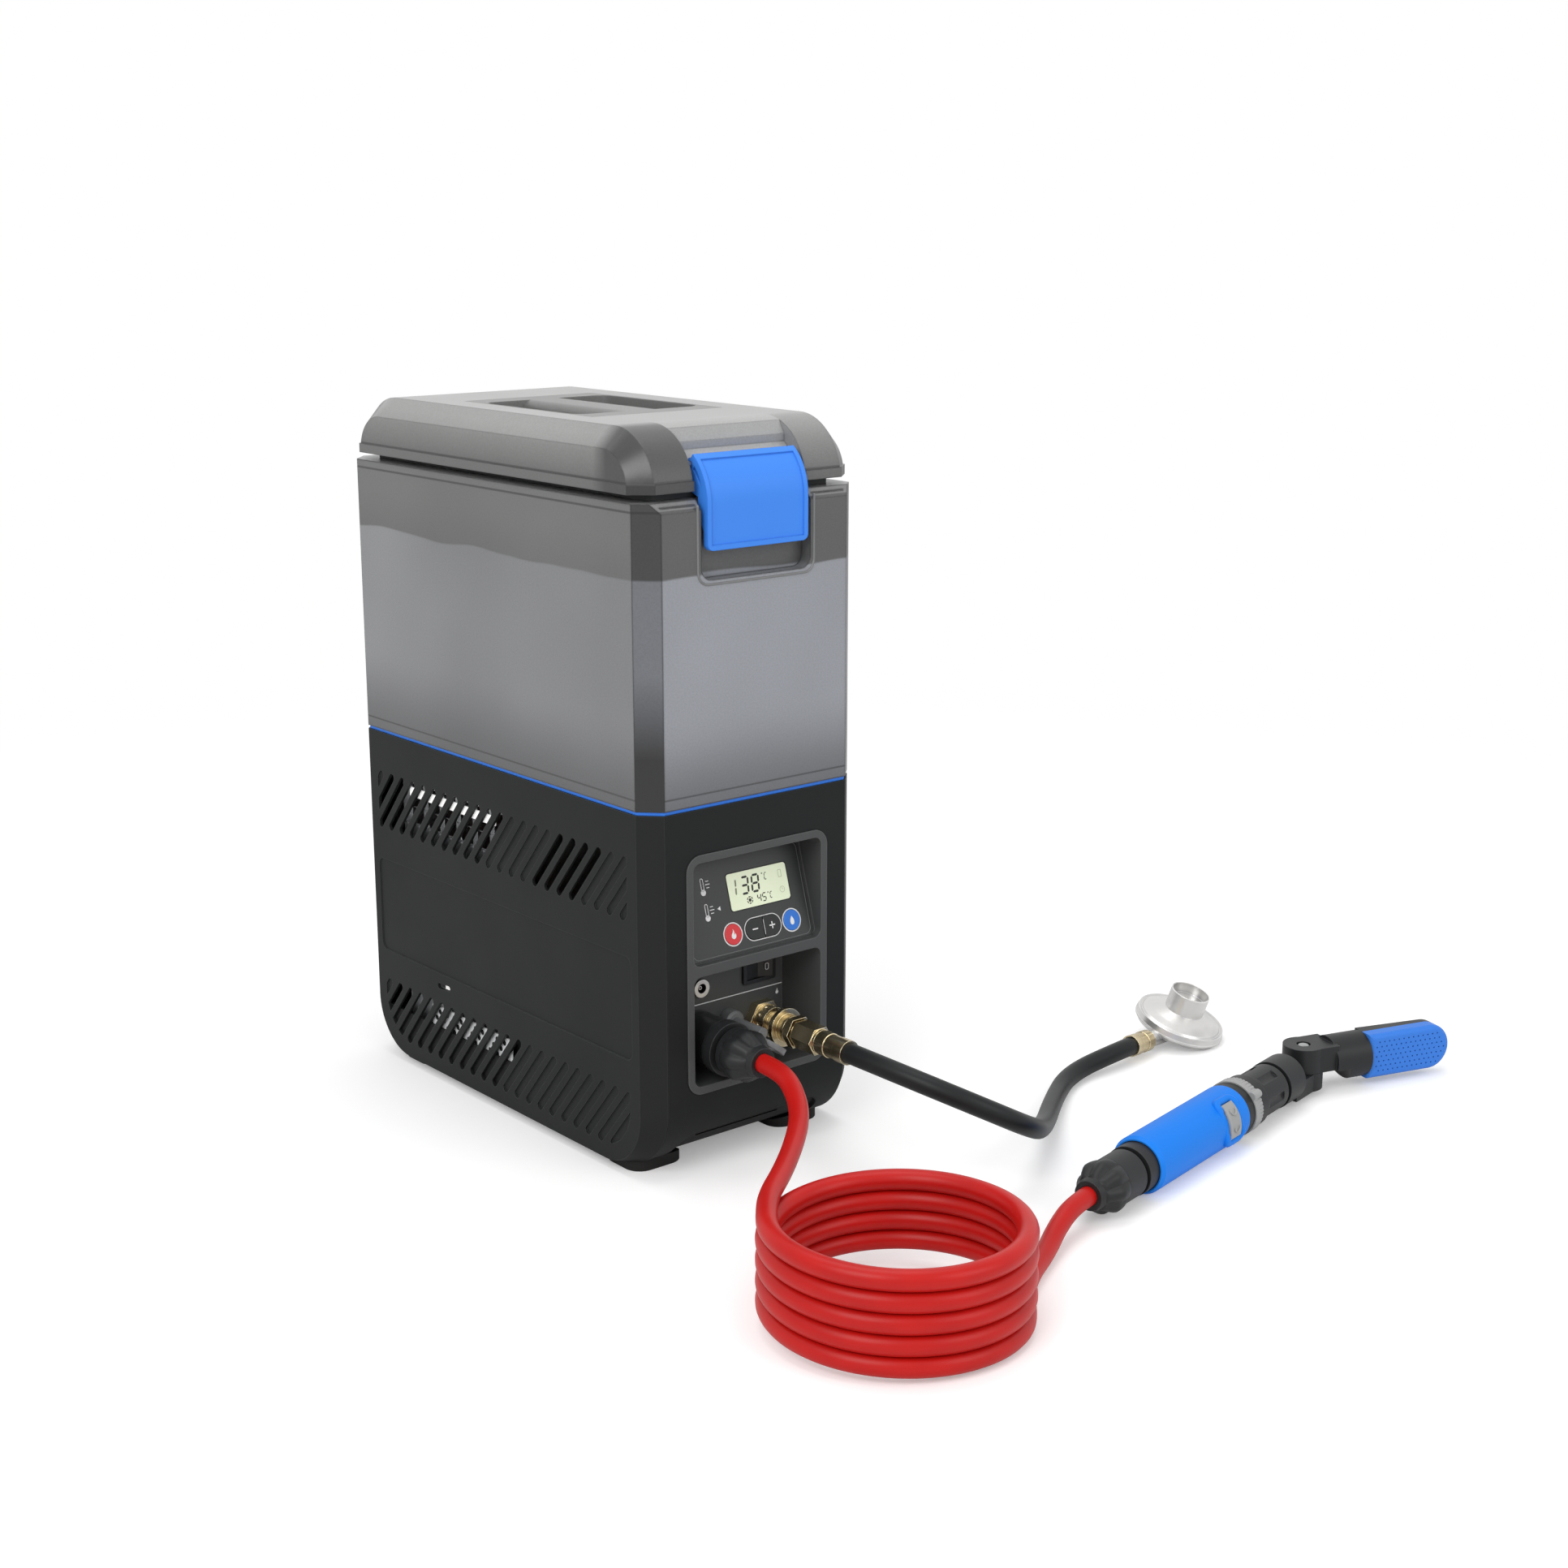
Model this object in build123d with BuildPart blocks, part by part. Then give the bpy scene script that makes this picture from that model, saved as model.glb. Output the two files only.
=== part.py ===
from build123d import *
import os
from math import cos, pi, radians, sin, sqrt, tan

# Portable propane water heater: a black base with burner, pump and controls, a smoky water tank
# with a hinged lid and latch, a gas hose with regulator, and a coiled water hose with a shower wand.
# Millimetres. +Z is up, the control side faces -Y, and the origin is on the floor under the middle.

os.makedirs("parts", exist_ok=True)

# ---------------------------------------------------------------- driving dimensions
WIDTH = 180.0            # across the control side
DEPTH = 360.0            # control side to hinge side
FACET = 13.5             # flat 45 degree facet on the upright corners
WALL = 2.5               # moulded cover wall
SEAM = 0.3               # visible joint between neighbouring covers
BASE_TOP = 253.5         # top edge of the black covers
BASE_FLOOR = 4.0         # lowest point of the covers in the middle
FLANK_FLOOR = 6.5        # lowest point of the covers at the two flat sides
BASE_CORNER = 48.0       # big radius from the bottom up to the control side
FLANK_CORNER = 40.0      # the same radius at the flat sides
TRIM_HEIGHT = 2.5        # blue band between base and tank
TANK_TOP = 453.0
TANK_WALL = 3.0
LID_GAP = 5.0            # open seam between tank and lid
LID_INSET = 5.5          # the lid's ends lie behind the tank's
LID_UPRIGHT = 4.0        # upright part of the lid's ends above the tank's top
LID_SHOULDER = 41.8      # lid edge radius in the middle
LID_FLANK_INSET = 12.2   # the lid's ends at its flat sides lie behind its middle's
LID_FLANK_UPRIGHT = 6.0
LID_FLANK_SHOULDER = 26.8
LID_WALL = 2.5
RIM_HEIGHT = 6.5         # upright rim band at the foot of the lid
RIM_STEP = 0.8           # how far the lid steps in above its rim
FOOT_SIZE = (42.0, 40.0)  # broad low pads with rounded corners
FOOT_ROUND = 12.0
FOOT_INSET_X = 29.0      # foot centres from the sides and the ends
FOOT_INSET_Y = 49.0
RUN_FIT = 0.05           # radial clearance of pins and sliding sleeves
KEY_GAP = 0.3            # gap around push buttons

SLOT_WIDTH = 6.0         # slanted ventilation slots
SLOT_PITCH = 14.5
SLOT_LEAN = 40.4         # degrees from upright
SLOT_ROW_INSET = 24.0    # ends of a row from the ends of the base
SLOT_ROW_HALF = DEPTH / 2 - SLOT_ROW_INSET
UPPER_SLOTS = (BASE_TOP - 73.5, BASE_TOP - 29.5)
LOWER_SLOTS = (17.0, 62.0)
BLIND_DEPTH = 1.2
PANEL_RECESS = (LOWER_SLOTS[1] + 22.5, UPPER_SLOTS[0] - 24)
PANEL_RECESS_DEPTH = 0.8

BEZEL_HALF_WIDTH = 60.0  # light frame around panel and connection bay
BEZEL_LOW = 58.0
BEZEL_DROP = 30.5        # the frame's top below the base's top edge
BEZEL_HIGH = BASE_TOP - BEZEL_DROP
BEZEL_RADIUS = 11.5
BEZEL_BORDER = 5.3
BEZEL_PROUD = 0.8
BAR_WIDTH = 7.0          # cross bar between bay and panel
BAY_DEPTH = 33.0
BAY_DRAFT = 6.7          # how much the bay narrows on each side towards its back wall
PANEL_TILT = 16.5        # control panel leans back from upright
PANEL_HALF_WIDTH = 52.0
PANEL_LENGTH = 67.0
PANEL_SILL = 1.0         # room under and over the panel in its opening
PANEL_HEADROOM = 5.46
PANEL_WALL = 2.5
PANEL_INSET = 4.0        # depth of its lower edge behind the front face
KEY_ROW = 13.0           # height of the key row up the panel
KEY_DIAMETER = 14.0
KEY_TRAVEL = 1.0
KEY_PROUD = 0.6
FLAME_KEY_X = -15.2
WATER_KEY_X = 35.6
STEP_KEYS_X = 10.6
STEP_KEYS_WIDTH = 30.0
LCD_X = 13.0
LCD_UP = 40.3
LCD_SIZE = (51.5, 25.3)

GAS_X = 28.0             # gas inlet in the bay
WATER_X = -28.0          # warm water outlet in the bay
FITTING_Z = 86.0
DRAIN_RISE = 4.4         # drain plug above the two fittings
GAS_HOSE = 14.0          # outer diameters of the hoses
WATER_HOSE = 13.0
BRASS_HEX = 24.0
PLUG_HEX = 18.0
SOCKET_TUBE = 15.0
SLEEVE_TRAVEL = 4.0
COLLAR_TRAVEL = 3.0

COIL_X = -91.0           # water hose coil on the floor
COIL_Y = -418.0
COIL_RADIUS = 76.0
COIL_TURNS = 4.5
COIL_END = -42.8         # degrees, where the tail leaves on the floor

WAND_START = (92.8, -399.8, 20.0)
WAND_HEADING = 11.5      # degrees from +X
HEAD_HEADING = -16.8
GRIP_RADIUS = 20.0
GRIP_START = 59.0        # station along the wand, from the end of its hose nut
GRIP_LENGTH = 118.0
PIVOT_REACH = 27.0       # head pivot beyond the wand's last ring
HEAD_RISE = 3.0          # head axis above the wand axis
HEAD_RADIUS = 17.0
HEAD_LENGTH = 122.0      # pivot to tip

REGULATOR_CENTRE = (397.0, -212.0, 19.0)
REGULATOR_UP = (0.119, -0.296, 0.948)
REGULATOR_ARM = (-0.985, -0.17, 0.071)
REGULATOR_RADIUS = 35.0

# ---------------------------------------------------------------- derived places
FACET_RUN = sqrt(2) - 1                  # how a facet's ends move when its wall is inset
TANK_FLOOR = BASE_TOP + TRIM_HEIGHT
LID_RIM = TANK_TOP + LID_GAP
LID_TOP = TANK_TOP + LID_UPRIGHT + LID_SHOULDER          # before the walls step in above the rim
LID_FLANK_TOP = TANK_TOP + LID_FLANK_UPRIGHT + LID_FLANK_SHOULDER
LID_HALF_DEPTH = DEPTH / 2 - LID_INSET
LID_FLANK_HALF_DEPTH = LID_HALF_DEPTH - LID_FLANK_INSET
FRONT = -DEPTH / 2
BACK = DEPTH / 2
BAY_BACK = FRONT + BAY_DEPTH
CORE_HALF = WIDTH / 2 - FACET
PANEL_RISE = PANEL_LENGTH * cos(radians(PANEL_TILT))
PANEL_HIGH = BEZEL_HIGH - BEZEL_BORDER
BAR_HIGH = PANEL_HIGH - PANEL_HEADROOM - PANEL_RISE - PANEL_SILL
BAR_LOW = BAR_HIGH - BAR_WIDTH
PANEL_FOOT = Vector(0, FRONT + PANEL_INSET, BAR_HIGH + PANEL_SILL)
PANEL_OUT = Vector(0, -cos(radians(PANEL_TILT)), sin(radians(PANEL_TILT)))
PANEL_FACE = Plane(origin=PANEL_FOOT, x_dir=(1, 0, 0), z_dir=PANEL_OUT)
TRAY_INSET = WALL + 0.2
TRAY_FLOOR = BASE_FLOOR + TRAY_INSET + WALL


def finish(builder, name):
    """Name a finished piece and write it to its own file."""
    builder.part.label = name
    export_step(builder.part, f"parts/{name}.step")


def side_profile(half_depth, low, high, low_radius=0.0, high_radius=0.0):
    """Outline seen from the side: a rectangle with round lower or upper corners."""
    with BuildSketch() as outline:
        with Locations((0, (low + high) / 2)):
            Rectangle(2 * half_depth, high - low)
        if low_radius:
            fillet(outline.vertices().group_by(Axis.Y)[0], low_radius)
        if high_radius:
            fillet(outline.vertices().group_by(Axis.Y)[-1], high_radius)
    return outline.sketch


def faceted_body(core, flank, core_half, half_width):
    """Block with one outline over its middle and a smaller one at its two flat sides."""
    with BuildPart() as body:
        with BuildSketch(Plane.YZ.offset(-core_half)):
            add(core)
        extrude(amount=2 * core_half)
        for side in (-1, 1):
            with BuildSketch(Plane.YZ.offset(side * core_half)):
                add(core)
            with BuildSketch(Plane.YZ.offset(side * half_width)):
                add(flank)
            loft(ruled=True)
    return body.part


def base_block(inset, top=BASE_TOP):
    """The base's outer shape, inset evenly by a wall."""
    core = side_profile(DEPTH / 2 - inset, BASE_FLOOR + inset, top, BASE_CORNER - inset)
    flank = side_profile(DEPTH / 2 - FACET - FACET_RUN * inset, FLANK_FLOOR + inset, top,
                         FLANK_CORNER - inset)
    return faceted_body(core, flank, CORE_HALF - FACET_RUN * inset, WIDTH / 2 - inset)


def lid_block(inset, low):
    """The lid's outer shape above a height, inset evenly by a wall."""
    core = side_profile(LID_HALF_DEPTH - inset, TANK_TOP, LID_TOP - inset, 0, LID_SHOULDER - inset)
    flank = side_profile(LID_FLANK_HALF_DEPTH - FACET_RUN * inset, TANK_TOP, LID_FLANK_TOP - inset, 0,
                         LID_FLANK_SHOULDER - inset)
    with BuildPart() as block:
        add(faceted_body(core, flank, CORE_HALF - FACET_RUN * inset, WIDTH / 2 - inset))
        split(bisect_by=Plane.XY.offset(low), keep=Keep.TOP)
    return block.part


def octagon(inset):
    """Plan outline of base and tank, inset evenly."""
    with BuildSketch() as plan:
        Rectangle(WIDTH - 2 * inset, DEPTH - 2 * inset)
        chamfer(plan.vertices(), FACET - (2 - sqrt(2)) * inset)
    return plan.sketch


def turned(frame, outline):
    """Solid of revolution about the frame's x axis, from (station, radius) points."""
    with BuildPart() as body:
        with BuildSketch(frame):
            with BuildLine():
                Polyline(*outline, close=True)
            make_face()
        revolve(axis=Axis(frame.origin, frame.x_dir))
    return body.part


def across(frame, station):
    """Plane square to a frame's x axis at a station along it."""
    return Plane(origin=frame.origin + frame.x_dir * station, x_dir=frame.y_dir, z_dir=frame.x_dir)


def tube(route, diameter):
    """Hose along straight runs joined by tangent arcs, each as large as its two runs allow."""
    points = [Vector(point) for point in route]
    runs = [b - a for a, b in zip(points, points[1:])]
    radii = []
    for before, after in zip(runs, runs[1:]):
        half_turn = radians(before.get_angle(after)) / 2
        radii.append(0.45 * min(before.length, after.length) / tan(half_turn))
    with BuildPart() as hose:
        with BuildLine() as path:
            FilletPolyline(*points, radius=radii)
        with BuildSketch(Plane(origin=points[0], z_dir=runs[0])):
            Circle(diameter / 2)
        sweep()
    length = sum(edge.length for edge in path.edges())
    share = hose.part.volume / (pi * diameter**2 / 4 * length)
    print("hose", f"d {diameter:.0f} length {length:.0f} volume share {share:.4f} radii",
          [f"{radius:.0f}" for radius in radii])
    return hose.part


# ---------------------------------------------------------------- base covers
base_outer = base_block(0)
base_inner = base_block(WALL, BASE_TOP + WALL)

with BuildPart() as base_shell:
    add(base_outer)
    add(base_inner, mode=Mode.SUBTRACT)


def slot_row(low, high, open_slots):
    """Centres of one row of slanted slots, split into those that pass through and blind ones."""
    count = int(2 * SLOT_ROW_HALF / SLOT_PITCH) + 3
    first = (count - 1) * SLOT_PITCH / 2
    middle = (low + high) / 2
    centres = [(first - index * SLOT_PITCH, middle) for index in range(count)]
    through = [centre for index, centre in enumerate(centres) if index in open_slots]
    blind = [centre for index, centre in enumerate(centres) if index not in open_slots]
    return through, blind


def slot_cutter(centres, low, high, depth, corner=0.0):
    """Cutting solid for slots of one row on the left side, trimmed to the row's window."""
    length = (high - low - SLOT_WIDTH) / cos(radians(SLOT_LEAN)) + SLOT_WIDTH
    with BuildPart() as cutter:
        with BuildSketch(Plane.YZ.offset(-WIDTH / 2 - 1)):
            with Locations(*centres):
                SlotOverall(length, SLOT_WIDTH, rotation=90 + SLOT_LEAN)
            with Locations((0, (low + high) / 2)):
                Rectangle(2 * SLOT_ROW_HALF, high - low, mode=Mode.INTERSECT)
            if corner:
                add(side_profile(SLOT_ROW_HALF, low, high + corner, corner), mode=Mode.INTERSECT)
        extrude(amount=depth + 1)
    return cutter.part


upper_through, upper_blind = slot_row(*UPPER_SLOTS, [1, 2, 3, 4, 5, 6, 7, 8, 9, 10, 11, 16, 17, 18, 19])
lower_through, lower_blind = slot_row(*LOWER_SLOTS, [1, 2, 3, 4, 5, 6, 7, 8, 9, 10, 11, 12])
LOWER_SLOT_CORNER = 34.0
THROUGH_DEPTH = 2 * WALL
CABLE_SLOT_Y = 73.5      # small slot for a tie-down cord under the blank field
CABLE_SLOT_DROP = 9.5
CABLE_SLOT_LENGTH = 17.0
CABLE_SLOT_HEIGHT = 4.0
CABLE_SLOT_LEAN = -4

with BuildPart() as side_cover_left:
    add(base_shell.part)
    split(bisect_by=Plane.YZ.offset(-CORE_HALF), keep=Keep.BOTTOM)
    with BuildSketch(Plane.YZ.offset(-WIDTH / 2)):
        with Locations((0, sum(PANEL_RECESS) / 2)):
            RectangleRounded(2 * SLOT_ROW_HALF + SLOT_WIDTH, PANEL_RECESS[1] - PANEL_RECESS[0], SLOT_WIDTH)
    extrude(amount=PANEL_RECESS_DEPTH, mode=Mode.SUBTRACT)
    add(slot_cutter(upper_blind, *UPPER_SLOTS, BLIND_DEPTH), mode=Mode.SUBTRACT)
    add(slot_cutter(lower_blind, *LOWER_SLOTS, BLIND_DEPTH, LOWER_SLOT_CORNER), mode=Mode.SUBTRACT)
    add(slot_cutter(upper_through, *UPPER_SLOTS, THROUGH_DEPTH), mode=Mode.SUBTRACT)
    add(slot_cutter(lower_through, *LOWER_SLOTS, THROUGH_DEPTH, LOWER_SLOT_CORNER), mode=Mode.SUBTRACT)
    with BuildSketch(Plane.YZ.offset(-WIDTH / 2)):
        with Locations((CABLE_SLOT_Y, PANEL_RECESS[0] - CABLE_SLOT_DROP)):
            SlotOverall(CABLE_SLOT_LENGTH, CABLE_SLOT_HEIGHT, rotation=CABLE_SLOT_LEAN)
    extrude(amount=THROUGH_DEPTH, mode=Mode.SUBTRACT)
finish(side_cover_left, "side_cover_left")

with BuildPart() as side_cover_right:
    add(side_cover_left.part)
    mirror(about=Plane.YZ, mode=Mode.REPLACE)
finish(side_cover_right, "side_cover_right")

MIDDLE_HALF = CORE_HALF - SEAM
COVER_REACH = DEPTH / 2 - 80     # where the front and rear covers end under the base
ARCH_HALF = 62.0         # foot arch cut into the bottom of the front cover
ARCH_HIGH = 29.0
ARCH_RADIUS = 14.0
ARCH_DEPTH = 50.0
BEZEL_MIDDLE = (BEZEL_LOW + BEZEL_HIGH) / 2
BEZEL_HEIGHT = BEZEL_HIGH - BEZEL_LOW
BEZEL_FLANGE = 2.0       # thickness of the bezel's visible frame
BEZEL_LIP = 3.0          # how far the frame covers the opening's edge
TUB_RADIUS = BEZEL_RADIUS - BEZEL_LIP

with BuildPart() as front_cover:
    add(base_shell.part)
    with BuildSketch(Plane.XY):
        with Locations((0, (FRONT - COVER_REACH) / 2)):
            Rectangle(2 * MIDDLE_HALF, -FRONT - COVER_REACH)
    extrude(amount=BASE_TOP, mode=Mode.INTERSECT)
    with BuildSketch(Plane.XZ.offset(-FRONT)) as front_openings:
        with Locations((0, BEZEL_MIDDLE)):
            RectangleRounded(2 * (BEZEL_HALF_WIDTH - BEZEL_LIP), BEZEL_HEIGHT - 2 * BEZEL_LIP, TUB_RADIUS)
        with Locations((0, ARCH_HIGH / 2)):
            RectangleRounded(2 * ARCH_HALF, ARCH_HIGH, ARCH_RADIUS)
        with Locations((0, ARCH_RADIUS / 2)):
            Rectangle(2 * ARCH_HALF, ARCH_RADIUS)
    extrude(amount=-ARCH_DEPTH, mode=Mode.SUBTRACT)
    with BuildSketch(Plane.XZ.offset(-FRONT)):
        with Locations((0, BEZEL_MIDDLE)):
            RectangleRounded(2 * BEZEL_HALF_WIDTH + SEAM, BEZEL_HEIGHT + SEAM, BEZEL_RADIUS)
    extrude(amount=BEZEL_PROUD - BEZEL_FLANGE, mode=Mode.SUBTRACT)
finish(front_cover, "front_cover")

POST_X = 64.0            # uprights of the tray that carry covers, deck and screws
POST_WIDTH = 11.0
POST_DEPTH = 12.0
DECK_WALL = 3.0
SCREW_HEIGHTS = (80.0, BASE_TOP - 18.5)
SCREW_SHANK = 3.4
SCREW_HEAD = 7.0
SCREW_HEAD_HEIGHT = 2.0
SCREW_LENGTH = 12.0
DECK_BOTTOM = BASE_TOP - DECK_WALL

with BuildPart() as rear_cover:
    add(base_shell.part)
    with BuildSketch(Plane.XY):
        with Locations((0, (BACK + COVER_REACH) / 2)):
            Rectangle(2 * MIDDLE_HALF, BACK - COVER_REACH)
    extrude(amount=BASE_TOP, mode=Mode.INTERSECT)
    with BuildSketch(Plane.XZ.offset(-BACK)):
        for height in SCREW_HEIGHTS:
            with Locations((-POST_X, height), (POST_X, height)):
                Circle(SCREW_SHANK / 2 + RUN_FIT)
    extrude(amount=2 * WALL, mode=Mode.SUBTRACT)
finish(rear_cover, "rear_cover")

with BuildPart() as cover_screws:
    with BuildSketch(Plane.XZ.offset(-BACK)) as screw_heads:
        for height in SCREW_HEIGHTS:
            with Locations((-POST_X, height), (POST_X, height)):
                Circle(SCREW_HEAD / 2)
    extrude(amount=-SCREW_HEAD_HEIGHT)
    with BuildSketch(Plane.XZ.offset(-BACK)):
        for height in SCREW_HEIGHTS:
            with Locations((-POST_X, height), (POST_X, height)):
                Circle(SCREW_SHANK / 2)
    extrude(amount=SCREW_LENGTH)
finish(cover_screws, "cover_screws")

# ---------------------------------------------------------------- tray, deck, feet
TRAY_TOP = 40.0
TRAY_SLOT = (-45.0, 27.0)    # long drain slot in the tray's front wall
TRAY_SLOT_HEIGHT = 24.0
TRAY_SLOT_SIZE = 1.6

tray_outer = base_block(TRAY_INSET, DECK_BOTTOM)
tray_inner = base_block(TRAY_INSET + WALL, DECK_BOTTOM + WALL)

with BuildPart() as tray_posts:
    with BuildSketch(Plane.XY.offset(TRAY_TOP / 2)):
        with GridLocations(2 * POST_X, DEPTH - 2 * TRAY_INSET - POST_DEPTH, 2, 2):
            Rectangle(POST_WIDTH, POST_DEPTH)
    extrude(amount=DECK_BOTTOM - TRAY_TOP / 2)
    add(tray_outer, mode=Mode.INTERSECT)

with BuildPart() as base_tray:
    add(tray_outer)
    add(tray_inner, mode=Mode.SUBTRACT)
    split(bisect_by=Plane.XY.offset(TRAY_TOP), keep=Keep.BOTTOM)
    add(tray_posts.part)
    with BuildSketch(Plane.XZ.offset(BACK)):
        with Locations((sum(TRAY_SLOT) / 2, TRAY_SLOT_HEIGHT)):
            SlotOverall(TRAY_SLOT[1] - TRAY_SLOT[0], TRAY_SLOT_SIZE)
    extrude(amount=-BASE_CORNER, mode=Mode.SUBTRACT)
    with BuildSketch(Plane.XZ.offset(-BACK)):
        for height in SCREW_HEIGHTS:
            with Locations((-POST_X, height), (POST_X, height)):
                Circle(SCREW_SHANK / 2)
    extrude(amount=SCREW_LENGTH, mode=Mode.SUBTRACT)
finish(base_tray, "base_tray")

FIREBOX = (BACK - 190, BACK - 40)    # front and back of the burner housing
OUTLET_X = 30.0          # tank outlet above the pump
OUTLET_Y = FIREBOX[0] - 50
OUTLET_RADIUS = 8.0

with BuildPart() as top_deck:
    with BuildSketch(Plane.XY.offset(DECK_BOTTOM)):
        add(octagon(TRAY_INSET))
        with Locations((OUTLET_X, OUTLET_Y)):
            Circle(OUTLET_RADIUS + SEAM, mode=Mode.SUBTRACT)
    extrude(amount=DECK_WALL)
finish(top_deck, "top_deck")

FOOT_CEILING = 12.0      # the feet are moulded up against the curved underside

with BuildPart() as rubber_feet:
    with BuildSketch(Plane.XY):
        with GridLocations(WIDTH - 2 * FOOT_INSET_X, DEPTH - 2 * FOOT_INSET_Y, 2, 2):
            RectangleRounded(*FOOT_SIZE, FOOT_ROUND)
    extrude(amount=FOOT_CEILING)
    add(base_outer, mode=Mode.SUBTRACT)
finish(rubber_feet, "rubber_feet")

TRIM_INSET = 1.2
TRIM_WIDTH = 11.0

with BuildPart() as trim_band:
    with BuildSketch(Plane.XY.offset(BASE_TOP)):
        add(octagon(TRIM_INSET))
        add(octagon(TRIM_INSET + TRIM_WIDTH), mode=Mode.SUBTRACT)
    extrude(amount=TRIM_HEIGHT)
finish(trim_band, "trim_band")

# ---------------------------------------------------------------- bezel with connection bay
TUB_CLEARANCE = 0.3
TUB_WALL = 2.0
TUB_HALF = BEZEL_HALF_WIDTH - BEZEL_LIP - TUB_CLEARANCE
OPENING_HALF = BEZEL_HALF_WIDTH - BEZEL_BORDER
TUB_BACK = BAY_BACK + TUB_WALL
BAY_LOW = BEZEL_LOW + BEZEL_BORDER
BAY_RADIUS = 6.0
BAY_RISE = 2.8           # how far the bay's floor and ceiling close in towards the back
LEDGE_WIDTH = 2.0        # ledge that the panel rests on
LEDGE_WALL = 2.0
SWITCH_X = 26.8
SWITCH_Z = BAR_LOW - 17.5
SWITCH_BODY = (24.0, 17.0, 12.0)
DC_X = -23.5
DC_Z = BAR_LOW - 22
DC_RADIUS = 4.8
DRAIN_Z = FITTING_Z + DRAIN_RISE
DRAIN_RADIUS = 4.0
PORT_RADIUS = 6.0        # gas port through the back wall
WATER_PORT_RADIUS = 8.0
HOLE_FIT = 0.1

with BuildPart() as panel_seat:
    with BuildSketch(PANEL_FACE.offset(-PANEL_WALL - LEDGE_WALL)):
        with Locations((0, PANEL_LENGTH / 2)):
            Rectangle(2 * OPENING_HALF, PANEL_LENGTH + 2 * BEZEL_BORDER)
            Rectangle(2 * (PANEL_HALF_WIDTH - LEDGE_WIDTH), PANEL_LENGTH - 2 * LEDGE_WIDTH, mode=Mode.SUBTRACT)
    extrude(amount=PANEL_WALL + LEDGE_WALL - BEZEL_PROUD)
    with BuildSketch(PANEL_FACE.offset(-PANEL_WALL)):
        with Locations((0, PANEL_LENGTH / 2)):
            Rectangle(2 * PANEL_HALF_WIDTH + SEAM, PANEL_LENGTH + SEAM)
    extrude(amount=PANEL_WALL, mode=Mode.SUBTRACT)
    with BuildSketch(Plane.XZ.offset(-TUB_BACK)):
        with Locations((0, (BAR_HIGH + PANEL_HIGH) / 2)):
            Rectangle(2 * OPENING_HALF + TUB_WALL, PANEL_HIGH - BAR_HIGH + TUB_WALL)
    extrude(amount=TUB_BACK - FRONT, mode=Mode.INTERSECT)

with BuildPart() as front_bezel:
    with BuildSketch(Plane.XZ.offset(-FRONT + BEZEL_PROUD)):
        with Locations((0, BEZEL_MIDDLE)):
            RectangleRounded(2 * BEZEL_HALF_WIDTH, BEZEL_HEIGHT, BEZEL_RADIUS)
    extrude(amount=-BEZEL_FLANGE)
    with BuildSketch(Plane.XZ.offset(-TUB_BACK)):
        with Locations((0, BEZEL_MIDDLE)):
            RectangleRounded(2 * TUB_HALF, BEZEL_HEIGHT - 2 * (BEZEL_LIP + TUB_CLEARANCE), TUB_RADIUS)
    extrude(amount=TUB_BACK - FRONT)
    with BuildSketch(Plane.XZ.offset(-FRONT + BEZEL_PROUD)):
        with Locations((0, (BAY_LOW + BAR_LOW) / 2)):
            RectangleRounded(2 * OPENING_HALF, BAR_LOW - BAY_LOW, BAY_RADIUS)
    with BuildSketch(Plane.XZ.offset(-BAY_BACK)):
        with Locations((0, (BAY_LOW + BAR_LOW) / 2)):
            RectangleRounded(2 * (OPENING_HALF - BAY_DRAFT), BAR_LOW - BAY_LOW - 2 * BAY_RISE, BAY_RADIUS)
    loft(mode=Mode.SUBTRACT)
    with BuildSketch(Plane.XZ.offset(-FRONT + BEZEL_PROUD)):
        with Locations((0, (BAR_HIGH + PANEL_HIGH) / 2)):
            RectangleRounded(2 * OPENING_HALF, PANEL_HIGH - BAR_HIGH, BAY_RADIUS)
    extrude(amount=FRONT - TUB_BACK - BEZEL_PROUD, mode=Mode.SUBTRACT)
    add(panel_seat.part)
    with BuildSketch(Plane.XZ.offset(-BAY_BACK)):
        with Locations((SWITCH_X, SWITCH_Z)):
            Rectangle(SWITCH_BODY[0] + 2 * HOLE_FIT, SWITCH_BODY[1] + 2 * HOLE_FIT)
        with Locations((DC_X, DC_Z)):
            Circle(DC_RADIUS + HOLE_FIT)
        with Locations((0, DRAIN_Z)):
            Circle(DRAIN_RADIUS + HOLE_FIT)
        with Locations((GAS_X, FITTING_Z)):
            Circle(PORT_RADIUS + HOLE_FIT)
        with Locations((WATER_X, FITTING_Z)):
            Circle(WATER_PORT_RADIUS + HOLE_FIT)
    extrude(amount=-2 * TUB_WALL, mode=Mode.SUBTRACT)
finish(front_bezel, "front_bezel")

# ---------------------------------------------------------------- control panel and its keys
KEY_FLANGE = 0.8
KEY_FLANGE_RIM = 1.0     # how far a key's hidden rim reaches past its cap
RIM_GAP = 0.1
RIB = 0.8                # bar of the panel between the minus and plus keys
LCD_FIT = 0.1
LCD_RIM = 1.25
LCD_RIM_WALL = 1.0
POST_SPREAD = 2 * PANEL_HALF_WIDTH - 10
POST_RADIUS = 2.5
POST_INSET = 5.0
BOARD_DEPTH = 8.0        # board's front behind the panel's front
BOARD_WALL = 1.6
BOARD_SIZE = (2 * PANEL_HALF_WIDTH - 6, PANEL_LENGTH - 7)
KEY_SWITCH = 6.0
KEY_HOLE = KEY_DIAMETER + 2 * KEY_GAP
KEY_FOOT = PANEL_WALL + RIM_GAP + KEY_FLANGE     # depth of a key's underside

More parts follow.
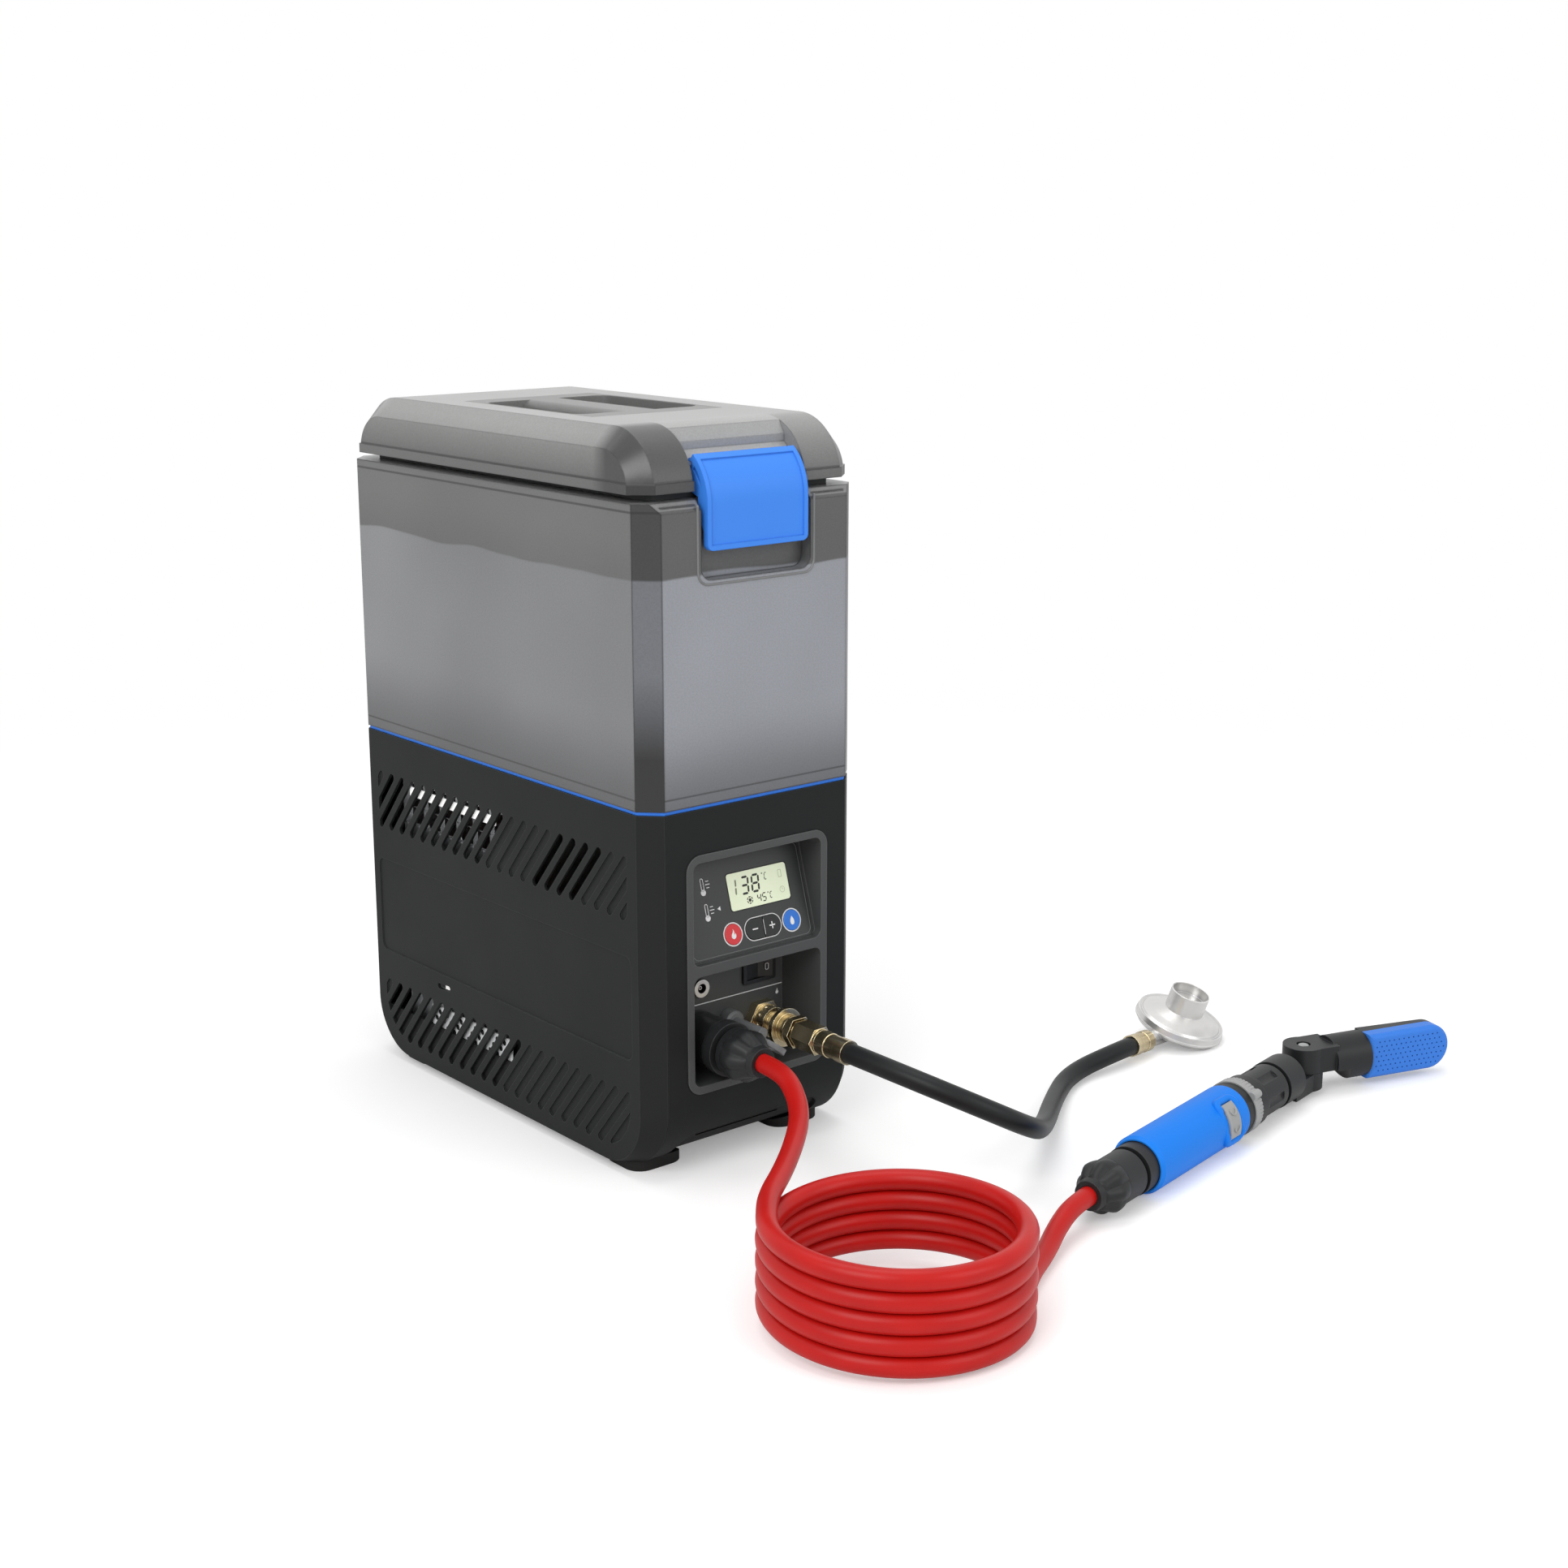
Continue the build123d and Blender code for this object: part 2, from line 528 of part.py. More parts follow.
with BuildPart() as control_panel:
    with BuildSketch(PANEL_FACE):
        with Locations((0, PANEL_LENGTH / 2)):
            RectangleRounded(2 * PANEL_HALF_WIDTH, PANEL_LENGTH, POST_RADIUS)
        with Locations((LCD_X, LCD_UP)):
            RectangleRounded(*LCD_SIZE, POST_RADIUS, mode=Mode.SUBTRACT)
        with Locations((FLAME_KEY_X, KEY_ROW), (WATER_KEY_X, KEY_ROW)):
            Circle(KEY_HOLE / 2, mode=Mode.SUBTRACT)
        with Locations((STEP_KEYS_X, KEY_ROW)):
            SlotOverall(STEP_KEYS_WIDTH + 2 * KEY_GAP, KEY_HOLE, mode=Mode.SUBTRACT)
            Rectangle(RIB, KEY_HOLE)
    extrude(amount=-PANEL_WALL)
    with BuildSketch(PANEL_FACE.offset(-PANEL_WALL)):
        with Locations((0, PANEL_LENGTH / 2)):
            with GridLocations(POST_SPREAD, PANEL_LENGTH - 2 * POST_INSET, 2, 2):
                Circle(POST_RADIUS)
    extrude(amount=PANEL_WALL - BOARD_DEPTH)
finish(control_panel, "control_panel")

with BuildPart() as lcd_window:
    with BuildSketch(PANEL_FACE):
        with Locations((LCD_X, LCD_UP)):
            RectangleRounded(LCD_SIZE[0] - 2 * LCD_FIT, LCD_SIZE[1] - 2 * LCD_FIT, POST_RADIUS - LCD_FIT)
    extrude(amount=-PANEL_WALL)
    with BuildSketch(PANEL_FACE.offset(-PANEL_WALL)):
        with Locations((LCD_X, LCD_UP)):
            Rectangle(LCD_SIZE[0] + 2 * LCD_RIM, LCD_SIZE[1] + 2 * LCD_RIM)
    extrude(amount=-LCD_RIM_WALL)
finish(lcd_window, "lcd_window")


def round_key(x):
    """Round push button with a hidden rim that holds it behind the panel."""
    with BuildPart() as key:
        with BuildSketch(PANEL_FACE.offset(-KEY_FOOT)):
            with Locations((x, KEY_ROW)):
                Circle(KEY_DIAMETER / 2 + KEY_FLANGE_RIM)
        extrude(amount=KEY_FLANGE)
        with BuildSketch(PANEL_FACE.offset(-KEY_FOOT)):
            with Locations((x, KEY_ROW)):
                Circle(KEY_DIAMETER / 2)
        extrude(amount=KEY_FOOT + KEY_PROUD)
        fillet(key.edges().group_by(Axis((0, 0, 0), PANEL_OUT))[-1], KEY_PROUD / 2)
    return key.part


def step_key(side):
    """One half of the stadium-shaped pair of keys: -1 is minus, +1 is plus."""
    reach = STEP_KEYS_WIDTH / 2 + KEY_FLANGE_RIM
    cut = RIB / 2 + KEY_GAP
    with BuildPart() as key:
        with BuildSketch(PANEL_FACE.offset(-KEY_FOOT)):
            with Locations((STEP_KEYS_X, KEY_ROW)):
                SlotOverall(2 * reach, KEY_DIAMETER + 2 * KEY_FLANGE_RIM)
            with Locations((STEP_KEYS_X + side * (cut + reach) / 2, KEY_ROW)):
                Rectangle(reach - cut, 2 * KEY_DIAMETER, mode=Mode.INTERSECT)
        extrude(amount=KEY_FLANGE)
        with BuildSketch(PANEL_FACE.offset(-KEY_FOOT)):
            with Locations((STEP_KEYS_X, KEY_ROW)):
                SlotOverall(STEP_KEYS_WIDTH, KEY_DIAMETER)
            with Locations((STEP_KEYS_X + side * (cut + reach) / 2, KEY_ROW)):
                Rectangle(reach - cut, 2 * KEY_DIAMETER, mode=Mode.INTERSECT)
        extrude(amount=KEY_FOOT + KEY_PROUD)
        fillet(key.edges().group_by(Axis((0, 0, 0), PANEL_OUT))[-1], KEY_PROUD / 2)
    return key.part


with BuildPart() as flame_button:
    add(round_key(FLAME_KEY_X))
finish(flame_button, "flame_button")

with BuildPart() as water_button:
    add(round_key(WATER_KEY_X))
finish(water_button, "water_button")

with BuildPart() as minus_button:
    add(step_key(-1))
finish(minus_button, "minus_button")

with BuildPart() as plus_button:
    add(step_key(1))
finish(plus_button, "plus_button")

with BuildPart() as control_board:
    with BuildSketch(PANEL_FACE.offset(-BOARD_DEPTH)):
        with Locations((0, PANEL_LENGTH / 2)):
            Rectangle(*BOARD_SIZE)
    extrude(amount=-BOARD_WALL)
    with BuildSketch(PANEL_FACE.offset(-BOARD_DEPTH)):
        with Locations((FLAME_KEY_X, KEY_ROW), (WATER_KEY_X, KEY_ROW),
                       (STEP_KEYS_X - STEP_KEYS_WIDTH / 4, KEY_ROW),
                       (STEP_KEYS_X + STEP_KEYS_WIDTH / 4, KEY_ROW)):
            Rectangle(KEY_SWITCH, KEY_SWITCH)
    extrude(amount=BOARD_DEPTH - KEY_FOOT - KEY_TRAVEL - RIM_GAP)
    with BuildSketch(PANEL_FACE.offset(-BOARD_DEPTH)):
        with Locations((LCD_X, LCD_UP)):
            Rectangle(LCD_SIZE[0] + 2 * LCD_RIM, LCD_SIZE[1] + 2 * LCD_RIM)
    extrude(amount=BOARD_DEPTH - PANEL_WALL - LCD_RIM_WALL - RIM_GAP)
finish(control_board, "control_board")

# ---------------------------------------------------------------- switch and power socket
SWITCH_FACE = (28.4, 21.0)
SWITCH_PROUD = 2.0
ROCKER_OPENING = (22.6, 15.6)
ROCKER_SIZE = (21.0, 15.0)
ROCKER_FOOT = 3.0        # rocker's depth behind its axle
ROCKER_NOSE = 4.0        # rocker's ends in front of its axle
ROCKER_DISH = 2.4        # the middle of its front is lower than the ends
ROCKER_TILT = 7.0        # degrees either way
AXLE_RADIUS = 1.2
AXLE_LENGTH = 16.4
AXLE_DEPTH = 1.5         # axle behind the bay's back wall face
AXLE_Y = BAY_BACK + AXLE_DEPTH
SWITCH_FLOOR = 1.5

with BuildPart() as switch_frame:
    with BuildSketch(Plane.XZ.offset(-BAY_BACK)):
        with Locations((SWITCH_X, SWITCH_Z)):
            RectangleRounded(*SWITCH_FACE, SWITCH_PROUD)
    extrude(amount=SWITCH_PROUD)
    with BuildSketch(Plane.XZ.offset(-BAY_BACK)):
        with Locations((SWITCH_X, SWITCH_Z)):
            Rectangle(SWITCH_BODY[0], SWITCH_BODY[1])
    extrude(amount=-SWITCH_BODY[2])
    with BuildSketch(Plane.XZ.offset(-BAY_BACK + SWITCH_PROUD)):
        with Locations((SWITCH_X, SWITCH_Z)):
            Rectangle(*ROCKER_OPENING)
    extrude(amount=SWITCH_FLOOR - SWITCH_BODY[2] - SWITCH_PROUD, mode=Mode.SUBTRACT)
    with BuildSketch(Plane.XY.offset(SWITCH_Z - AXLE_LENGTH / 2 - HOLE_FIT)):
        with Locations((SWITCH_X, AXLE_Y)):
            Circle(AXLE_RADIUS + RUN_FIT)
    extrude(amount=AXLE_LENGTH + 2 * HOLE_FIT, mode=Mode.SUBTRACT)
finish(switch_frame, "switch_frame")

ROCKER_PLANE = Plane(origin=(SWITCH_X, AXLE_Y, SWITCH_Z)).rotated((0, 0, -ROCKER_TILT))

with BuildPart() as switch_rocker:
    with BuildSketch(ROCKER_PLANE.offset(-ROCKER_SIZE[1] / 2)):
        with BuildLine():
            Polyline((-ROCKER_SIZE[0] / 2, -ROCKER_NOSE), (0, -ROCKER_NOSE + ROCKER_DISH),
                     (ROCKER_SIZE[0] / 2, -ROCKER_NOSE), (ROCKER_SIZE[0] / 2, 0),
                     (ROCKER_NOSE, ROCKER_FOOT), (-ROCKER_NOSE, ROCKER_FOOT),
                     (-ROCKER_SIZE[0] / 2, 0), close=True)
        make_face()
    extrude(amount=ROCKER_SIZE[1])
    with BuildSketch(ROCKER_PLANE.offset(-AXLE_LENGTH / 2)):
        Circle(AXLE_RADIUS)
    extrude(amount=AXLE_LENGTH)
finish(switch_rocker, "switch_rocker")


def bay_frame(x, z):
    """Frame on the bay's back wall whose x axis points out of the bay."""
    return Plane(origin=(x, BAY_BACK, z), x_dir=(0, -1, 0), z_dir=(0, 0, 1))


def prism(frame, start, end, width):
    """Hexagonal nut body about a frame's x axis."""
    with BuildPart() as nut:
        with BuildSketch(across(frame, start)):
            RegularPolygon(width / 2, 6, major_radius=False)
        extrude(amount=end - start)
    return nut.part


DC_FLANGE = 6.0
DC_RIM = 1.5
DC_BODY = 12.0
DC_BORE = 3.1
DC_WELL = 9.0
DC_PIN = 1.0
DC_PIN_DROP = 0.5        # the pin's tip behind the wall's face

with BuildPart() as dc_socket:
    add(turned(bay_frame(DC_X, DC_Z), [
        (-DC_BODY, 0), (-DC_BODY, DC_RADIUS), (0, DC_RADIUS), (0, DC_FLANGE), (DC_RIM, DC_FLANGE),
        (DC_RIM, DC_BORE), (-DC_WELL, DC_BORE), (-DC_WELL, DC_PIN), (-DC_PIN_DROP, DC_PIN), (-DC_PIN_DROP, 0)]))
finish(dc_socket, "dc_socket")

# ---------------------------------------------------------------- gas inlet, coupler and hose end
GAS_FRAME = bay_frame(GAS_X, FITTING_Z)
HEX_LENGTH = 7.0
COLLAR_RADIUS = 10.8
COLLAR_END = 16.5
FITTING_TAIL = 14.0      # fittings behind the bay's back wall face
TUBE_END = 37.0
SOCKET_BORE = 5.0
SOCKET_FLOOR = 20.0
SLEEVE_START = COLLAR_END + SLEEVE_TRAVEL + 0.5
SLEEVE_END = TUBE_END - 1
SLEEVE_RING_START = SLEEVE_START + 5
SLEEVE_RING_WIDTH = 3.5
SLEEVE_RING = 13.5
SLEEVE_RADIUS = 9.8
SLEEVE_STEP = 0.5
PLUG_START = TUBE_END + 0.5
PLUG_NUT_LENGTH = 5.5
PLUG_NUT_GAP = 1.5
PLUG_WAIST = 8.0
PLUG_LIP = 8.6
PLUG_FIT = 0.1
PLUG_NUT_END = PLUG_START + 27.2
FERRULE_START = PLUG_NUT_END + 2.3
FERRULE_LENGTH = 27.0
FERRULE_RADIUS = 8.5
CRIMP_DEPTH = 5.0        # how far the hose enters a ferrule
GAS_HOSE_START = FERRULE_START + FERRULE_LENGTH - CRIMP_DEPTH
CRIMP_FIT = 0.15
CRIMP_GROOVE = 0.4
GRIP_DIMPLES = 10
DIMPLE_RADIUS = 1.6

with BuildPart() as gas_inlet:
    add(turned(GAS_FRAME, [
        (-FITTING_TAIL, 0), (-FITTING_TAIL, PORT_RADIUS), (HEX_LENGTH, PORT_RADIUS), (HEX_LENGTH, COLLAR_RADIUS),
        (COLLAR_END, COLLAR_RADIUS), (COLLAR_END, SOCKET_TUBE / 2), (TUBE_END, SOCKET_TUBE / 2),
        (TUBE_END, SOCKET_BORE), (SOCKET_FLOOR, SOCKET_BORE), (SOCKET_FLOOR, 0)]))
    add(prism(GAS_FRAME, 0, HEX_LENGTH, BRASS_HEX))
    with Locations(across(GAS_FRAME, (HEX_LENGTH + COLLAR_END) / 2)):
        with PolarLocations(COLLAR_RADIUS + DIMPLE_RADIUS / 3, GRIP_DIMPLES):
            Sphere(DIMPLE_RADIUS, mode=Mode.SUBTRACT)
finish(gas_inlet, "gas_inlet")

with BuildPart() as gas_coupler_sleeve:
    add(turned(GAS_FRAME, [
        (SLEEVE_START, SOCKET_TUBE / 2 + RUN_FIT), (SLEEVE_START, SLEEVE_RADIUS - SLEEVE_STEP),
        (SLEEVE_RING_START, SLEEVE_RADIUS - SLEEVE_STEP), (SLEEVE_RING_START, SLEEVE_RING),
        (SLEEVE_RING_START + SLEEVE_RING_WIDTH, SLEEVE_RING),
        (SLEEVE_RING_START + SLEEVE_RING_WIDTH, SLEEVE_RADIUS),
        (SLEEVE_END, SLEEVE_RADIUS), (SLEEVE_END, SOCKET_TUBE / 2 + RUN_FIT)]))
finish(gas_coupler_sleeve, "gas_coupler_sleeve")

with BuildPart() as gas_plug:
    add(turned(GAS_FRAME, [
        (SOCKET_FLOOR + 2, 0), (SOCKET_FLOOR + 2, SOCKET_BORE - PLUG_FIT), (PLUG_START, SOCKET_BORE - PLUG_FIT),
        (PLUG_START, PLUG_WAIST), (PLUG_NUT_END, PLUG_WAIST),
        (PLUG_NUT_END, PLUG_LIP), (FERRULE_START, PLUG_LIP),
        (FERRULE_START, 0)]))
    add(prism(GAS_FRAME, PLUG_START, PLUG_START + PLUG_NUT_LENGTH, PLUG_HEX + 2))
    add(prism(GAS_FRAME, PLUG_START + PLUG_NUT_LENGTH + PLUG_NUT_GAP, PLUG_NUT_END, PLUG_HEX))
finish(gas_plug, "gas_plug")

# ---------------------------------------------------------------- regulator on the floor
REG_CENTRE = Vector(*REGULATOR_CENTRE)
REG_N = Vector(*REGULATOR_UP).normalized()
REG_A = (Vector(*REGULATOR_ARM) - REG_N * Vector(*REGULATOR_ARM).dot(REG_N)).normalized()
REG_FRAME = Plane(origin=REG_CENTRE, x_dir=REG_N, z_dir=REG_N.cross(REG_A))
ARM_DROP = 11.5          # arm axis below the regulator's middle
ARM_END = 43.0
ARM_RADIUS = 6.5
ARM_FERRULE_LENGTH = 23.0
ARM_FERRULE_RADIUS = 8.2
ARM_CRIMP = 4.0
CUP_RADIUS = 15.2
CUP_WALL = 1.0
COVER_TOP = 7.0
CUP_TOP = 22.5
CUP_FLOOR = 14.5
FLANGE_BOTTOM = -4.5
FLANGE_RIM = 1.5         # upright edge of the lower dish
DISH_RIM = 2.5           # width of the dish's flat rim
DISH_RADIUS = 18.0
DISH_FOOT = (10.5, 10.0) # depth and radius of the dish's foot
COVER_GROOVE = 3.5       # groove inside the cover's rim
COVER_SHOULDER = 24.0
COVER_EDGE = 0.3
ARM_FRAME = Plane(origin=REG_CENTRE - REG_N * ARM_DROP, x_dir=REG_A, z_dir=REG_N)

with BuildPart() as regulator_body:
    add(turned(REG_FRAME, [
        (FLANGE_BOTTOM, 0), (FLANGE_BOTTOM, REGULATOR_RADIUS), (FLANGE_BOTTOM - FLANGE_RIM, REGULATOR_RADIUS),
        (FLANGE_BOTTOM - 3 * FLANGE_RIM, REGULATOR_RADIUS - DISH_RIM),
        (FLANGE_BOTTOM - DISH_FOOT[0] + 2, DISH_RADIUS),
        (FLANGE_BOTTOM - DISH_FOOT[0], DISH_FOOT[1]), (FLANGE_BOTTOM - DISH_FOOT[0], 0)]))
    add(turned(ARM_FRAME, [(0, 0), (0, ARM_RADIUS), (ARM_END, ARM_RADIUS), (ARM_END, 0)]))
finish(regulator_body, "regulator_body")

with BuildPart() as regulator_cover:
    add(turned(REG_FRAME, [
        (FLANGE_BOTTOM, 0), (FLANGE_BOTTOM, REGULATOR_RADIUS), (0, REGULATOR_RADIUS - 1),
        (-1, REGULATOR_RADIUS - COVER_GROOVE), (0.5, REGULATOR_RADIUS - COVER_GROOVE - FLANGE_RIM),
        (COVER_TOP - 4, COVER_SHOULDER), (COVER_TOP - 1, CUP_RADIUS + DISH_RIM),
        (COVER_TOP, CUP_RADIUS + COVER_EDGE),
        (COVER_TOP, 0)]))
finish(regulator_cover, "regulator_cover")

with BuildPart() as regulator_cup:
    add(turned(REG_FRAME, [
        (COVER_TOP, 0), (COVER_TOP, CUP_RADIUS), (CUP_TOP, CUP_RADIUS), (CUP_TOP, CUP_RADIUS - CUP_WALL),
        (CUP_FLOOR, CUP_RADIUS - CUP_WALL), (CUP_FLOOR, 0)]))
finish(regulator_cup, "regulator_cup")


def ferrule(frame, start, length, radius, hose, crimp):
    """Crimped sleeve over a hose end: closed at its start, bored for the hose at its end."""
    end = start + length
    bore = hose / 2 + CRIMP_FIT
    return turned(frame, [
        (start, 0), (start, radius), (start + length / 3, radius), (start + length / 3, radius - CRIMP_GROOVE),
        (end - length / 3, radius - CRIMP_GROOVE), (end - length / 3, radius), (end, radius), (end, bore),
        (end - crimp, bore), (end - crimp, 0)])


with BuildPart() as hose_ferrules:
    add(ferrule(GAS_FRAME, FERRULE_START, FERRULE_LENGTH, FERRULE_RADIUS, GAS_HOSE, CRIMP_DEPTH))
    add(ferrule(ARM_FRAME, ARM_END, ARM_FERRULE_LENGTH, ARM_FERRULE_RADIUS, GAS_HOSE, ARM_CRIMP))
finish(hose_ferrules, "hose_ferrules")

gas_hose_start = GAS_FRAME.origin + GAS_FRAME.x_dir * GAS_HOSE_START
gas_hose_end = ARM_FRAME.origin + ARM_FRAME.x_dir * (ARM_END + ARM_FERRULE_LENGTH - ARM_CRIMP)
GAS_ROUTE = [
    gas_hose_start, (28, -255, 86), (33.6, -284.5, 82.8), (47.1, -312, 75.1), (69.7, -333, 62.3),
    (101, -339, 44.5), (145.2, -307.8, 22), (219.3, -247.1, 7.1), (264.4, -219.5, 7.1),
    gas_hose_end + ARM_FRAME.x_dir * 18, gas_hose_end]

with BuildPart() as gas_hose:
    add(tube(GAS_ROUTE, GAS_HOSE))
finish(gas_hose, "gas_hose")

# ---------------------------------------------------------------- water outlet and hose nut
WATER_FRAME = bay_frame(WATER_X, FITTING_Z)
OUTLET_FLANGE = 17.0
SPIGOT_RADIUS = 9.0
SPIGOT_LENGTH = 30.0
COLLAR_START = 3.0
COLLAR_LENGTH = 36.0
OUTLET_RIM = 2.0
NECK_RADIUS = 13.5
NUT_STEPS = ((0.0, 10.0), (8.0, 12.0), (16.0, 15.5), (26.0, 16.5))   # distance from its hose end, radius
NUT_WIDE_END = 29.5
HOSE_RECESS = 2.0
COLLAR_GAP = 0.1
COLLAR_PLAY = 0.5        # room beyond a collar's travel
PULL_RADIUS = 17.0
PULL_FLARE = 18.5

with BuildPart() as water_outlet:
    add(turned(WATER_FRAME, [
        (-FITTING_TAIL, 0), (-FITTING_TAIL, WATER_PORT_RADIUS), (0, WATER_PORT_RADIUS), (0, OUTLET_FLANGE),
        (OUTLET_RIM, OUTLET_FLANGE), (OUTLET_RIM, SPIGOT_RADIUS),
        (SPIGOT_LENGTH, SPIGOT_RADIUS), (SPIGOT_LENGTH, SPIGOT_RADIUS / 2),
        (0, SPIGOT_RADIUS / 2), (0, 0)]))
finish(water_outlet, "water_outlet")


def hose_nut(end, inward, wide, neck, spigot):
    """Moulded hose nut from its hose end: a cone, a wide part, then a hollow neck for a spigot."""
    frame = Plane(origin=end, x_dir=inward, z_dir=(0, 0, 1))
    recess = WATER_HOSE / 2 + CRIMP_FIT
    bore = SPIGOT_RADIUS + COLLAR_GAP
    top = wide + neck
    return turned(frame, [
        (HOSE_RECESS, 0), (HOSE_RECESS, recess), (0, recess), *NUT_STEPS, (wide, NUT_STEPS[-1][1]),
        (wide, NECK_RADIUS), (top, NECK_RADIUS), (top, bore), (top - spigot, bore), (top - spigot, 0)])


def pull_collar(frame, start, length, radius, flare):
    """Ribbed collar that slides on a neck, wider at its far end."""
    end = start + length
    bore = NECK_RADIUS + COLLAR_GAP
    with BuildPart() as collar:
        add(turned(frame, [
            (start, bore), (start, radius), (end - length / 3, radius), (end - length / 4, flare),
            (end, flare), (end, bore)]))
    return collar.part


WATER_NECK = COLLAR_LENGTH + COLLAR_TRAVEL + COLLAR_PLAY
WATER_NUT_END = COLLAR_START + WATER_NECK + NUT_WIDE_END

with BuildPart() as coupler_collar:
    add(pull_collar(WATER_FRAME, COLLAR_START, COLLAR_LENGTH, PULL_RADIUS, PULL_FLARE))
finish(coupler_collar, "coupler_collar")

# ---------------------------------------------------------------- shower wand
WAND_ALONG = Vector(cos(radians(WAND_HEADING)), sin(radians(WAND_HEADING)), 0)
WAND_SIDE = Vector(WAND_ALONG.Y, -WAND_ALONG.X, 0)
WAND = Plane(origin=WAND_START, x_dir=WAND_ALONG, z_dir=WAND_SIDE)
WAND_NUT_END = 44.0      # wide part of the nut at the wand's end
WAND_COLLAR_START = WAND_NUT_END + COLLAR_TRAVEL + 2 * COLLAR_PLAY
WAND_COLLAR_LENGTH = 22.0
WAND_NECK_END = WAND_COLLAR_START + WAND_COLLAR_LENGTH
WAND_SPIGOT = 20.0       # depth of the nut's neck around the wand's spigot
SPIGOT_GAP = 2.0
BARREL_BORE = 5.0
GRIP_END = GRIP_START + GRIP_LENGTH
GRIP_EDGE = 1.5
GRIP_CORE = 14.8
GRIP_POCKET = 17.4       # bore in the grip's end that the collar enters
TRIGGER_STATION = GRIP_END - 22
TRIGGER_LENGTH = 14.0
TRIGGER_ARC = (35.0, 70.0)
TRIGGER_SWING = 8.0
TRIGGER_INNER = 16.0
TRIGGER_OUTER = 22.0
POCKET_GAP = 0.4
RING_LENGTH = 10.0
FLOW_RING_START = GRIP_END + RING_LENGTH
HEAD_COLLAR_START = FLOW_RING_START + RING_LENGTH
HEAD_COLLAR_LENGTH = 43.5
HEAD_COLLAR_END = HEAD_COLLAR_START + HEAD_COLLAR_LENGTH
BARREL_NECK = 12.0
CLEVIS_START = HEAD_COLLAR_START + 11
CLEVIS_SOCKET = 22.0     # depth of the clevis around the barrel's end
CLEVIS_RING = HEAD_COLLAR_END + COLLAR_TRAVEL + COLLAR_PLAY
CLEVIS_RING_LENGTH = 24.0
CLEVIS_RING_END = CLEVIS_RING + CLEVIS_RING_LENGTH
CLEVIS_RADIUS = 17.5
PIVOT_STATION = CLEVIS_RING_END + PIVOT_REACH
FLUTES = 6
FLUTE_RADIUS = 6.0
FLUTE_DEPTH = 1.5
FLUTE_LENGTH = 22.0
TONGUE_LOW = 5.0         # heights of the pivot's lower half
TONGUE_HIGH = 18.0
KNUCKLE_LOW = 18.4
KNUCKLE_HIGH = 37.0
KNUCKLE_RADIUS = 15.0
PIVOT_RADIUS = 3.0
RING_GAP = 0.2
RING_TEETH = 48
TOOTH_RADIUS = 0.5
LUG_RADIUS = 3.2         # thumb lug on the flow ring
LUG_ANGLE = 50.0

with BuildPart() as hose_nuts:
    add(hose_nut(WATER_FRAME.origin + WATER_FRAME.x_dir * WATER_NUT_END, -WATER_FRAME.x_dir, NUT_WIDE_END,
                 WATER_NECK, SPIGOT_LENGTH - COLLAR_START))
    add(hose_nut(WAND.origin - WAND_ALONG * HOSE_RECESS, WAND_ALONG, WAND_NUT_END + HOSE_RECESS,
                 WAND_NECK_END - WAND_NUT_END, WAND_SPIGOT))
finish(hose_nuts, "hose_nuts")

with BuildPart() as wand_collar:
    add(pull_collar(WAND, WAND_COLLAR_START, WAND_COLLAR_LENGTH, PULL_RADIUS, PULL_RADIUS))
finish(wand_collar, "wand_collar")


def grip_sector(start, size, inner, outer, station, length):
    """Block shaped like part of a ring around the wand's axis."""
    with BuildPart() as sector:
        with BuildSketch(across(WAND, station - length / 2)):
            with BuildLine():
                outer_arc = CenterArc((0, 0), outer, start, size)
                inner_arc = CenterArc((0, 0), inner, start, size)
                Line(outer_arc @ 0, inner_arc @ 0)
                Line(outer_arc @ 1, inner_arc @ 1)
            make_face()
        extrude(amount=length)
    return sector.part


with BuildPart() as wand_grip:
    add(turned(WAND, [
        (GRIP_START, GRIP_POCKET), (GRIP_START, GRIP_RADIUS - GRIP_EDGE), (GRIP_START + 2 * GRIP_EDGE, GRIP_RADIUS),
        (GRIP_END, GRIP_RADIUS), (GRIP_END, GRIP_CORE), (WAND_NECK_END + 1, GRIP_CORE),
        (WAND_NECK_END + 1, GRIP_POCKET)]))
    add(grip_sector(TRIGGER_ARC[0] - TRIGGER_SWING - 1, TRIGGER_ARC[1] + TRIGGER_SWING + 2,
                    TRIGGER_INNER - POCKET_GAP, TRIGGER_OUTER + 1, TRIGGER_STATION,
                    TRIGGER_LENGTH + 2 * POCKET_GAP), mode=Mode.SUBTRACT)
finish(wand_grip, "wand_grip")

with BuildPart() as wand_trigger:
    add(grip_sector(*TRIGGER_ARC, TRIGGER_INNER, TRIGGER_OUTER, TRIGGER_STATION, TRIGGER_LENGTH))
    fillet(wand_trigger.faces().filter_by(GeomType.CYLINDER).sort_by(SortBy.AREA)[-1].edges(), 1.2)
finish(wand_trigger, "wand_trigger")

with BuildPart() as wand_barrel:
    add(turned(WAND, [
        (WAND_NECK_END - WAND_SPIGOT + SPIGOT_GAP, BARREL_BORE),
        (WAND_NECK_END - WAND_SPIGOT + SPIGOT_GAP, SPIGOT_RADIUS),
        (WAND_NECK_END + 1, SPIGOT_RADIUS), (WAND_NECK_END + 1, GRIP_CORE),
        (GRIP_END, GRIP_CORE), (GRIP_END, GRIP_RADIUS - 1), (FLOW_RING_START, GRIP_RADIUS - 1),
        (FLOW_RING_START, BARREL_NECK), (CLEVIS_START - 1, BARREL_NECK), (CLEVIS_START - 1, SPIGOT_RADIUS),
        (CLEVIS_START + CLEVIS_SOCKET, SPIGOT_RADIUS), (CLEVIS_START + CLEVIS_SOCKET, BARREL_BORE)]))
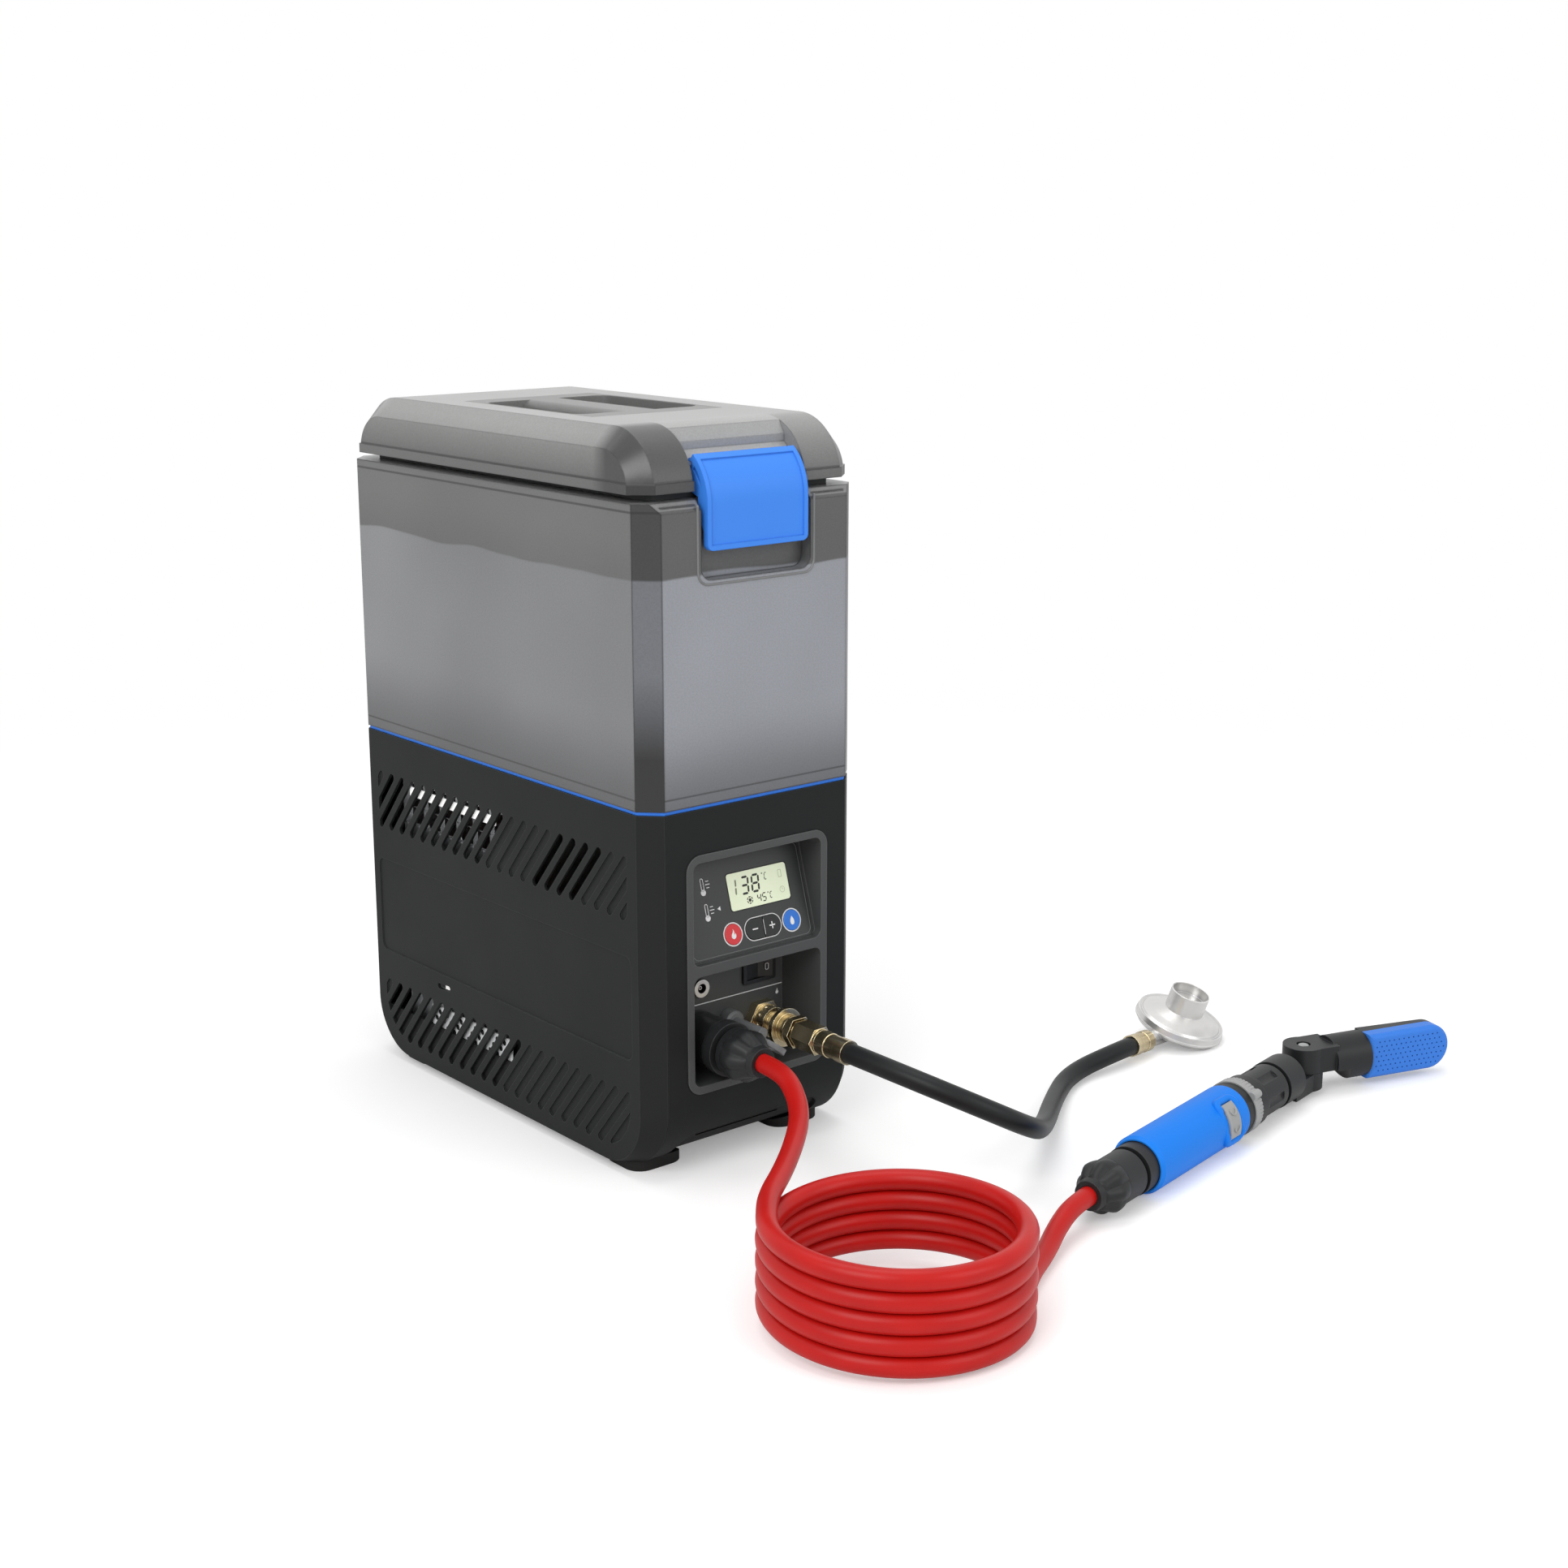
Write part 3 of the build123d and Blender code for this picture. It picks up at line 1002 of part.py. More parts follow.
finish(wand_barrel, "wand_barrel")

with BuildPart() as flow_ring:
    add(turned(WAND, [
        (FLOW_RING_START + RING_GAP, BARREL_NECK + RUN_FIT), (FLOW_RING_START + RING_GAP, GRIP_RADIUS),
        (HEAD_COLLAR_START - RING_GAP, GRIP_RADIUS), (HEAD_COLLAR_START - RING_GAP, BARREL_NECK + RUN_FIT)]))
    with BuildSketch(across(WAND, FLOW_RING_START + RING_LENGTH / 2)):
        with PolarLocations(GRIP_RADIUS, RING_TEETH):
            Circle(TOOTH_RADIUS)
    extrude(amount=RING_LENGTH / 2, mode=Mode.SUBTRACT)
    with BuildSketch(across(WAND, FLOW_RING_START + RING_GAP)):
        with PolarLocations(GRIP_RADIUS - TOOTH_RADIUS, 1, start_angle=LUG_ANGLE):
            Circle(LUG_RADIUS)
    extrude(amount=RING_LENGTH - 2 * RING_GAP)
finish(flow_ring, "flow_ring")

with BuildPart() as head_collar:
    add(turned(WAND, [
        (HEAD_COLLAR_START, BARREL_NECK + COLLAR_GAP), (HEAD_COLLAR_START, GRIP_RADIUS - 1),
        (CLEVIS_START - 1, GRIP_RADIUS - 1), (CLEVIS_START + 1, PULL_RADIUS), (HEAD_COLLAR_END, PULL_RADIUS),
        (HEAD_COLLAR_END, NECK_RADIUS + COLLAR_GAP), (CLEVIS_START - 4, NECK_RADIUS + COLLAR_GAP),
        (CLEVIS_START - 4, BARREL_NECK + COLLAR_GAP)]))
    with BuildSketch(across(WAND, CLEVIS_START + 4)):
        with PolarLocations(PULL_RADIUS + FLUTE_RADIUS - FLUTE_DEPTH, FLUTES, start_angle=180 / FLUTES):
            Circle(FLUTE_RADIUS)
    extrude(amount=FLUTE_LENGTH, mode=Mode.SUBTRACT)
finish(head_collar, "head_collar")

PIVOT = WAND.origin + WAND_ALONG * PIVOT_STATION

with BuildPart() as head_clevis:
    add(turned(WAND, [
        (CLEVIS_START, SPIGOT_RADIUS + COLLAR_GAP), (CLEVIS_START, NECK_RADIUS), (CLEVIS_RING, NECK_RADIUS),
        (CLEVIS_RING, CLEVIS_RADIUS), (CLEVIS_RING_END - 2, CLEVIS_RADIUS),
        (CLEVIS_RING_END, CLEVIS_RADIUS - GRIP_EDGE),
        (CLEVIS_RING_END, 0), (CLEVIS_START + CLEVIS_SOCKET + 1, 0),
        (CLEVIS_START + CLEVIS_SOCKET + 1, SPIGOT_RADIUS + COLLAR_GAP)]))
    with BuildSketch(Plane(origin=(PIVOT.X, PIVOT.Y, TONGUE_LOW), x_dir=WAND_ALONG, z_dir=(0, 0, 1))):
        Circle(KNUCKLE_RADIUS)
        with Locations(((CLEVIS_RING_END - PIVOT_STATION - 6) / 2, 0)):
            Rectangle(PIVOT_STATION - CLEVIS_RING_END + 6, 2 * KNUCKLE_RADIUS - 4)
    extrude(amount=TONGUE_HIGH - TONGUE_LOW)
    with BuildSketch(Plane(origin=(PIVOT.X, PIVOT.Y, TONGUE_LOW + 3), x_dir=WAND_ALONG, z_dir=(0, 0, 1))):
        Circle(PIVOT_RADIUS)
    extrude(amount=TONGUE_HIGH, mode=Mode.SUBTRACT)
finish(head_clevis, "head_clevis")

SCREW_RECESS = 3.0
SCREW_CAP = 4.4
HEAD_ALONG = Vector(cos(radians(HEAD_HEADING)), sin(radians(HEAD_HEADING)), 0)
HEAD_SIDE = Vector(HEAD_ALONG.Y, -HEAD_ALONG.X, 0)
HEAD_AXIS_Z = WAND_START[2] + HEAD_RISE
HEAD = Plane(origin=(PIVOT.X, PIVOT.Y, HEAD_AXIS_Z), x_dir=HEAD_ALONG, z_dir=HEAD_SIDE)
HEAD_NECK = 20.0         # where the round part of the head begins
HEAD_SWEEP = 36.0        # room for the clevis under the head
HEAD_SPLIT = 50.0        # where the flat paddle begins
PADDLE_BACK = 7.0        # thickness behind the head's axis, at the neck and at the tip
PADDLE_TIP_BACK = 2.5
NECK_TAPER = 22.0        # length over which the round neck runs out into the back
TAPER_TIP = 4.0
PADDLE_SPLIT = 2.0       # parting line between back and spray face
PADDLE_FRONT = 13.0
FACE_RADIUS = 4.0

with BuildPart() as pivot_screw:
    with BuildSketch(Plane.XY.offset(TONGUE_LOW + 3)):
        with Locations((PIVOT.X, PIVOT.Y)):
            Circle(PIVOT_RADIUS)
    extrude(amount=KNUCKLE_HIGH - SCREW_RECESS + 0.1 - TONGUE_LOW - 3)
    with BuildSketch(Plane.XY.offset(KNUCKLE_HIGH - SCREW_RECESS + 0.1)):
        with Locations((PIVOT.X, PIVOT.Y)):
            Circle(SCREW_CAP)
    extrude(amount=SCREW_RECESS - 0.5)
    fillet(pivot_screw.edges().group_by(Axis.Z)[-1], 1.5)
finish(pivot_screw, "pivot_screw")


def paddle(start, round_tip):
    """Outline of the flat spray end, seen from its face."""
    with BuildSketch() as outline:
        with Locations(((start + HEAD_LENGTH - round_tip) / 2, 0)):
            Rectangle(HEAD_LENGTH - round_tip - start, 2 * HEAD_RADIUS)
        with Locations((HEAD_LENGTH - round_tip, 0)):
            Circle(round_tip)
    return outline.sketch


with BuildPart() as head_body:
    with BuildSketch(across(HEAD, HEAD_NECK)):
        Circle(HEAD_RADIUS)
    extrude(amount=HEAD_SPLIT - HEAD_NECK)
    with BuildSketch(HEAD.offset(-PADDLE_BACK)):
        add(paddle(HEAD_SPLIT, HEAD_RADIUS))
    extrude(amount=PADDLE_BACK + PADDLE_SPLIT)
    with BuildSketch(Plane(origin=(PIVOT.X, PIVOT.Y, 0), x_dir=HEAD_ALONG, z_dir=(0, 0, 1))):
        with BuildLine():
            Polyline((HEAD_SPLIT, PADDLE_BACK), (HEAD_LENGTH + 1, PADDLE_TIP_BACK),
                     (HEAD_LENGTH + 1, PADDLE_BACK + 1), (HEAD_SPLIT, PADDLE_BACK + 1), close=True)
        make_face()
    extrude(amount=2 * HEAD_AXIS_Z, mode=Mode.SUBTRACT)
    add(turned(HEAD, [(HEAD_SPLIT, 0), (HEAD_SPLIT, HEAD_RADIUS),
                      (HEAD_SPLIT + NECK_TAPER, TAPER_TIP), (HEAD_SPLIT + NECK_TAPER, 0)]))
    with BuildSketch(HEAD.offset(PADDLE_SPLIT)):
        with Locations((HEAD_SPLIT + NECK_TAPER / 2, 0)):
            Rectangle(NECK_TAPER, 2 * HEAD_RADIUS)
    extrude(amount=HEAD_RADIUS, mode=Mode.SUBTRACT)
    with BuildSketch(Plane(origin=(PIVOT.X, PIVOT.Y, 0), x_dir=HEAD_ALONG, z_dir=(0, 0, 1))):
        Circle(HEAD_SWEEP)
    extrude(amount=KNUCKLE_LOW, mode=Mode.SUBTRACT)
    with BuildSketch(Plane(origin=(PIVOT.X, PIVOT.Y, KNUCKLE_LOW), x_dir=HEAD_ALONG, z_dir=(0, 0, 1))):
        Circle(KNUCKLE_RADIUS)
        with Locations((HEAD_NECK / 2 + 1, 0)):
            Rectangle(HEAD_NECK + 2, 2 * KNUCKLE_RADIUS - 2)
    extrude(amount=KNUCKLE_HIGH - KNUCKLE_LOW)
    with BuildSketch(Plane(origin=(PIVOT.X, PIVOT.Y, KNUCKLE_LOW), x_dir=HEAD_ALONG, z_dir=(0, 0, 1))):
        Circle(PIVOT_RADIUS + RUN_FIT)
    extrude(amount=KNUCKLE_HIGH, mode=Mode.SUBTRACT)
    with BuildSketch(Plane(origin=(PIVOT.X, PIVOT.Y, KNUCKLE_HIGH), x_dir=HEAD_ALONG, z_dir=(0, 0, 1))):
        Circle(SCREW_CAP + 2 * POCKET_GAP)
    extrude(amount=-SCREW_RECESS, mode=Mode.SUBTRACT)
finish(head_body, "head_body")

with BuildPart() as spray_face:
    with BuildSketch(HEAD.offset(PADDLE_SPLIT)):
        add(paddle(HEAD_SPLIT, HEAD_RADIUS))
    extrude(amount=PADDLE_FRONT - PADDLE_SPLIT)
    fillet(spray_face.faces().sort_by(Axis(HEAD.origin, HEAD_SIDE))[-1].edges(), FACE_RADIUS)
finish(spray_face, "spray_face")

# ---------------------------------------------------------------- red water hose
COIL_TOP = WATER_HOSE / 2 + COIL_TURNS * WATER_HOSE      # height of the hose where the coil begins
coil_turn = radians(COIL_END - 360 * COIL_TURNS)
lead_start = WATER_FRAME.origin + WATER_FRAME.x_dir * (WATER_NUT_END - HOSE_RECESS)
coil_start = (COIL_X + COIL_RADIUS * cos(coil_turn), COIL_Y + COIL_RADIUS * sin(coil_turn), COIL_TOP)
LEAD_ROUTE = [
    lead_start, (-28, -238, 86), (-32.9, -257.2, 79), (-46.6, -278.9, 72), (-70.9, -301.4, 67),
    (-101.4, -326.9, 65.5), (-130.5, -348.8, 65.7), coil_start]

with BuildPart() as hose_lead:
    add(tube(LEAD_ROUTE, WATER_HOSE))
finish(hose_lead, "hose_lead")

with BuildPart() as hose_coil:
    with BuildSketch(Plane.XY):
        with Locations((COIL_X, COIL_Y)):
            Circle(COIL_RADIUS + WATER_HOSE / 2)
            Circle(COIL_RADIUS - WATER_HOSE / 2, mode=Mode.SUBTRACT)
    extrude(amount=COIL_TOP + WATER_HOSE / 2)
finish(hose_coil, "hose_coil")

tail_start = (COIL_X + COIL_RADIUS * cos(radians(COIL_END)), COIL_Y + COIL_RADIUS * sin(radians(COIL_END)),
              WATER_HOSE / 2)
TAIL_ROUTE = [
    tail_start, (-18.3, -451.3, 6.5), (2, -436, 6.6), (31, -421.5, 7.5), (52, -410.5, 13.5),
    WAND.origin - WAND_ALONG * 20, WAND.origin]

with BuildPart() as hose_tail:
    add(tube(TAIL_ROUTE, WATER_HOSE))
finish(hose_tail, "hose_tail")

# ---------------------------------------------------------------- drain plug
DRAIN_FRAME = bay_frame(0, DRAIN_Z)
DRAIN_TAIL = 10.0
DRAIN_KNOB = (8.0, 9.0)      # radius and length of its knob
DRAIN_EDGE = 1.5
DRAIN_SHAFT = 38.0
DRAIN_RING = (11.0, 8.0)     # outer and inner radius of its pull ring
DRAIN_RING_DROP = 6.0
DRAIN_RING_WALL = 4.0

with BuildPart() as drain_plug:
    add(turned(DRAIN_FRAME, [
        (-DRAIN_TAIL, 0), (-DRAIN_TAIL, DRAIN_RADIUS), (0, DRAIN_RADIUS), (0, DRAIN_KNOB[0]),
        (DRAIN_KNOB[1] - DRAIN_EDGE, DRAIN_KNOB[0]), (DRAIN_KNOB[1], DRAIN_KNOB[0] - DRAIN_EDGE),
        (DRAIN_KNOB[1], DRAIN_RADIUS), (DRAIN_SHAFT, DRAIN_RADIUS), (DRAIN_SHAFT, 0)]))
    ring_reach = DRAIN_FRAME.x_dir * (DRAIN_SHAFT + DRAIN_RING[1])
    ring_centre = DRAIN_FRAME.origin + ring_reach - Vector(0, 0, DRAIN_RING_DROP)
    with BuildSketch(Plane(origin=ring_centre, x_dir=(0, -1, 0), z_dir=(0.6, 0, 0.8))):
        Circle(DRAIN_RING[0])
        Circle(DRAIN_RING[1], mode=Mode.SUBTRACT)
    extrude(amount=DRAIN_RING_WALL / 2, both=True)
finish(drain_plug, "drain_plug")

# ---------------------------------------------------------------- tank
HINGE_Y = BACK - 4
HINGE_Z = TANK_TOP + LID_GAP / 2
HINGE_RADIUS = 6.0
HINGE_PIN = 2.0
LID_KNUCKLE = (25.0, 44.6)
TANK_KNUCKLE = (45.0, 60.0)
KNUCKLE_CLEARANCE = 0.4
TANK_BEVEL = (5.5, 6.4)      # the lip at the control side falls off: run and drop
TANK_LIP = 3.0
MOUTH_BORDER = 17.5
MOUTH = (WIDTH - 2 * MOUTH_BORDER, DEPTH - 2 * MOUTH_BORDER)     # opening of the tank's mouth
MOUTH_RADIUS = 5.0
LATCH_BAY_HALF = 45.0
LATCH_BAY_LOW = TANK_TOP - 51
LATCH_BAY_DEPTH = 9.0
LATCH_BAY_RADIUS = 8.0
OUTLET_END = DECK_BOTTOM - 10.5
OUTLET_BORE = 5.0


def knuckle(low, high, radius):
    """Round hinge barrel on both sides of the middle."""
    with BuildPart() as barrels:
        for side in (-1, 1):
            with BuildSketch(Plane.YZ.offset(side * low)):
                with Locations((HINGE_Y, HINGE_Z)):
                    Circle(radius)
            extrude(amount=side * (high - low))
    return barrels.part


def pin_bore(radius):
    """Bore along the whole hinge."""
    with BuildPart() as bore:
        with BuildSketch(Plane.YZ.offset(-CORE_HALF)):
            with Locations((HINGE_Y, HINGE_Z)):
                Circle(radius)
        extrude(amount=2 * CORE_HALF)
    return bore.part


with BuildPart() as latch_bay:
    with BuildSketch(Plane.XZ.offset(-FRONT + 1)):
        with Locations((0, (LATCH_BAY_LOW + TANK_TOP + LATCH_BAY_RADIUS) / 2)):
            RectangleRounded(2 * LATCH_BAY_HALF, TANK_TOP + LATCH_BAY_RADIUS - LATCH_BAY_LOW, LATCH_BAY_RADIUS)
        with Locations((0, TANK_TOP)):
            Rectangle(2 * LATCH_BAY_HALF, 4 * LATCH_BAY_RADIUS)
    extrude(amount=-LATCH_BAY_DEPTH - 1)

with BuildPart() as tank_hollow:
    with BuildSketch(Plane.XY.offset(TANK_FLOOR + TANK_WALL)):
        add(octagon(TANK_WALL))
    extrude(amount=TANK_TOP - TANK_LIP - TANK_FLOOR - TANK_WALL)
    with BuildSketch(Plane.XY.offset(TANK_TOP - 2 * TANK_LIP)):
        RectangleRounded(*MOUTH, MOUTH_RADIUS)
    extrude(amount=3 * TANK_LIP)
    with BuildSketch(Plane.XZ.offset(-FRONT)):
        with Locations((0, (LATCH_BAY_LOW + TANK_TOP) / 2)):
            Rectangle(2 * (LATCH_BAY_HALF + TANK_WALL), TANK_TOP - LATCH_BAY_LOW + 2 * TANK_WALL)
    extrude(amount=-LATCH_BAY_DEPTH - TANK_WALL, mode=Mode.SUBTRACT)

with BuildPart() as tank_shell:
    with BuildSketch(Plane.XY.offset(TANK_FLOOR)):
        add(octagon(0))
    extrude(amount=TANK_TOP - TANK_FLOOR)
    front_lip = tank_shell.edges().group_by(Axis.Z)[-1].sort_by(Axis.Y)[0]
    chamfer(front_lip, TANK_BEVEL[1], TANK_BEVEL[0], reference=tank_shell.faces().sort_by(Axis.Y)[0])
    add(tank_hollow.part, mode=Mode.SUBTRACT)
    add(latch_bay.part, mode=Mode.SUBTRACT)
    with BuildSketch(Plane.XY.offset(OUTLET_END)):
        with Locations((OUTLET_X, OUTLET_Y)):
            Circle(OUTLET_RADIUS)
    extrude(amount=TANK_FLOOR + TANK_WALL - OUTLET_END)
    with BuildSketch(Plane.XY.offset(OUTLET_END)):
        with Locations((OUTLET_X, OUTLET_Y)):
            Circle(OUTLET_BORE)
    extrude(amount=TANK_FLOOR + 2 * TANK_WALL - OUTLET_END, mode=Mode.SUBTRACT)
    add(knuckle(LID_KNUCKLE[0] - KNUCKLE_CLEARANCE, TANK_KNUCKLE[0], HINGE_RADIUS + KNUCKLE_CLEARANCE),
        mode=Mode.SUBTRACT)
    add(knuckle(*TANK_KNUCKLE, HINGE_RADIUS))
    add(pin_bore(HINGE_PIN), mode=Mode.SUBTRACT)
finish(tank_shell, "tank_shell")

with BuildPart() as hinge_pin:
    with BuildSketch(Plane.YZ.offset(-TANK_KNUCKLE[1])):
        with Locations((HINGE_Y, HINGE_Z)):
            Circle(HINGE_PIN)
    extrude(amount=2 * TANK_KNUCKLE[1])
finish(hinge_pin, "hinge_pin")

# ---------------------------------------------------------------- lid
SHOULDER_Y = -(LID_HALF_DEPTH - LID_SHOULDER + RIM_STEP)    # centre of the front shoulder
SHOULDER_Z = LID_TOP - LID_SHOULDER
LID_BAY_HALF = LATCH_BAY_HALF + 1
LID_BAY_DEPTH = 10.0
LID_BAY_RADIUS = LID_SHOULDER - RIM_STEP - LID_BAY_DEPTH     # bay floor, round about the shoulder's centre
LID_BAY_BACK = FRONT + 28
LID_BAY_SLOPE = 8.0
LID_RIM_WALL = 2.5
SEAL_OVERLAP = 2.0
SEAL_WIDTH = 7.0
SEAL_GAP = 0.1
LID_MOUTH = (MOUTH[0] + 2 * SEAL_OVERLAP - 2 * SEAL_WIDTH, MOUTH[1] + 2 * SEAL_OVERLAP - 2 * SEAL_WIDTH)
TRAY_HALF_X = 53.5
TRAY_HALF_Y = 76.5
TRAY_FIT = 0.3
LID_CEILING = LID_TOP - RIM_STEP - LID_WALL
LID_FACE = LID_TOP - RIM_STEP
LATCH_PIN = 2.0
LATCH_BOSS = 4.0
BOSS_GAP = 0.36
PIN_RISE = 28.74         # latch pin, degrees above the shoulder's centre
PIN_REACH = LID_BAY_RADIUS + LATCH_BOSS + BOSS_GAP
PIN_Y = SHOULDER_Y - PIN_REACH * cos(radians(PIN_RISE))
PIN_Z = SHOULDER_Z + PIN_REACH * sin(radians(PIN_RISE))


def lid_bay(half, radius, back, slope):
    """Space in front of the lid's shoulder, outside a radius about the shoulder's centre."""
    with BuildPart() as bay:
        with BuildSketch(Plane.YZ.offset(-half)):
            with BuildLine():
                Polyline((back, SHOULDER_Z - LID_SHOULDER), (back, LID_TOP - slope - 4),
                         (back + slope, LID_TOP + 2),
                         (FRONT - 1, LID_TOP + 2), (FRONT - 1, SHOULDER_Z - LID_SHOULDER), close=True)
            make_face()
            with Locations((SHOULDER_Y, SHOULDER_Z)):
                Circle(radius, mode=Mode.SUBTRACT)
            with Locations((SHOULDER_Y, SHOULDER_Z - LID_SHOULDER)):
                Rectangle(2 * radius, 2 * LID_SHOULDER, mode=Mode.SUBTRACT)
        extrude(amount=2 * half)
    return bay.part


with BuildPart() as lid_hollow:
    add(lid_block(RIM_STEP + LID_WALL, LID_RIM + LID_RIM_WALL))
    add(lid_bay(LID_BAY_HALF + LID_WALL, LID_BAY_RADIUS - LID_WALL, LID_BAY_BACK + LID_WALL, LID_BAY_SLOPE),
        mode=Mode.SUBTRACT)

with BuildPart() as lid_shell:
    add(lid_block(RIM_STEP, LID_RIM))
    add(faceted_body(side_profile(LID_HALF_DEPTH, LID_RIM, LID_RIM + RIM_HEIGHT),
                     side_profile(LID_FLANK_HALF_DEPTH, LID_RIM, LID_RIM + RIM_HEIGHT), CORE_HALF, WIDTH / 2))
    add(lid_hollow.part, mode=Mode.SUBTRACT)
    with BuildSketch(Plane.XY.offset(LID_RIM)):
        RectangleRounded(*LID_MOUTH, MOUTH_RADIUS)
    extrude(amount=2 * LID_RIM_WALL, mode=Mode.SUBTRACT)
    add(lid_bay(LID_BAY_HALF, LID_BAY_RADIUS, LID_BAY_BACK, LID_BAY_SLOPE), mode=Mode.SUBTRACT)
    with BuildSketch(Plane.XY.offset(LID_CEILING - LID_WALL)):
        Rectangle(2 * (TRAY_HALF_X + TRAY_FIT), 2 * (TRAY_HALF_Y + TRAY_FIT))
    extrude(amount=3 * LID_WALL, mode=Mode.SUBTRACT)
    add(knuckle(LID_KNUCKLE[1], TANK_KNUCKLE[1] + KNUCKLE_CLEARANCE, HINGE_RADIUS + KNUCKLE_CLEARANCE),
        mode=Mode.SUBTRACT)
    add(knuckle(*LID_KNUCKLE, HINGE_RADIUS))
    add(pin_bore(HINGE_PIN + RUN_FIT), mode=Mode.SUBTRACT)
    with BuildSketch(Plane.YZ.offset(-LID_BAY_HALF - LID_WALL)):
        with Locations((PIN_Y, PIN_Z)):
            Circle(LATCH_PIN)
    extrude(amount=2 * (LID_BAY_HALF + LID_WALL), mode=Mode.SUBTRACT)
finish(lid_shell, "lid_shell")

with BuildPart() as lid_seal:
    with BuildSketch(Plane.XY.offset(TANK_TOP + SEAL_GAP)):
        RectangleRounded(MOUTH[0] + 2 * SEAL_OVERLAP, MOUTH[1] + 2 * SEAL_OVERLAP, MOUTH_RADIUS)
        RectangleRounded(*LID_MOUTH, MOUTH_RADIUS / 2, mode=Mode.SUBTRACT)
    extrude(amount=LID_GAP - SEAL_GAP)
finish(lid_seal, "lid_seal")

WELL_HALF_X = 51.5       # hand well under the carrying handle
WELL_HALF_Y = 57.0
WELL_DEPTH = 24.0
WELL_WALL = 2.0
WELL_RADIUS = 10.0
BAR_HALF = 17.0
BAR_THICKNESS = 14.0
TRAY_FLANGE = 3.5

with BuildPart() as handle_tray:
    with BuildSketch(Plane.XY.offset(LID_CEILING)):
        Rectangle(2 * TRAY_HALF_X, 2 * TRAY_HALF_Y)
    extrude(amount=LID_WALL)
    with BuildSketch(Plane.XY.offset(LID_CEILING)):
        Rectangle(2 * (TRAY_HALF_X + TRAY_FLANGE), 2 * (TRAY_HALF_Y + TRAY_FLANGE))
    extrude(amount=-LID_WALL)
    with BuildSketch(Plane.XY.offset(LID_FACE - WELL_DEPTH - WELL_WALL)):
        RectangleRounded(2 * TRAY_HALF_X, 2 * (WELL_HALF_Y + WELL_WALL), WELL_RADIUS + WELL_WALL)
    extrude(amount=WELL_DEPTH)
    with BuildSketch(Plane.XY.offset(LID_FACE - WELL_DEPTH)):
        RectangleRounded(2 * WELL_HALF_X, 2 * WELL_HALF_Y, WELL_RADIUS)
    extrude(amount=WELL_DEPTH, mode=Mode.SUBTRACT)
    with BuildSketch(Plane.XZ.offset(-WELL_HALF_Y)):
        with Locations((0, LID_FACE - BAR_THICKNESS / 2)):
            RectangleRounded(2 * BAR_HALF, BAR_THICKNESS, BAR_THICKNESS / 2 - 1)
    extrude(amount=2 * WELL_HALF_Y)
finish(handle_tray, "handle_tray")

# ---------------------------------------------------------------- latch
LATCH_HALF = LATCH_BAY_HALF - 3.5
LATCH_FRONT = FRONT - 2
LATCH_LOW = TANK_TOP - 32.5
LATCH_BEND_Z = TANK_TOP - 3
LATCH_BEND = 38.7
LATCH_ARC = 52.0         # degrees of bend over the shoulder
LATCH_WALL = 4.5
LATCH_BORDER = 3.5
LATCH_PANEL_DEPTH = 1.0
ARM_WALL = 3.5
ARM_TIP = (PIN_Y - 1.5, TANK_TOP + 3.5)
NOSE_RISE = 3.5
NOSE_HEIGHT = 6.0
NOSE_REACH = 4.5
BEND_Y = LATCH_FRONT + LATCH_BEND


def latch_strip(half, outer, wall, low, arc):
    """Curved strip: upright at the control side, then bent over the lid's shoulder."""
    with BuildPart() as strip:
        with BuildSketch(Plane.YZ.offset(-half)):
            with BuildLine():
                front_arc = CenterArc((BEND_Y, LATCH_BEND_Z), outer, 180, -arc)
                back_arc = CenterArc((BEND_Y, LATCH_BEND_Z), outer - wall, 180, -arc)
                Polyline(front_arc @ 0, (BEND_Y - outer, low), (BEND_Y - outer + wall, low), back_arc @ 0)
                Line(front_arc @ 1, back_arc @ 1)
            make_face()
        extrude(amount=2 * half)
    return strip.part


with BuildPart() as latch:
    add(latch_strip(LATCH_HALF, LATCH_BEND, LATCH_WALL, LATCH_LOW, LATCH_ARC))
    fillet(latch.edges().filter_by(Axis.Y).group_by(Axis.Z)[0], LATCH_WALL)
    add(latch_strip(LATCH_HALF - LATCH_BORDER, LATCH_BEND, LATCH_PANEL_DEPTH, LATCH_LOW + LATCH_BORDER,
                    LATCH_ARC - 2 * LATCH_BORDER), mode=Mode.SUBTRACT)
    for side in (-1, 1):
        with BuildSketch(Plane.YZ.offset(side * LATCH_HALF)):
            with BuildLine():
                Polyline((LATCH_FRONT + LATCH_WALL / 2, LATCH_LOW + 2 * LATCH_WALL),
                         (FRONT + LATCH_BAY_DEPTH - 1, ARM_TIP[1] - 4 * ARM_WALL),
                         (FRONT + LATCH_BAY_DEPTH - 1, TANK_TOP + 1), ARM_TIP, (PIN_Y, PIN_Z),
                         (LATCH_FRONT + LATCH_WALL, LATCH_BEND_Z + 2 * LATCH_WALL), close=True)
            make_face()
        extrude(amount=-side * ARM_WALL)
    with BuildSketch(Plane.YZ.offset(-LATCH_HALF)):
        with Locations((PIN_Y, PIN_Z)):
            Circle(LATCH_BOSS)
    extrude(amount=2 * LATCH_HALF)
    with BuildSketch(Plane.YZ.offset(-LATCH_HALF)):
        with Locations((PIN_Y, PIN_Z)):
            Circle(LATCH_PIN + RUN_FIT)
    extrude(amount=2 * LATCH_HALF, mode=Mode.SUBTRACT)
    with BuildSketch(Plane.XZ.offset(-LATCH_FRONT - LATCH_WALL)):
        with Locations((0, LATCH_LOW + NOSE_RISE + NOSE_HEIGHT / 2)):
            Rectangle(2 * BAR_HALF, NOSE_HEIGHT)
    extrude(amount=-NOSE_REACH)
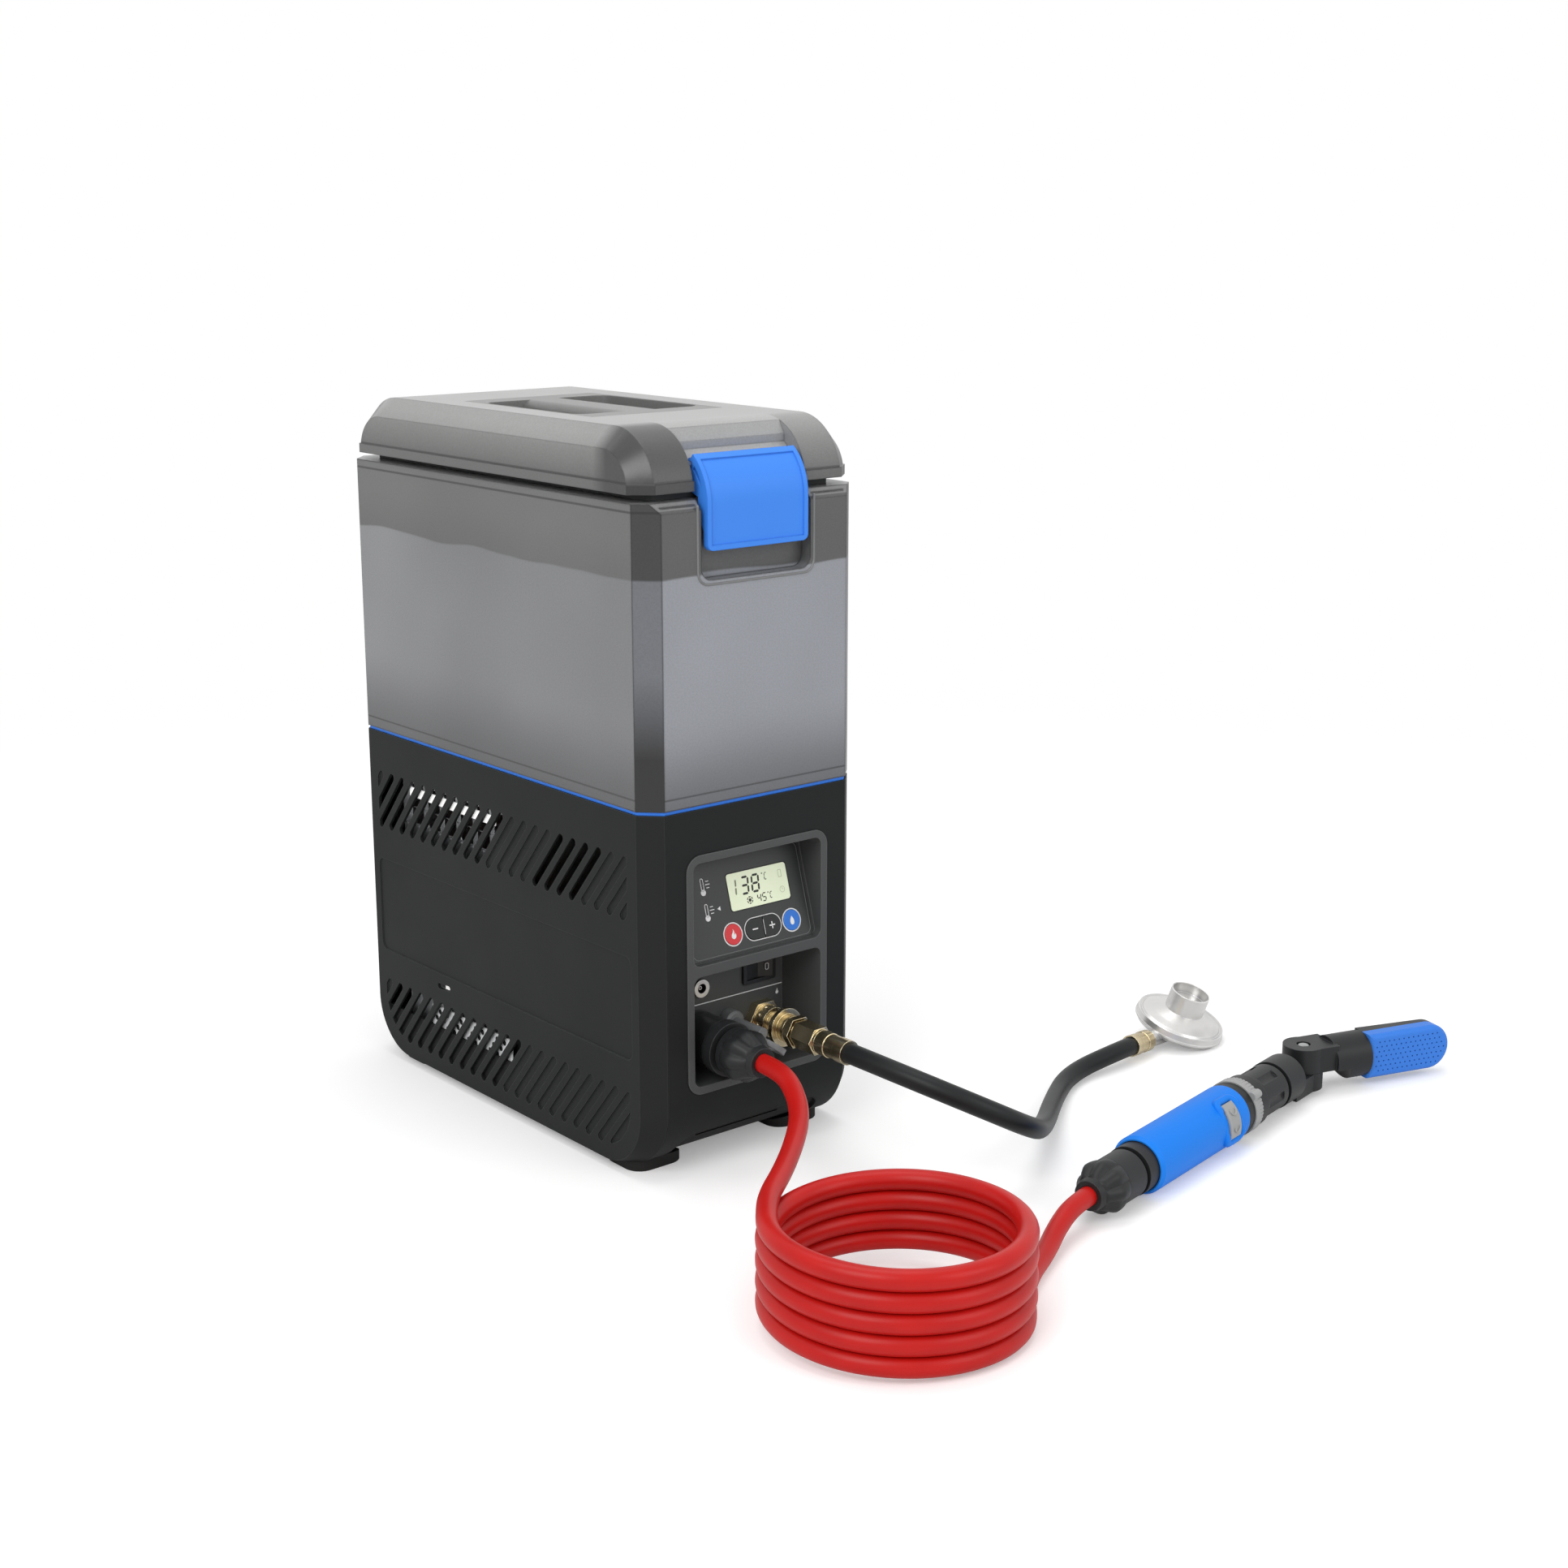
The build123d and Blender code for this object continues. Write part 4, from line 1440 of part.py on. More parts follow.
finish(latch, "latch")

with BuildPart() as latch_pin:
    with BuildSketch(Plane.YZ.offset(-LID_BAY_HALF - LID_WALL)):
        with Locations((PIN_Y, PIN_Z)):
            Circle(LATCH_PIN)
    extrude(amount=2 * (LID_BAY_HALF + LID_WALL))
finish(latch_pin, "latch_pin")

# ---------------------------------------------------------------- burner side inside the base
SHEET = 1.0
FIREBOX_HALF = WIDTH / 2 - 12
FIREBOX_LOW = 20.0
FIREBOX_HIGH = DECK_BOTTOM - 22.5
FIREBOX_FOOT = 5.0
FIREBOX_FEET = [(side * (FIREBOX_HALF - 18), FIREBOX[0] + rear) for side in (-1, 1) for rear in (15, 110)]
WINDOW_SIZE = (16.0, 30.0)
WINDOW_PITCH = 22.0
WINDOW_COUNT = 6
FIREBOX_MIDDLE = sum(FIREBOX) / 2
FIREBOX_DEPTH = FIREBOX[1] - FIREBOX[0]
BLOWER_X = (-60.0, -26.0)
BLOWER_Y = FIREBOX[0] - 42
BLOWER_Z = 55.0
BLOWER_RADIUS = 38.0
DUCT_HEIGHT = 20.0
DUCT_LOW = BLOWER_Z - BLOWER_RADIUS
WHEEL_RADIUS = 28.0
INTAKE_RADIUS = 20.0
SHAFT_RADIUS = 2.5
MOTOR_RADIUS = 16.0
MOTOR_LENGTH = 22.0
PIPE = 10.0
GAS_PIPE = 8.0
EXCHANGER_Z = 140.0
HOT_X = -30.0
COLD_X = 45.0
BURNER_Z = 52.0
GAS_PORT_X = 0.0

with BuildPart() as burner_housing:
    with BuildSketch(Plane.XY.offset(FIREBOX_LOW)):
        with Locations((0, FIREBOX_MIDDLE)):
            Rectangle(2 * FIREBOX_HALF, FIREBOX_DEPTH)
    extrude(amount=FIREBOX_HIGH - FIREBOX_LOW)
    with BuildSketch(Plane.XY.offset(FIREBOX_LOW + SHEET)):
        with Locations((0, FIREBOX_MIDDLE)):
            Rectangle(2 * (FIREBOX_HALF - SHEET), FIREBOX_DEPTH - 2 * SHEET)
    extrude(amount=FIREBOX_HIGH - FIREBOX_LOW - 2 * SHEET, mode=Mode.SUBTRACT)
    with BuildSketch(Plane.XY.offset(TRAY_FLOOR)):
        with Locations(*FIREBOX_FEET):
            Circle(FIREBOX_FOOT)
    extrude(amount=FIREBOX_LOW - TRAY_FLOOR)
    with BuildSketch(Plane.YZ.offset(-WIDTH / 2)):
        with Locations((FIREBOX_MIDDLE, sum(UPPER_SLOTS) / 2)):
            with GridLocations(WINDOW_PITCH, 1, WINDOW_COUNT, 1):
                RectangleRounded(*WINDOW_SIZE, 2)
    extrude(amount=WIDTH, mode=Mode.SUBTRACT)
    with BuildSketch(Plane.XZ.offset(-FIREBOX[0] + 1)):
        with Locations((sum(BLOWER_X) / 2, DUCT_LOW + 3 + DUCT_HEIGHT / 2)):
            Rectangle(BLOWER_X[1] - BLOWER_X[0] - 4, DUCT_HEIGHT - 8)
        with Locations((HOT_X, EXCHANGER_Z), (COLD_X, EXCHANGER_Z)):
            Circle(PIPE / 2 + HOLE_FIT)
        with Locations((GAS_PORT_X, BURNER_Z)):
            Circle(GAS_PIPE / 2 + HOLE_FIT)
    extrude(amount=-SHEET - 2, mode=Mode.SUBTRACT)
finish(burner_housing, "burner_housing")

BURNER_BARS = 5
BURNER_PITCH = 24.0
BURNER_BAR = (10.0, 14.0)
BURNER_Y = FIREBOX_MIDDLE + 5
BURNER_LENGTH = 90.0
MANIFOLD_HALF = 54.0
MANIFOLD_HEIGHT = 8.0

with BuildPart() as burner:
    with BuildSketch(Plane.XY.offset(BURNER_Z)):
        with Locations((0, BURNER_Y)):
            Rectangle(2 * (FIREBOX_HALF - SHEET), BURNER_LENGTH)
            with GridLocations(BURNER_PITCH, 1, BURNER_BARS - 1, 1):
                Rectangle(BURNER_PITCH - BURNER_BAR[0] - 4, BURNER_LENGTH - 20, mode=Mode.SUBTRACT)
    extrude(amount=2)
    with BuildSketch(Plane.XY.offset(BURNER_Z)):
        with Locations((0, BURNER_Y)):
            with GridLocations(BURNER_PITCH, 1, BURNER_BARS, 1):
                Rectangle(BURNER_BAR[0], BURNER_LENGTH - 10)
    extrude(amount=BURNER_BAR[1])
    manifold_back = BURNER_Y - BURNER_LENGTH / 2 + BURNER_BAR[0]
    with BuildSketch(Plane.XY.offset(BURNER_Z - MANIFOLD_HEIGHT / 2)):
        with Locations((0, (FIREBOX[0] + SHEET + manifold_back) / 2)):
            Rectangle(2 * MANIFOLD_HALF, manifold_back - FIREBOX[0] - SHEET)
    extrude(amount=MANIFOLD_HEIGHT)
finish(burner, "burner")

FIN_COUNT = 11
FIN_PITCH = 10.0
FIN_WALL = 1.0
FIN_HEIGHT = 40.0
EXCHANGER_Y = FIREBOX_MIDDLE
TUBE_SPREAD = 25.0
EXCHANGER_REACH = 62.0
HEADER = 12.0

with BuildPart() as heat_exchanger:
    with BuildSketch(Plane.XY.offset(EXCHANGER_Z - FIN_HEIGHT / 2)):
        with Locations((0, EXCHANGER_Y)):
            with GridLocations(1, FIN_PITCH, 1, FIN_COUNT):
                Rectangle(2 * (FIREBOX_HALF - SHEET), FIN_WALL)
            with GridLocations(2 * (FIREBOX_HALF - SHEET) - FIN_WALL, 1, 2, 1):
                Rectangle(FIN_WALL, (FIN_COUNT - 1) * FIN_PITCH)
    extrude(amount=FIN_HEIGHT)
    with BuildSketch(Plane.XZ.offset(-EXCHANGER_Y + EXCHANGER_REACH)):
        with Locations((0, EXCHANGER_Z)):
            with GridLocations(TUBE_SPREAD, 1, 5, 1):
                Circle(PIPE / 2 - 1)
    extrude(amount=-2 * EXCHANGER_REACH)
    with BuildSketch(Plane.XY.offset(EXCHANGER_Z - HEADER / 2)):
        with Locations((0, EXCHANGER_Y - EXCHANGER_REACH + HEADER / 2 - 4),
                       (0, EXCHANGER_Y + EXCHANGER_REACH - HEADER / 2)):
            Rectangle(5 * TUBE_SPREAD, HEADER)
    extrude(amount=HEADER)
finish(heat_exchanger, "heat_exchanger")

with BuildPart() as blower_housing:
    with BuildSketch(Plane.YZ.offset(BLOWER_X[0])):
        with Locations((BLOWER_Y, BLOWER_Z)):
            Circle(BLOWER_RADIUS)
        with Locations(((BLOWER_Y + FIREBOX[0]) / 2, DUCT_LOW + DUCT_HEIGHT / 2)):
            Rectangle(FIREBOX[0] - BLOWER_Y, DUCT_HEIGHT)
    extrude(amount=BLOWER_X[1] - BLOWER_X[0])
    with BuildSketch(Plane.YZ.offset(BLOWER_X[0] + 2)):
        with Locations((BLOWER_Y, BLOWER_Z)):
            Circle(BLOWER_RADIUS - 2)
        with Locations(((BLOWER_Y + FIREBOX[0]) / 2, DUCT_LOW + DUCT_HEIGHT / 2)):
            Rectangle(FIREBOX[0] - BLOWER_Y, DUCT_HEIGHT - 4)
    extrude(amount=BLOWER_X[1] - BLOWER_X[0] - 4, mode=Mode.SUBTRACT)
    with BuildSketch(Plane.YZ.offset(BLOWER_X[0])):
        with Locations((BLOWER_Y, BLOWER_Z)):
            Circle(INTAKE_RADIUS)
    extrude(amount=3, mode=Mode.SUBTRACT)
    with BuildSketch(Plane.YZ.offset(BLOWER_X[1])):
        with Locations((BLOWER_Y, BLOWER_Z)):
            Circle(MOTOR_RADIUS)
    extrude(amount=MOTOR_LENGTH)
    with BuildSketch(Plane.YZ.offset(BLOWER_X[0] + 8)):
        with Locations((BLOWER_Y, BLOWER_Z)):
            Circle(SHAFT_RADIUS)
    extrude(amount=BLOWER_X[1] - BLOWER_X[0])
    with BuildSketch(Plane.XY.offset(TRAY_FLOOR)):
        with Locations((BLOWER_X[1] + MOTOR_LENGTH / 2, BLOWER_Y)):
            Rectangle(MOTOR_LENGTH - 6, MOTOR_RADIUS)
    extrude(amount=BLOWER_Z - MOTOR_RADIUS / 2 - TRAY_FLOOR)
finish(blower_housing, "blower_housing")

WHEEL = (BLOWER_X[0] + 4, BLOWER_X[1] - 4)
WHEEL_PLATE = 2.0
BLADE_COUNT = 20
BLADE = (6.0, 1.2)
HUB_RADIUS = 6.0

with BuildPart() as blower_wheel:
    with BuildSketch(Plane.YZ.offset(WHEEL[1] - WHEEL_PLATE)):
        with Locations((BLOWER_Y, BLOWER_Z)):
            Circle(WHEEL_RADIUS)
    extrude(amount=WHEEL_PLATE)
    with BuildSketch(Plane.YZ.offset(WHEEL[0])):
        with Locations((BLOWER_Y, BLOWER_Z)):
            with PolarLocations(WHEEL_RADIUS - BLADE[0] / 2, BLADE_COUNT):
                Rectangle(*BLADE)
    extrude(amount=WHEEL[1] - WHEEL[0])
    with BuildSketch(Plane.YZ.offset(WHEEL[0])):
        with Locations((BLOWER_Y, BLOWER_Z)):
            Circle(WHEEL_RADIUS)
            Circle(WHEEL_RADIUS - BLADE[0], mode=Mode.SUBTRACT)
    extrude(amount=WHEEL_PLATE)
    with BuildSketch(Plane.YZ.offset(BLOWER_X[0] + 10)):
        with Locations((BLOWER_Y, BLOWER_Z)):
            Circle(HUB_RADIUS)
    extrude(amount=WHEEL[1] - BLOWER_X[0] - 10)
    with BuildSketch(Plane.YZ.offset(WHEEL[0] - 1)):
        with Locations((BLOWER_Y, BLOWER_Z)):
            Circle(SHAFT_RADIUS + RUN_FIT)
    extrude(amount=WHEEL[1] - WHEEL[0] + 2, mode=Mode.SUBTRACT)
finish(blower_wheel, "blower_wheel")

# ---------------------------------------------------------------- water pump, gas valve, pipes
PUMP_RADIUS = 18.0
PUMP_Y = (FIREBOX[0] - 88, FIREBOX[0] - 30)
PUMP_Z = 36.0
PUMP_FOOT = (30.0, 40.0)
PUMP_STUB = 6.0
VALVE_SIZE = (30.0, 30.0, 34.0)
VALVE_BACK = BAY_BACK + FITTING_TAIL

with BuildPart() as water_pump:
    with BuildSketch(Plane.XZ.offset(-PUMP_Y[0])):
        with Locations((OUTLET_X, PUMP_Z)):
            Circle(PUMP_RADIUS)
    extrude(amount=PUMP_Y[0] - PUMP_Y[1])
    with BuildSketch(Plane.XY.offset(TRAY_FLOOR)):
        with Locations((OUTLET_X, sum(PUMP_Y) / 2)):
            Rectangle(*PUMP_FOOT)
    extrude(amount=PUMP_Z - TRAY_FLOOR)
    with BuildSketch(Plane.XY.offset(PUMP_Z)):
        with Locations((OUTLET_X, OUTLET_Y)):
            Circle(PUMP_STUB)
    extrude(amount=PUMP_RADIUS + 6)
finish(water_pump, "water_pump")

with BuildPart() as gas_valve:
    with BuildSketch(Plane.XY.offset(FITTING_Z - VALVE_SIZE[2] / 2)):
        with Locations((GAS_X, VALVE_BACK + VALVE_SIZE[1] / 2)):
            Rectangle(VALVE_SIZE[0], VALVE_SIZE[1])
    extrude(amount=VALVE_SIZE[2])
    fillet(gas_valve.edges().filter_by(Axis.Z), 2)
    with BuildSketch(Plane.XY.offset(FITTING_Z + VALVE_SIZE[2] / 2)):
        with Locations((GAS_X, VALVE_BACK + VALVE_SIZE[1] / 2)):
            Circle(VALVE_SIZE[0] / 2 - 4)
    extrude(amount=18)
finish(gas_valve, "gas_valve")

PUMP_TOP = PUMP_Z + PUMP_RADIUS + 6
VALVE_REAR = VALVE_BACK + VALVE_SIZE[1]


def pipe(route, diameter, bend):
    """Rigid pipe with equal bends."""
    with BuildPart() as run:
        with BuildLine():
            FilletPolyline(*route, radius=bend)
        with BuildSketch(Plane(origin=route[0], z_dir=Vector(route[1]) - Vector(route[0]))):
            Circle(diameter / 2)
        sweep()
    return run.part


PIPE_BEND = 12.0
OFFSET_X = 16.0          # sideways kink that lets the cold pipe flex

with BuildPart() as pipework:
    add(pipe([(OUTLET_X, OUTLET_Y, OUTLET_END), (OUTLET_X, OUTLET_Y, 200), (OUTLET_X + OFFSET_X, OUTLET_Y, 170),
              (OUTLET_X + OFFSET_X, OUTLET_Y, 110), (OUTLET_X, OUTLET_Y, 85), (OUTLET_X, OUTLET_Y, PUMP_TOP)],
             PIPE, PIPE_BEND))
    add(pipe([(OUTLET_X, PUMP_Y[1], PUMP_Z), (OUTLET_X, FIREBOX[0] - 12, PUMP_Z),
              (COLD_X + OFFSET_X - 1, FIREBOX[0] - 12, 60), (COLD_X + OFFSET_X - 1, FIREBOX[0] - 12, 120),
              (COLD_X, FIREBOX[0] - 20, EXCHANGER_Z), (COLD_X, FIREBOX[0], EXCHANGER_Z)], PIPE, PIPE_BEND / 2))
    add(pipe([(WATER_X, VALVE_BACK, FITTING_Z), (WATER_X, VALVE_BACK + 23, FITTING_Z),
              (HOT_X, FIREBOX[0] - 50, EXCHANGER_Z - 5), (HOT_X, FIREBOX[0] - 25, EXCHANGER_Z),
              (HOT_X, FIREBOX[0], EXCHANGER_Z)], PIPE, PIPE_BEND))
    add(pipe([(GAS_X, VALVE_REAR, FITTING_Z), (GAS_X, VALVE_REAR + 23, FITTING_Z),
              (GAS_PORT_X, FIREBOX[0] - 50, FITTING_Z - 6), (GAS_PORT_X, FIREBOX[0] - 20, BURNER_Z),
              (GAS_PORT_X, FIREBOX[0], BURNER_Z)], GAS_PIPE, PIPE_BEND))
finish(pipework, "pipework")
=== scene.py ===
# %% [markdown]
# # A portable propane water heater
# The heater is an appliance with a smoky tank on a black base, a gas hose with
# its regulator, and a coil of red shower hose that ends in a wand. The solids
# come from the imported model, so this lesson dresses them: it lays the hoses,
# gives each part a finish, and adds the small details that sit on the parts.
# All lengths are in metres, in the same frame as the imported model, and small
# drawn details are laid out in millimetres.

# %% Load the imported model
import math

import bmesh
import bpy
from mathutils import Matrix, Vector


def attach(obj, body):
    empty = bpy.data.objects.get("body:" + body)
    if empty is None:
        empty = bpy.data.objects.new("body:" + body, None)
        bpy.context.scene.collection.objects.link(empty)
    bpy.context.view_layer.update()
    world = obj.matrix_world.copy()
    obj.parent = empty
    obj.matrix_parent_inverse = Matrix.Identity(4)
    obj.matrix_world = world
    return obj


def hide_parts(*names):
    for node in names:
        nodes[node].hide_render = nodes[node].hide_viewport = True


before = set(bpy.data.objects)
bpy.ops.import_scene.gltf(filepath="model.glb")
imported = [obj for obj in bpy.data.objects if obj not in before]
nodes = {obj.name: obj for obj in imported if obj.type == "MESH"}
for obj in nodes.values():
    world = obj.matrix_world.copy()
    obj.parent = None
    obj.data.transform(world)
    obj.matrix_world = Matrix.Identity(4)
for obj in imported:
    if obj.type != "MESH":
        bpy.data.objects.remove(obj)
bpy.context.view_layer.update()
MM = 0.001

# %% [markdown]
# ## Camera
# A small product camera looks down a little on the corner between the control
# side and the long side. A lens of about 55 mm on a 36 mm sensor keeps the
# upright edges nearly parallel without the flatness of a long lens. A helper
# puts each new object into the scene, and the camera is the first.

# %% Camera


def shown(name, data):
    """A new object that is part of the scene."""
    made = bpy.data.objects.new(name, data)
    bpy.context.collection.objects.link(made)
    return made


camera = shown("camera", bpy.data.cameras.new("camera"))
camera.location = (-0.9593, -1.3551, 0.6431)
camera.rotation_euler = (math.radians(75.924), 0, math.radians(-39.88))
camera.data.sensor_width = 36
camera.data.lens = 54.65
bpy.context.scene.camera = camera
print("camera stands", round(camera.location.length, 2), "m from the heater")

# %% [markdown]
# ## Helpers for shader nodes
# Every finish below is a small tree of shader nodes. One function adds a node:
# its own settings go in by name, and its inputs are numbers, colours or the
# sockets that feed them. A second one turns an sRGB hex value into the linear
# colour that the renderer works in, and a third empties a new tree.

# %% Colour and node helpers


def linear(code):
    """The linear colour of an sRGB hex value, with full alpha."""
    channels = [int(code[i:i + 2], 16) / 255 for i in (1, 3, 5)]
    return (*(c / 12.92 if c <= 0.04045 else ((c + 0.055) / 1.055) ** 2.4
              for c in channels), 1.0)


def add_node(tree, kind, inputs=None, **settings):
    """Adds one shader node. An input is a value, or a socket to join."""
    node = tree.nodes.new("ShaderNode" + kind)
    for name, value in settings.items():
        setattr(node, name, value)
    for name, value in (inputs or {}).items():
        if isinstance(value, bpy.types.NodeSocket):
            tree.links.new(value, node.inputs[name])
        else:
            node.inputs[name].default_value = value
    return node


def blank_tree(owner):
    """The emptied node tree of a material or a world."""
    owner.use_nodes = True
    owner.node_tree.nodes.clear()
    return owner.node_tree


print("black plastic in linear light:", [round(c, 4) for c in linear("#303231")])

# %% [markdown]
# ## Studio
# The appliance stands on a plain pale floor in soft light. The floor is a real
# surface, so it keeps the soft shadows. A little glow that only the camera
# sees lifts its open parts to white, and further out the glow takes over
# altogether, so the floor melts into the white world behind it. The world is
# white to the camera, to gloss and through glass, and softer for the rest.

# %% Floor
FLOOR_REACH = 12.0
FLOOR_GLOW = 0.25
MELT_START, MELT_END = 0.55, 1.6
floor = shown("floor", bpy.data.meshes.new("floor"))
corners = [(x * FLOOR_REACH, y * FLOOR_REACH, 0) for x, y in ((-1, -1), (1, -1), (1, 1), (-1, 1))]
floor.data.from_pydata(corners, [], [(0, 1, 2, 3)])

pale_floor = bpy.data.materials.new("pale_floor")
tree = blank_tree(pale_floor)
paper = add_node(tree, "BsdfDiffuse", {"Color": linear("#eeeeee")})
glow = add_node(tree, "Emission", {"Strength": FLOOR_GLOW})
near_floor = add_node(tree, "AddShader", {0: paper.outputs[0], 1: glow.outputs[0]})
far_floor = add_node(tree, "Emission", {"Strength": 1.0})
spot = add_node(tree, "NewGeometry").outputs["Position"]
distance = add_node(tree, "VectorMath", {0: spot}, operation="LENGTH")
far = add_node(tree, "MapRange", {
    "Value": distance.outputs["Value"], "From Min": MELT_START, "From Max": MELT_END},
    interpolation_type="SMOOTHSTEP")
open_floor = add_node(tree, "MixShader", {
    "Fac": far.outputs["Result"], 1: near_floor.outputs[0], 2: far_floor.outputs[0]})
rays = add_node(tree, "LightPath")
seen = add_node(tree, "MixShader", {
    "Fac": rays.outputs["Is Camera Ray"], 1: paper.outputs[0], 2: open_floor.outputs[0]})
add_node(tree, "OutputMaterial", {"Surface": seen.outputs[0]})
floor.data.materials.append(pale_floor)
print("floor", 2 * FLOOR_REACH, "m wide")

# %% World
SOFT_LIGHT = 0.62
world = bpy.data.worlds.new("studio")
bpy.context.scene.world = world
tree = blank_tree(world)
rays = add_node(tree, "LightPath")
mirror_or_camera = add_node(tree, "Math", {
    0: rays.outputs["Is Camera Ray"], 1: rays.outputs["Is Glossy Ray"]}, operation="MAXIMUM")
any_direct = add_node(tree, "Math", {
    0: mirror_or_camera.outputs[0], 1: rays.outputs["Is Transmission Ray"]}, operation="MAXIMUM")
soft_light = add_node(tree, "Background", {"Color": linear("#ffffff"), "Strength": SOFT_LIGHT})
white = add_node(tree, "Background", {"Color": linear("#ffffff"), "Strength": 1.0})
both = add_node(tree, "MixShader", {
    "Fac": any_direct.outputs[0], 1: soft_light.outputs[0], 2: white.outputs[0]})
add_node(tree, "OutputWorld", {"Surface": both.outputs[0]})
bpy.context.scene.view_settings.view_transform = "Standard"
print("world light", SOFT_LIGHT)

# %% Lamps
LAMP_TARGET = Vector((0.05, -0.15, 0.2))
LAMPS = {  # name: (place, size in metres, watts)
    "left_softbox": ((-1.7, -0.9, 1.6), 1.4, 22),
    "front_softbox": ((0.6, -2.2, 1.3), 1.4, 11),
    "top_softbox": ((0.1, 0.1, 2.2), 1.6, 14),
}
for name, (place, size, watts) in LAMPS.items():
    lamp = shown(name, bpy.data.lights.new(name, "AREA"))
    lamp.data.shape = "DISK"
    lamp.data.size = size
    lamp.data.energy = watts
    lamp.location = place
    aim = LAMP_TARGET - lamp.location
    lamp.rotation_euler = aim.to_track_quat("-Z", "Y").to_euler()
print(len(LAMPS), "softboxes")

# %% [markdown]
# ## Hoses
# A hose is one flexible tube, so each is a single smooth spline with a round
# section. The points steer the line: straight out of the fitting, down under
# the hose's own weight, and along the ground. The shower hose also lies in a
# coil of four and a half turns, and its turns are more points of that spline.

# %% A round tube along a route


def tube(name, route, diameter, kind="POLY", roundness=4, closed=False):
    """A round tube along points in metres: straight between them, or one NURBS spline."""
    curve = bpy.data.curves.new(name, "CURVE")
    curve.dimensions = "3D"
    curve.bevel_depth = 1.0     # times each point's radius, which also sets the curve's box
    curve.bevel_resolution = roundness
    curve.use_fill_caps = not closed
    spline = curve.splines.new(kind)
    spline.points.add(len(route) - 1)
    for point, place in zip(spline.points, route):
        point.co = (*place, 1.0)
        point.radius = diameter / 2
    spline.order_u = 3
    spline.use_endpoint_u = True
    spline.resolution_u = 10
    spline.use_cyclic_u = closed
    return shown(name, curve)


# %% Gas hose, from the heater's inlet to the regulator
GAS_ROUTE = [
    (0.0280, -0.2360, 0.0860), (0.0280, -0.2550, 0.0860), (0.0336, -0.2845, 0.0828),
    (0.0471, -0.3120, 0.0751), (0.0697, -0.3330, 0.0623), (0.1010, -0.3390, 0.0445),
    (0.1452, -0.3078, 0.0220), (0.2193, -0.2471, 0.0071), (0.2644, -0.2195, 0.0071),
    (0.31699, -0.22216, 0.01374), (0.33469, -0.21911, 0.01247),
]
GAS_HOSE_WIDTH = 0.014
gas_hose = tube("gas_hose_tube", GAS_ROUTE, GAS_HOSE_WIDTH, "NURBS", roundness=9)
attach(gas_hose, "base")
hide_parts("gas_hose")
print("gas hose steered by", len(GAS_ROUTE), "points")

# %% Shower hose: lead, coil and tail
LEAD = [
    (-0.0280, -0.2170, 0.0860), (-0.0280, -0.2380, 0.0860), (-0.0329, -0.2572, 0.0790),
    (-0.0466, -0.2789, 0.0720), (-0.0709, -0.3014, 0.0670), (-0.1014, -0.3269, 0.0655),
    (-0.1305, -0.3488, 0.0657), (-0.1468, -0.3664, 0.0650),
]
TAIL = [
    (-0.03524, -0.46964, 0.0065), (-0.0183, -0.4513, 0.0065), (0.0020, -0.4360, 0.0066),
    (0.0310, -0.4215, 0.0075), (0.0520, -0.4105, 0.0135), (0.0732, -0.40379, 0.0200),
    (0.0928, -0.3998, 0.0200),
]
HOSE_WIDTH = 0.013
COIL_CENTRE = Vector((-0.091, -0.418))
COIL_RADIUS = 0.076
COIL_START = math.radians(137.2)
TURNS = 4.5
POINTS_PER_TURN = 24
# A spline of order 3 runs a little inside a ring of points, so they stand out by this much.
outset = 4 / (3 + math.cos(math.tau / POINTS_PER_TURN))
steps = round(TURNS * POINTS_PER_TURN)
coil = []
for step in range(1, steps):
    angle = COIL_START + math.tau * step / POINTS_PER_TURN
    height = LEAD[-1][2] + (TAIL[0][2] - LEAD[-1][2]) * step / steps
    coil.append((COIL_CENTRE.x + outset * COIL_RADIUS * math.cos(angle),
                 COIL_CENTRE.y + outset * COIL_RADIUS * math.sin(angle), height))
shower_hose = tube("shower_hose_tube", LEAD + coil + TAIL, HOSE_WIDTH, "NURBS", roundness=9)
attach(shower_hose, "base")
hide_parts("hose_lead", "hose_coil", "hose_tail")
print("shower hose steered by", len(LEAD + coil + TAIL), "points")

# %% [markdown]
# ## Finishes: how a moulded plastic is drawn
# Most of the heater is injection moulded plastic. The steel mould is eroded by
# sparks, which leaves a fine even grain on the part, so highlights spread into
# a soft sheen. Nothing moulded has a truly sharp edge either: each corner is
# rounded a little, and its colour turns paler there, partly wear and partly a
# painted highlight. So one function makes every moulded finish from the
# plastic's colour, its grain and its gloss.

# %% Start of any finish, and moulded plastic


def start_finish(name):
    """A new material with its surface node joined to the output."""
    material = bpy.data.materials.new(name)
    tree = blank_tree(material)
    surface = add_node(tree, "BsdfPrincipled")
    add_node(tree, "OutputMaterial", {"Surface": surface.outputs[0]})
    return material, tree, surface


CLOUD_MM = 70
CLOUD_DEPTH = 0.86


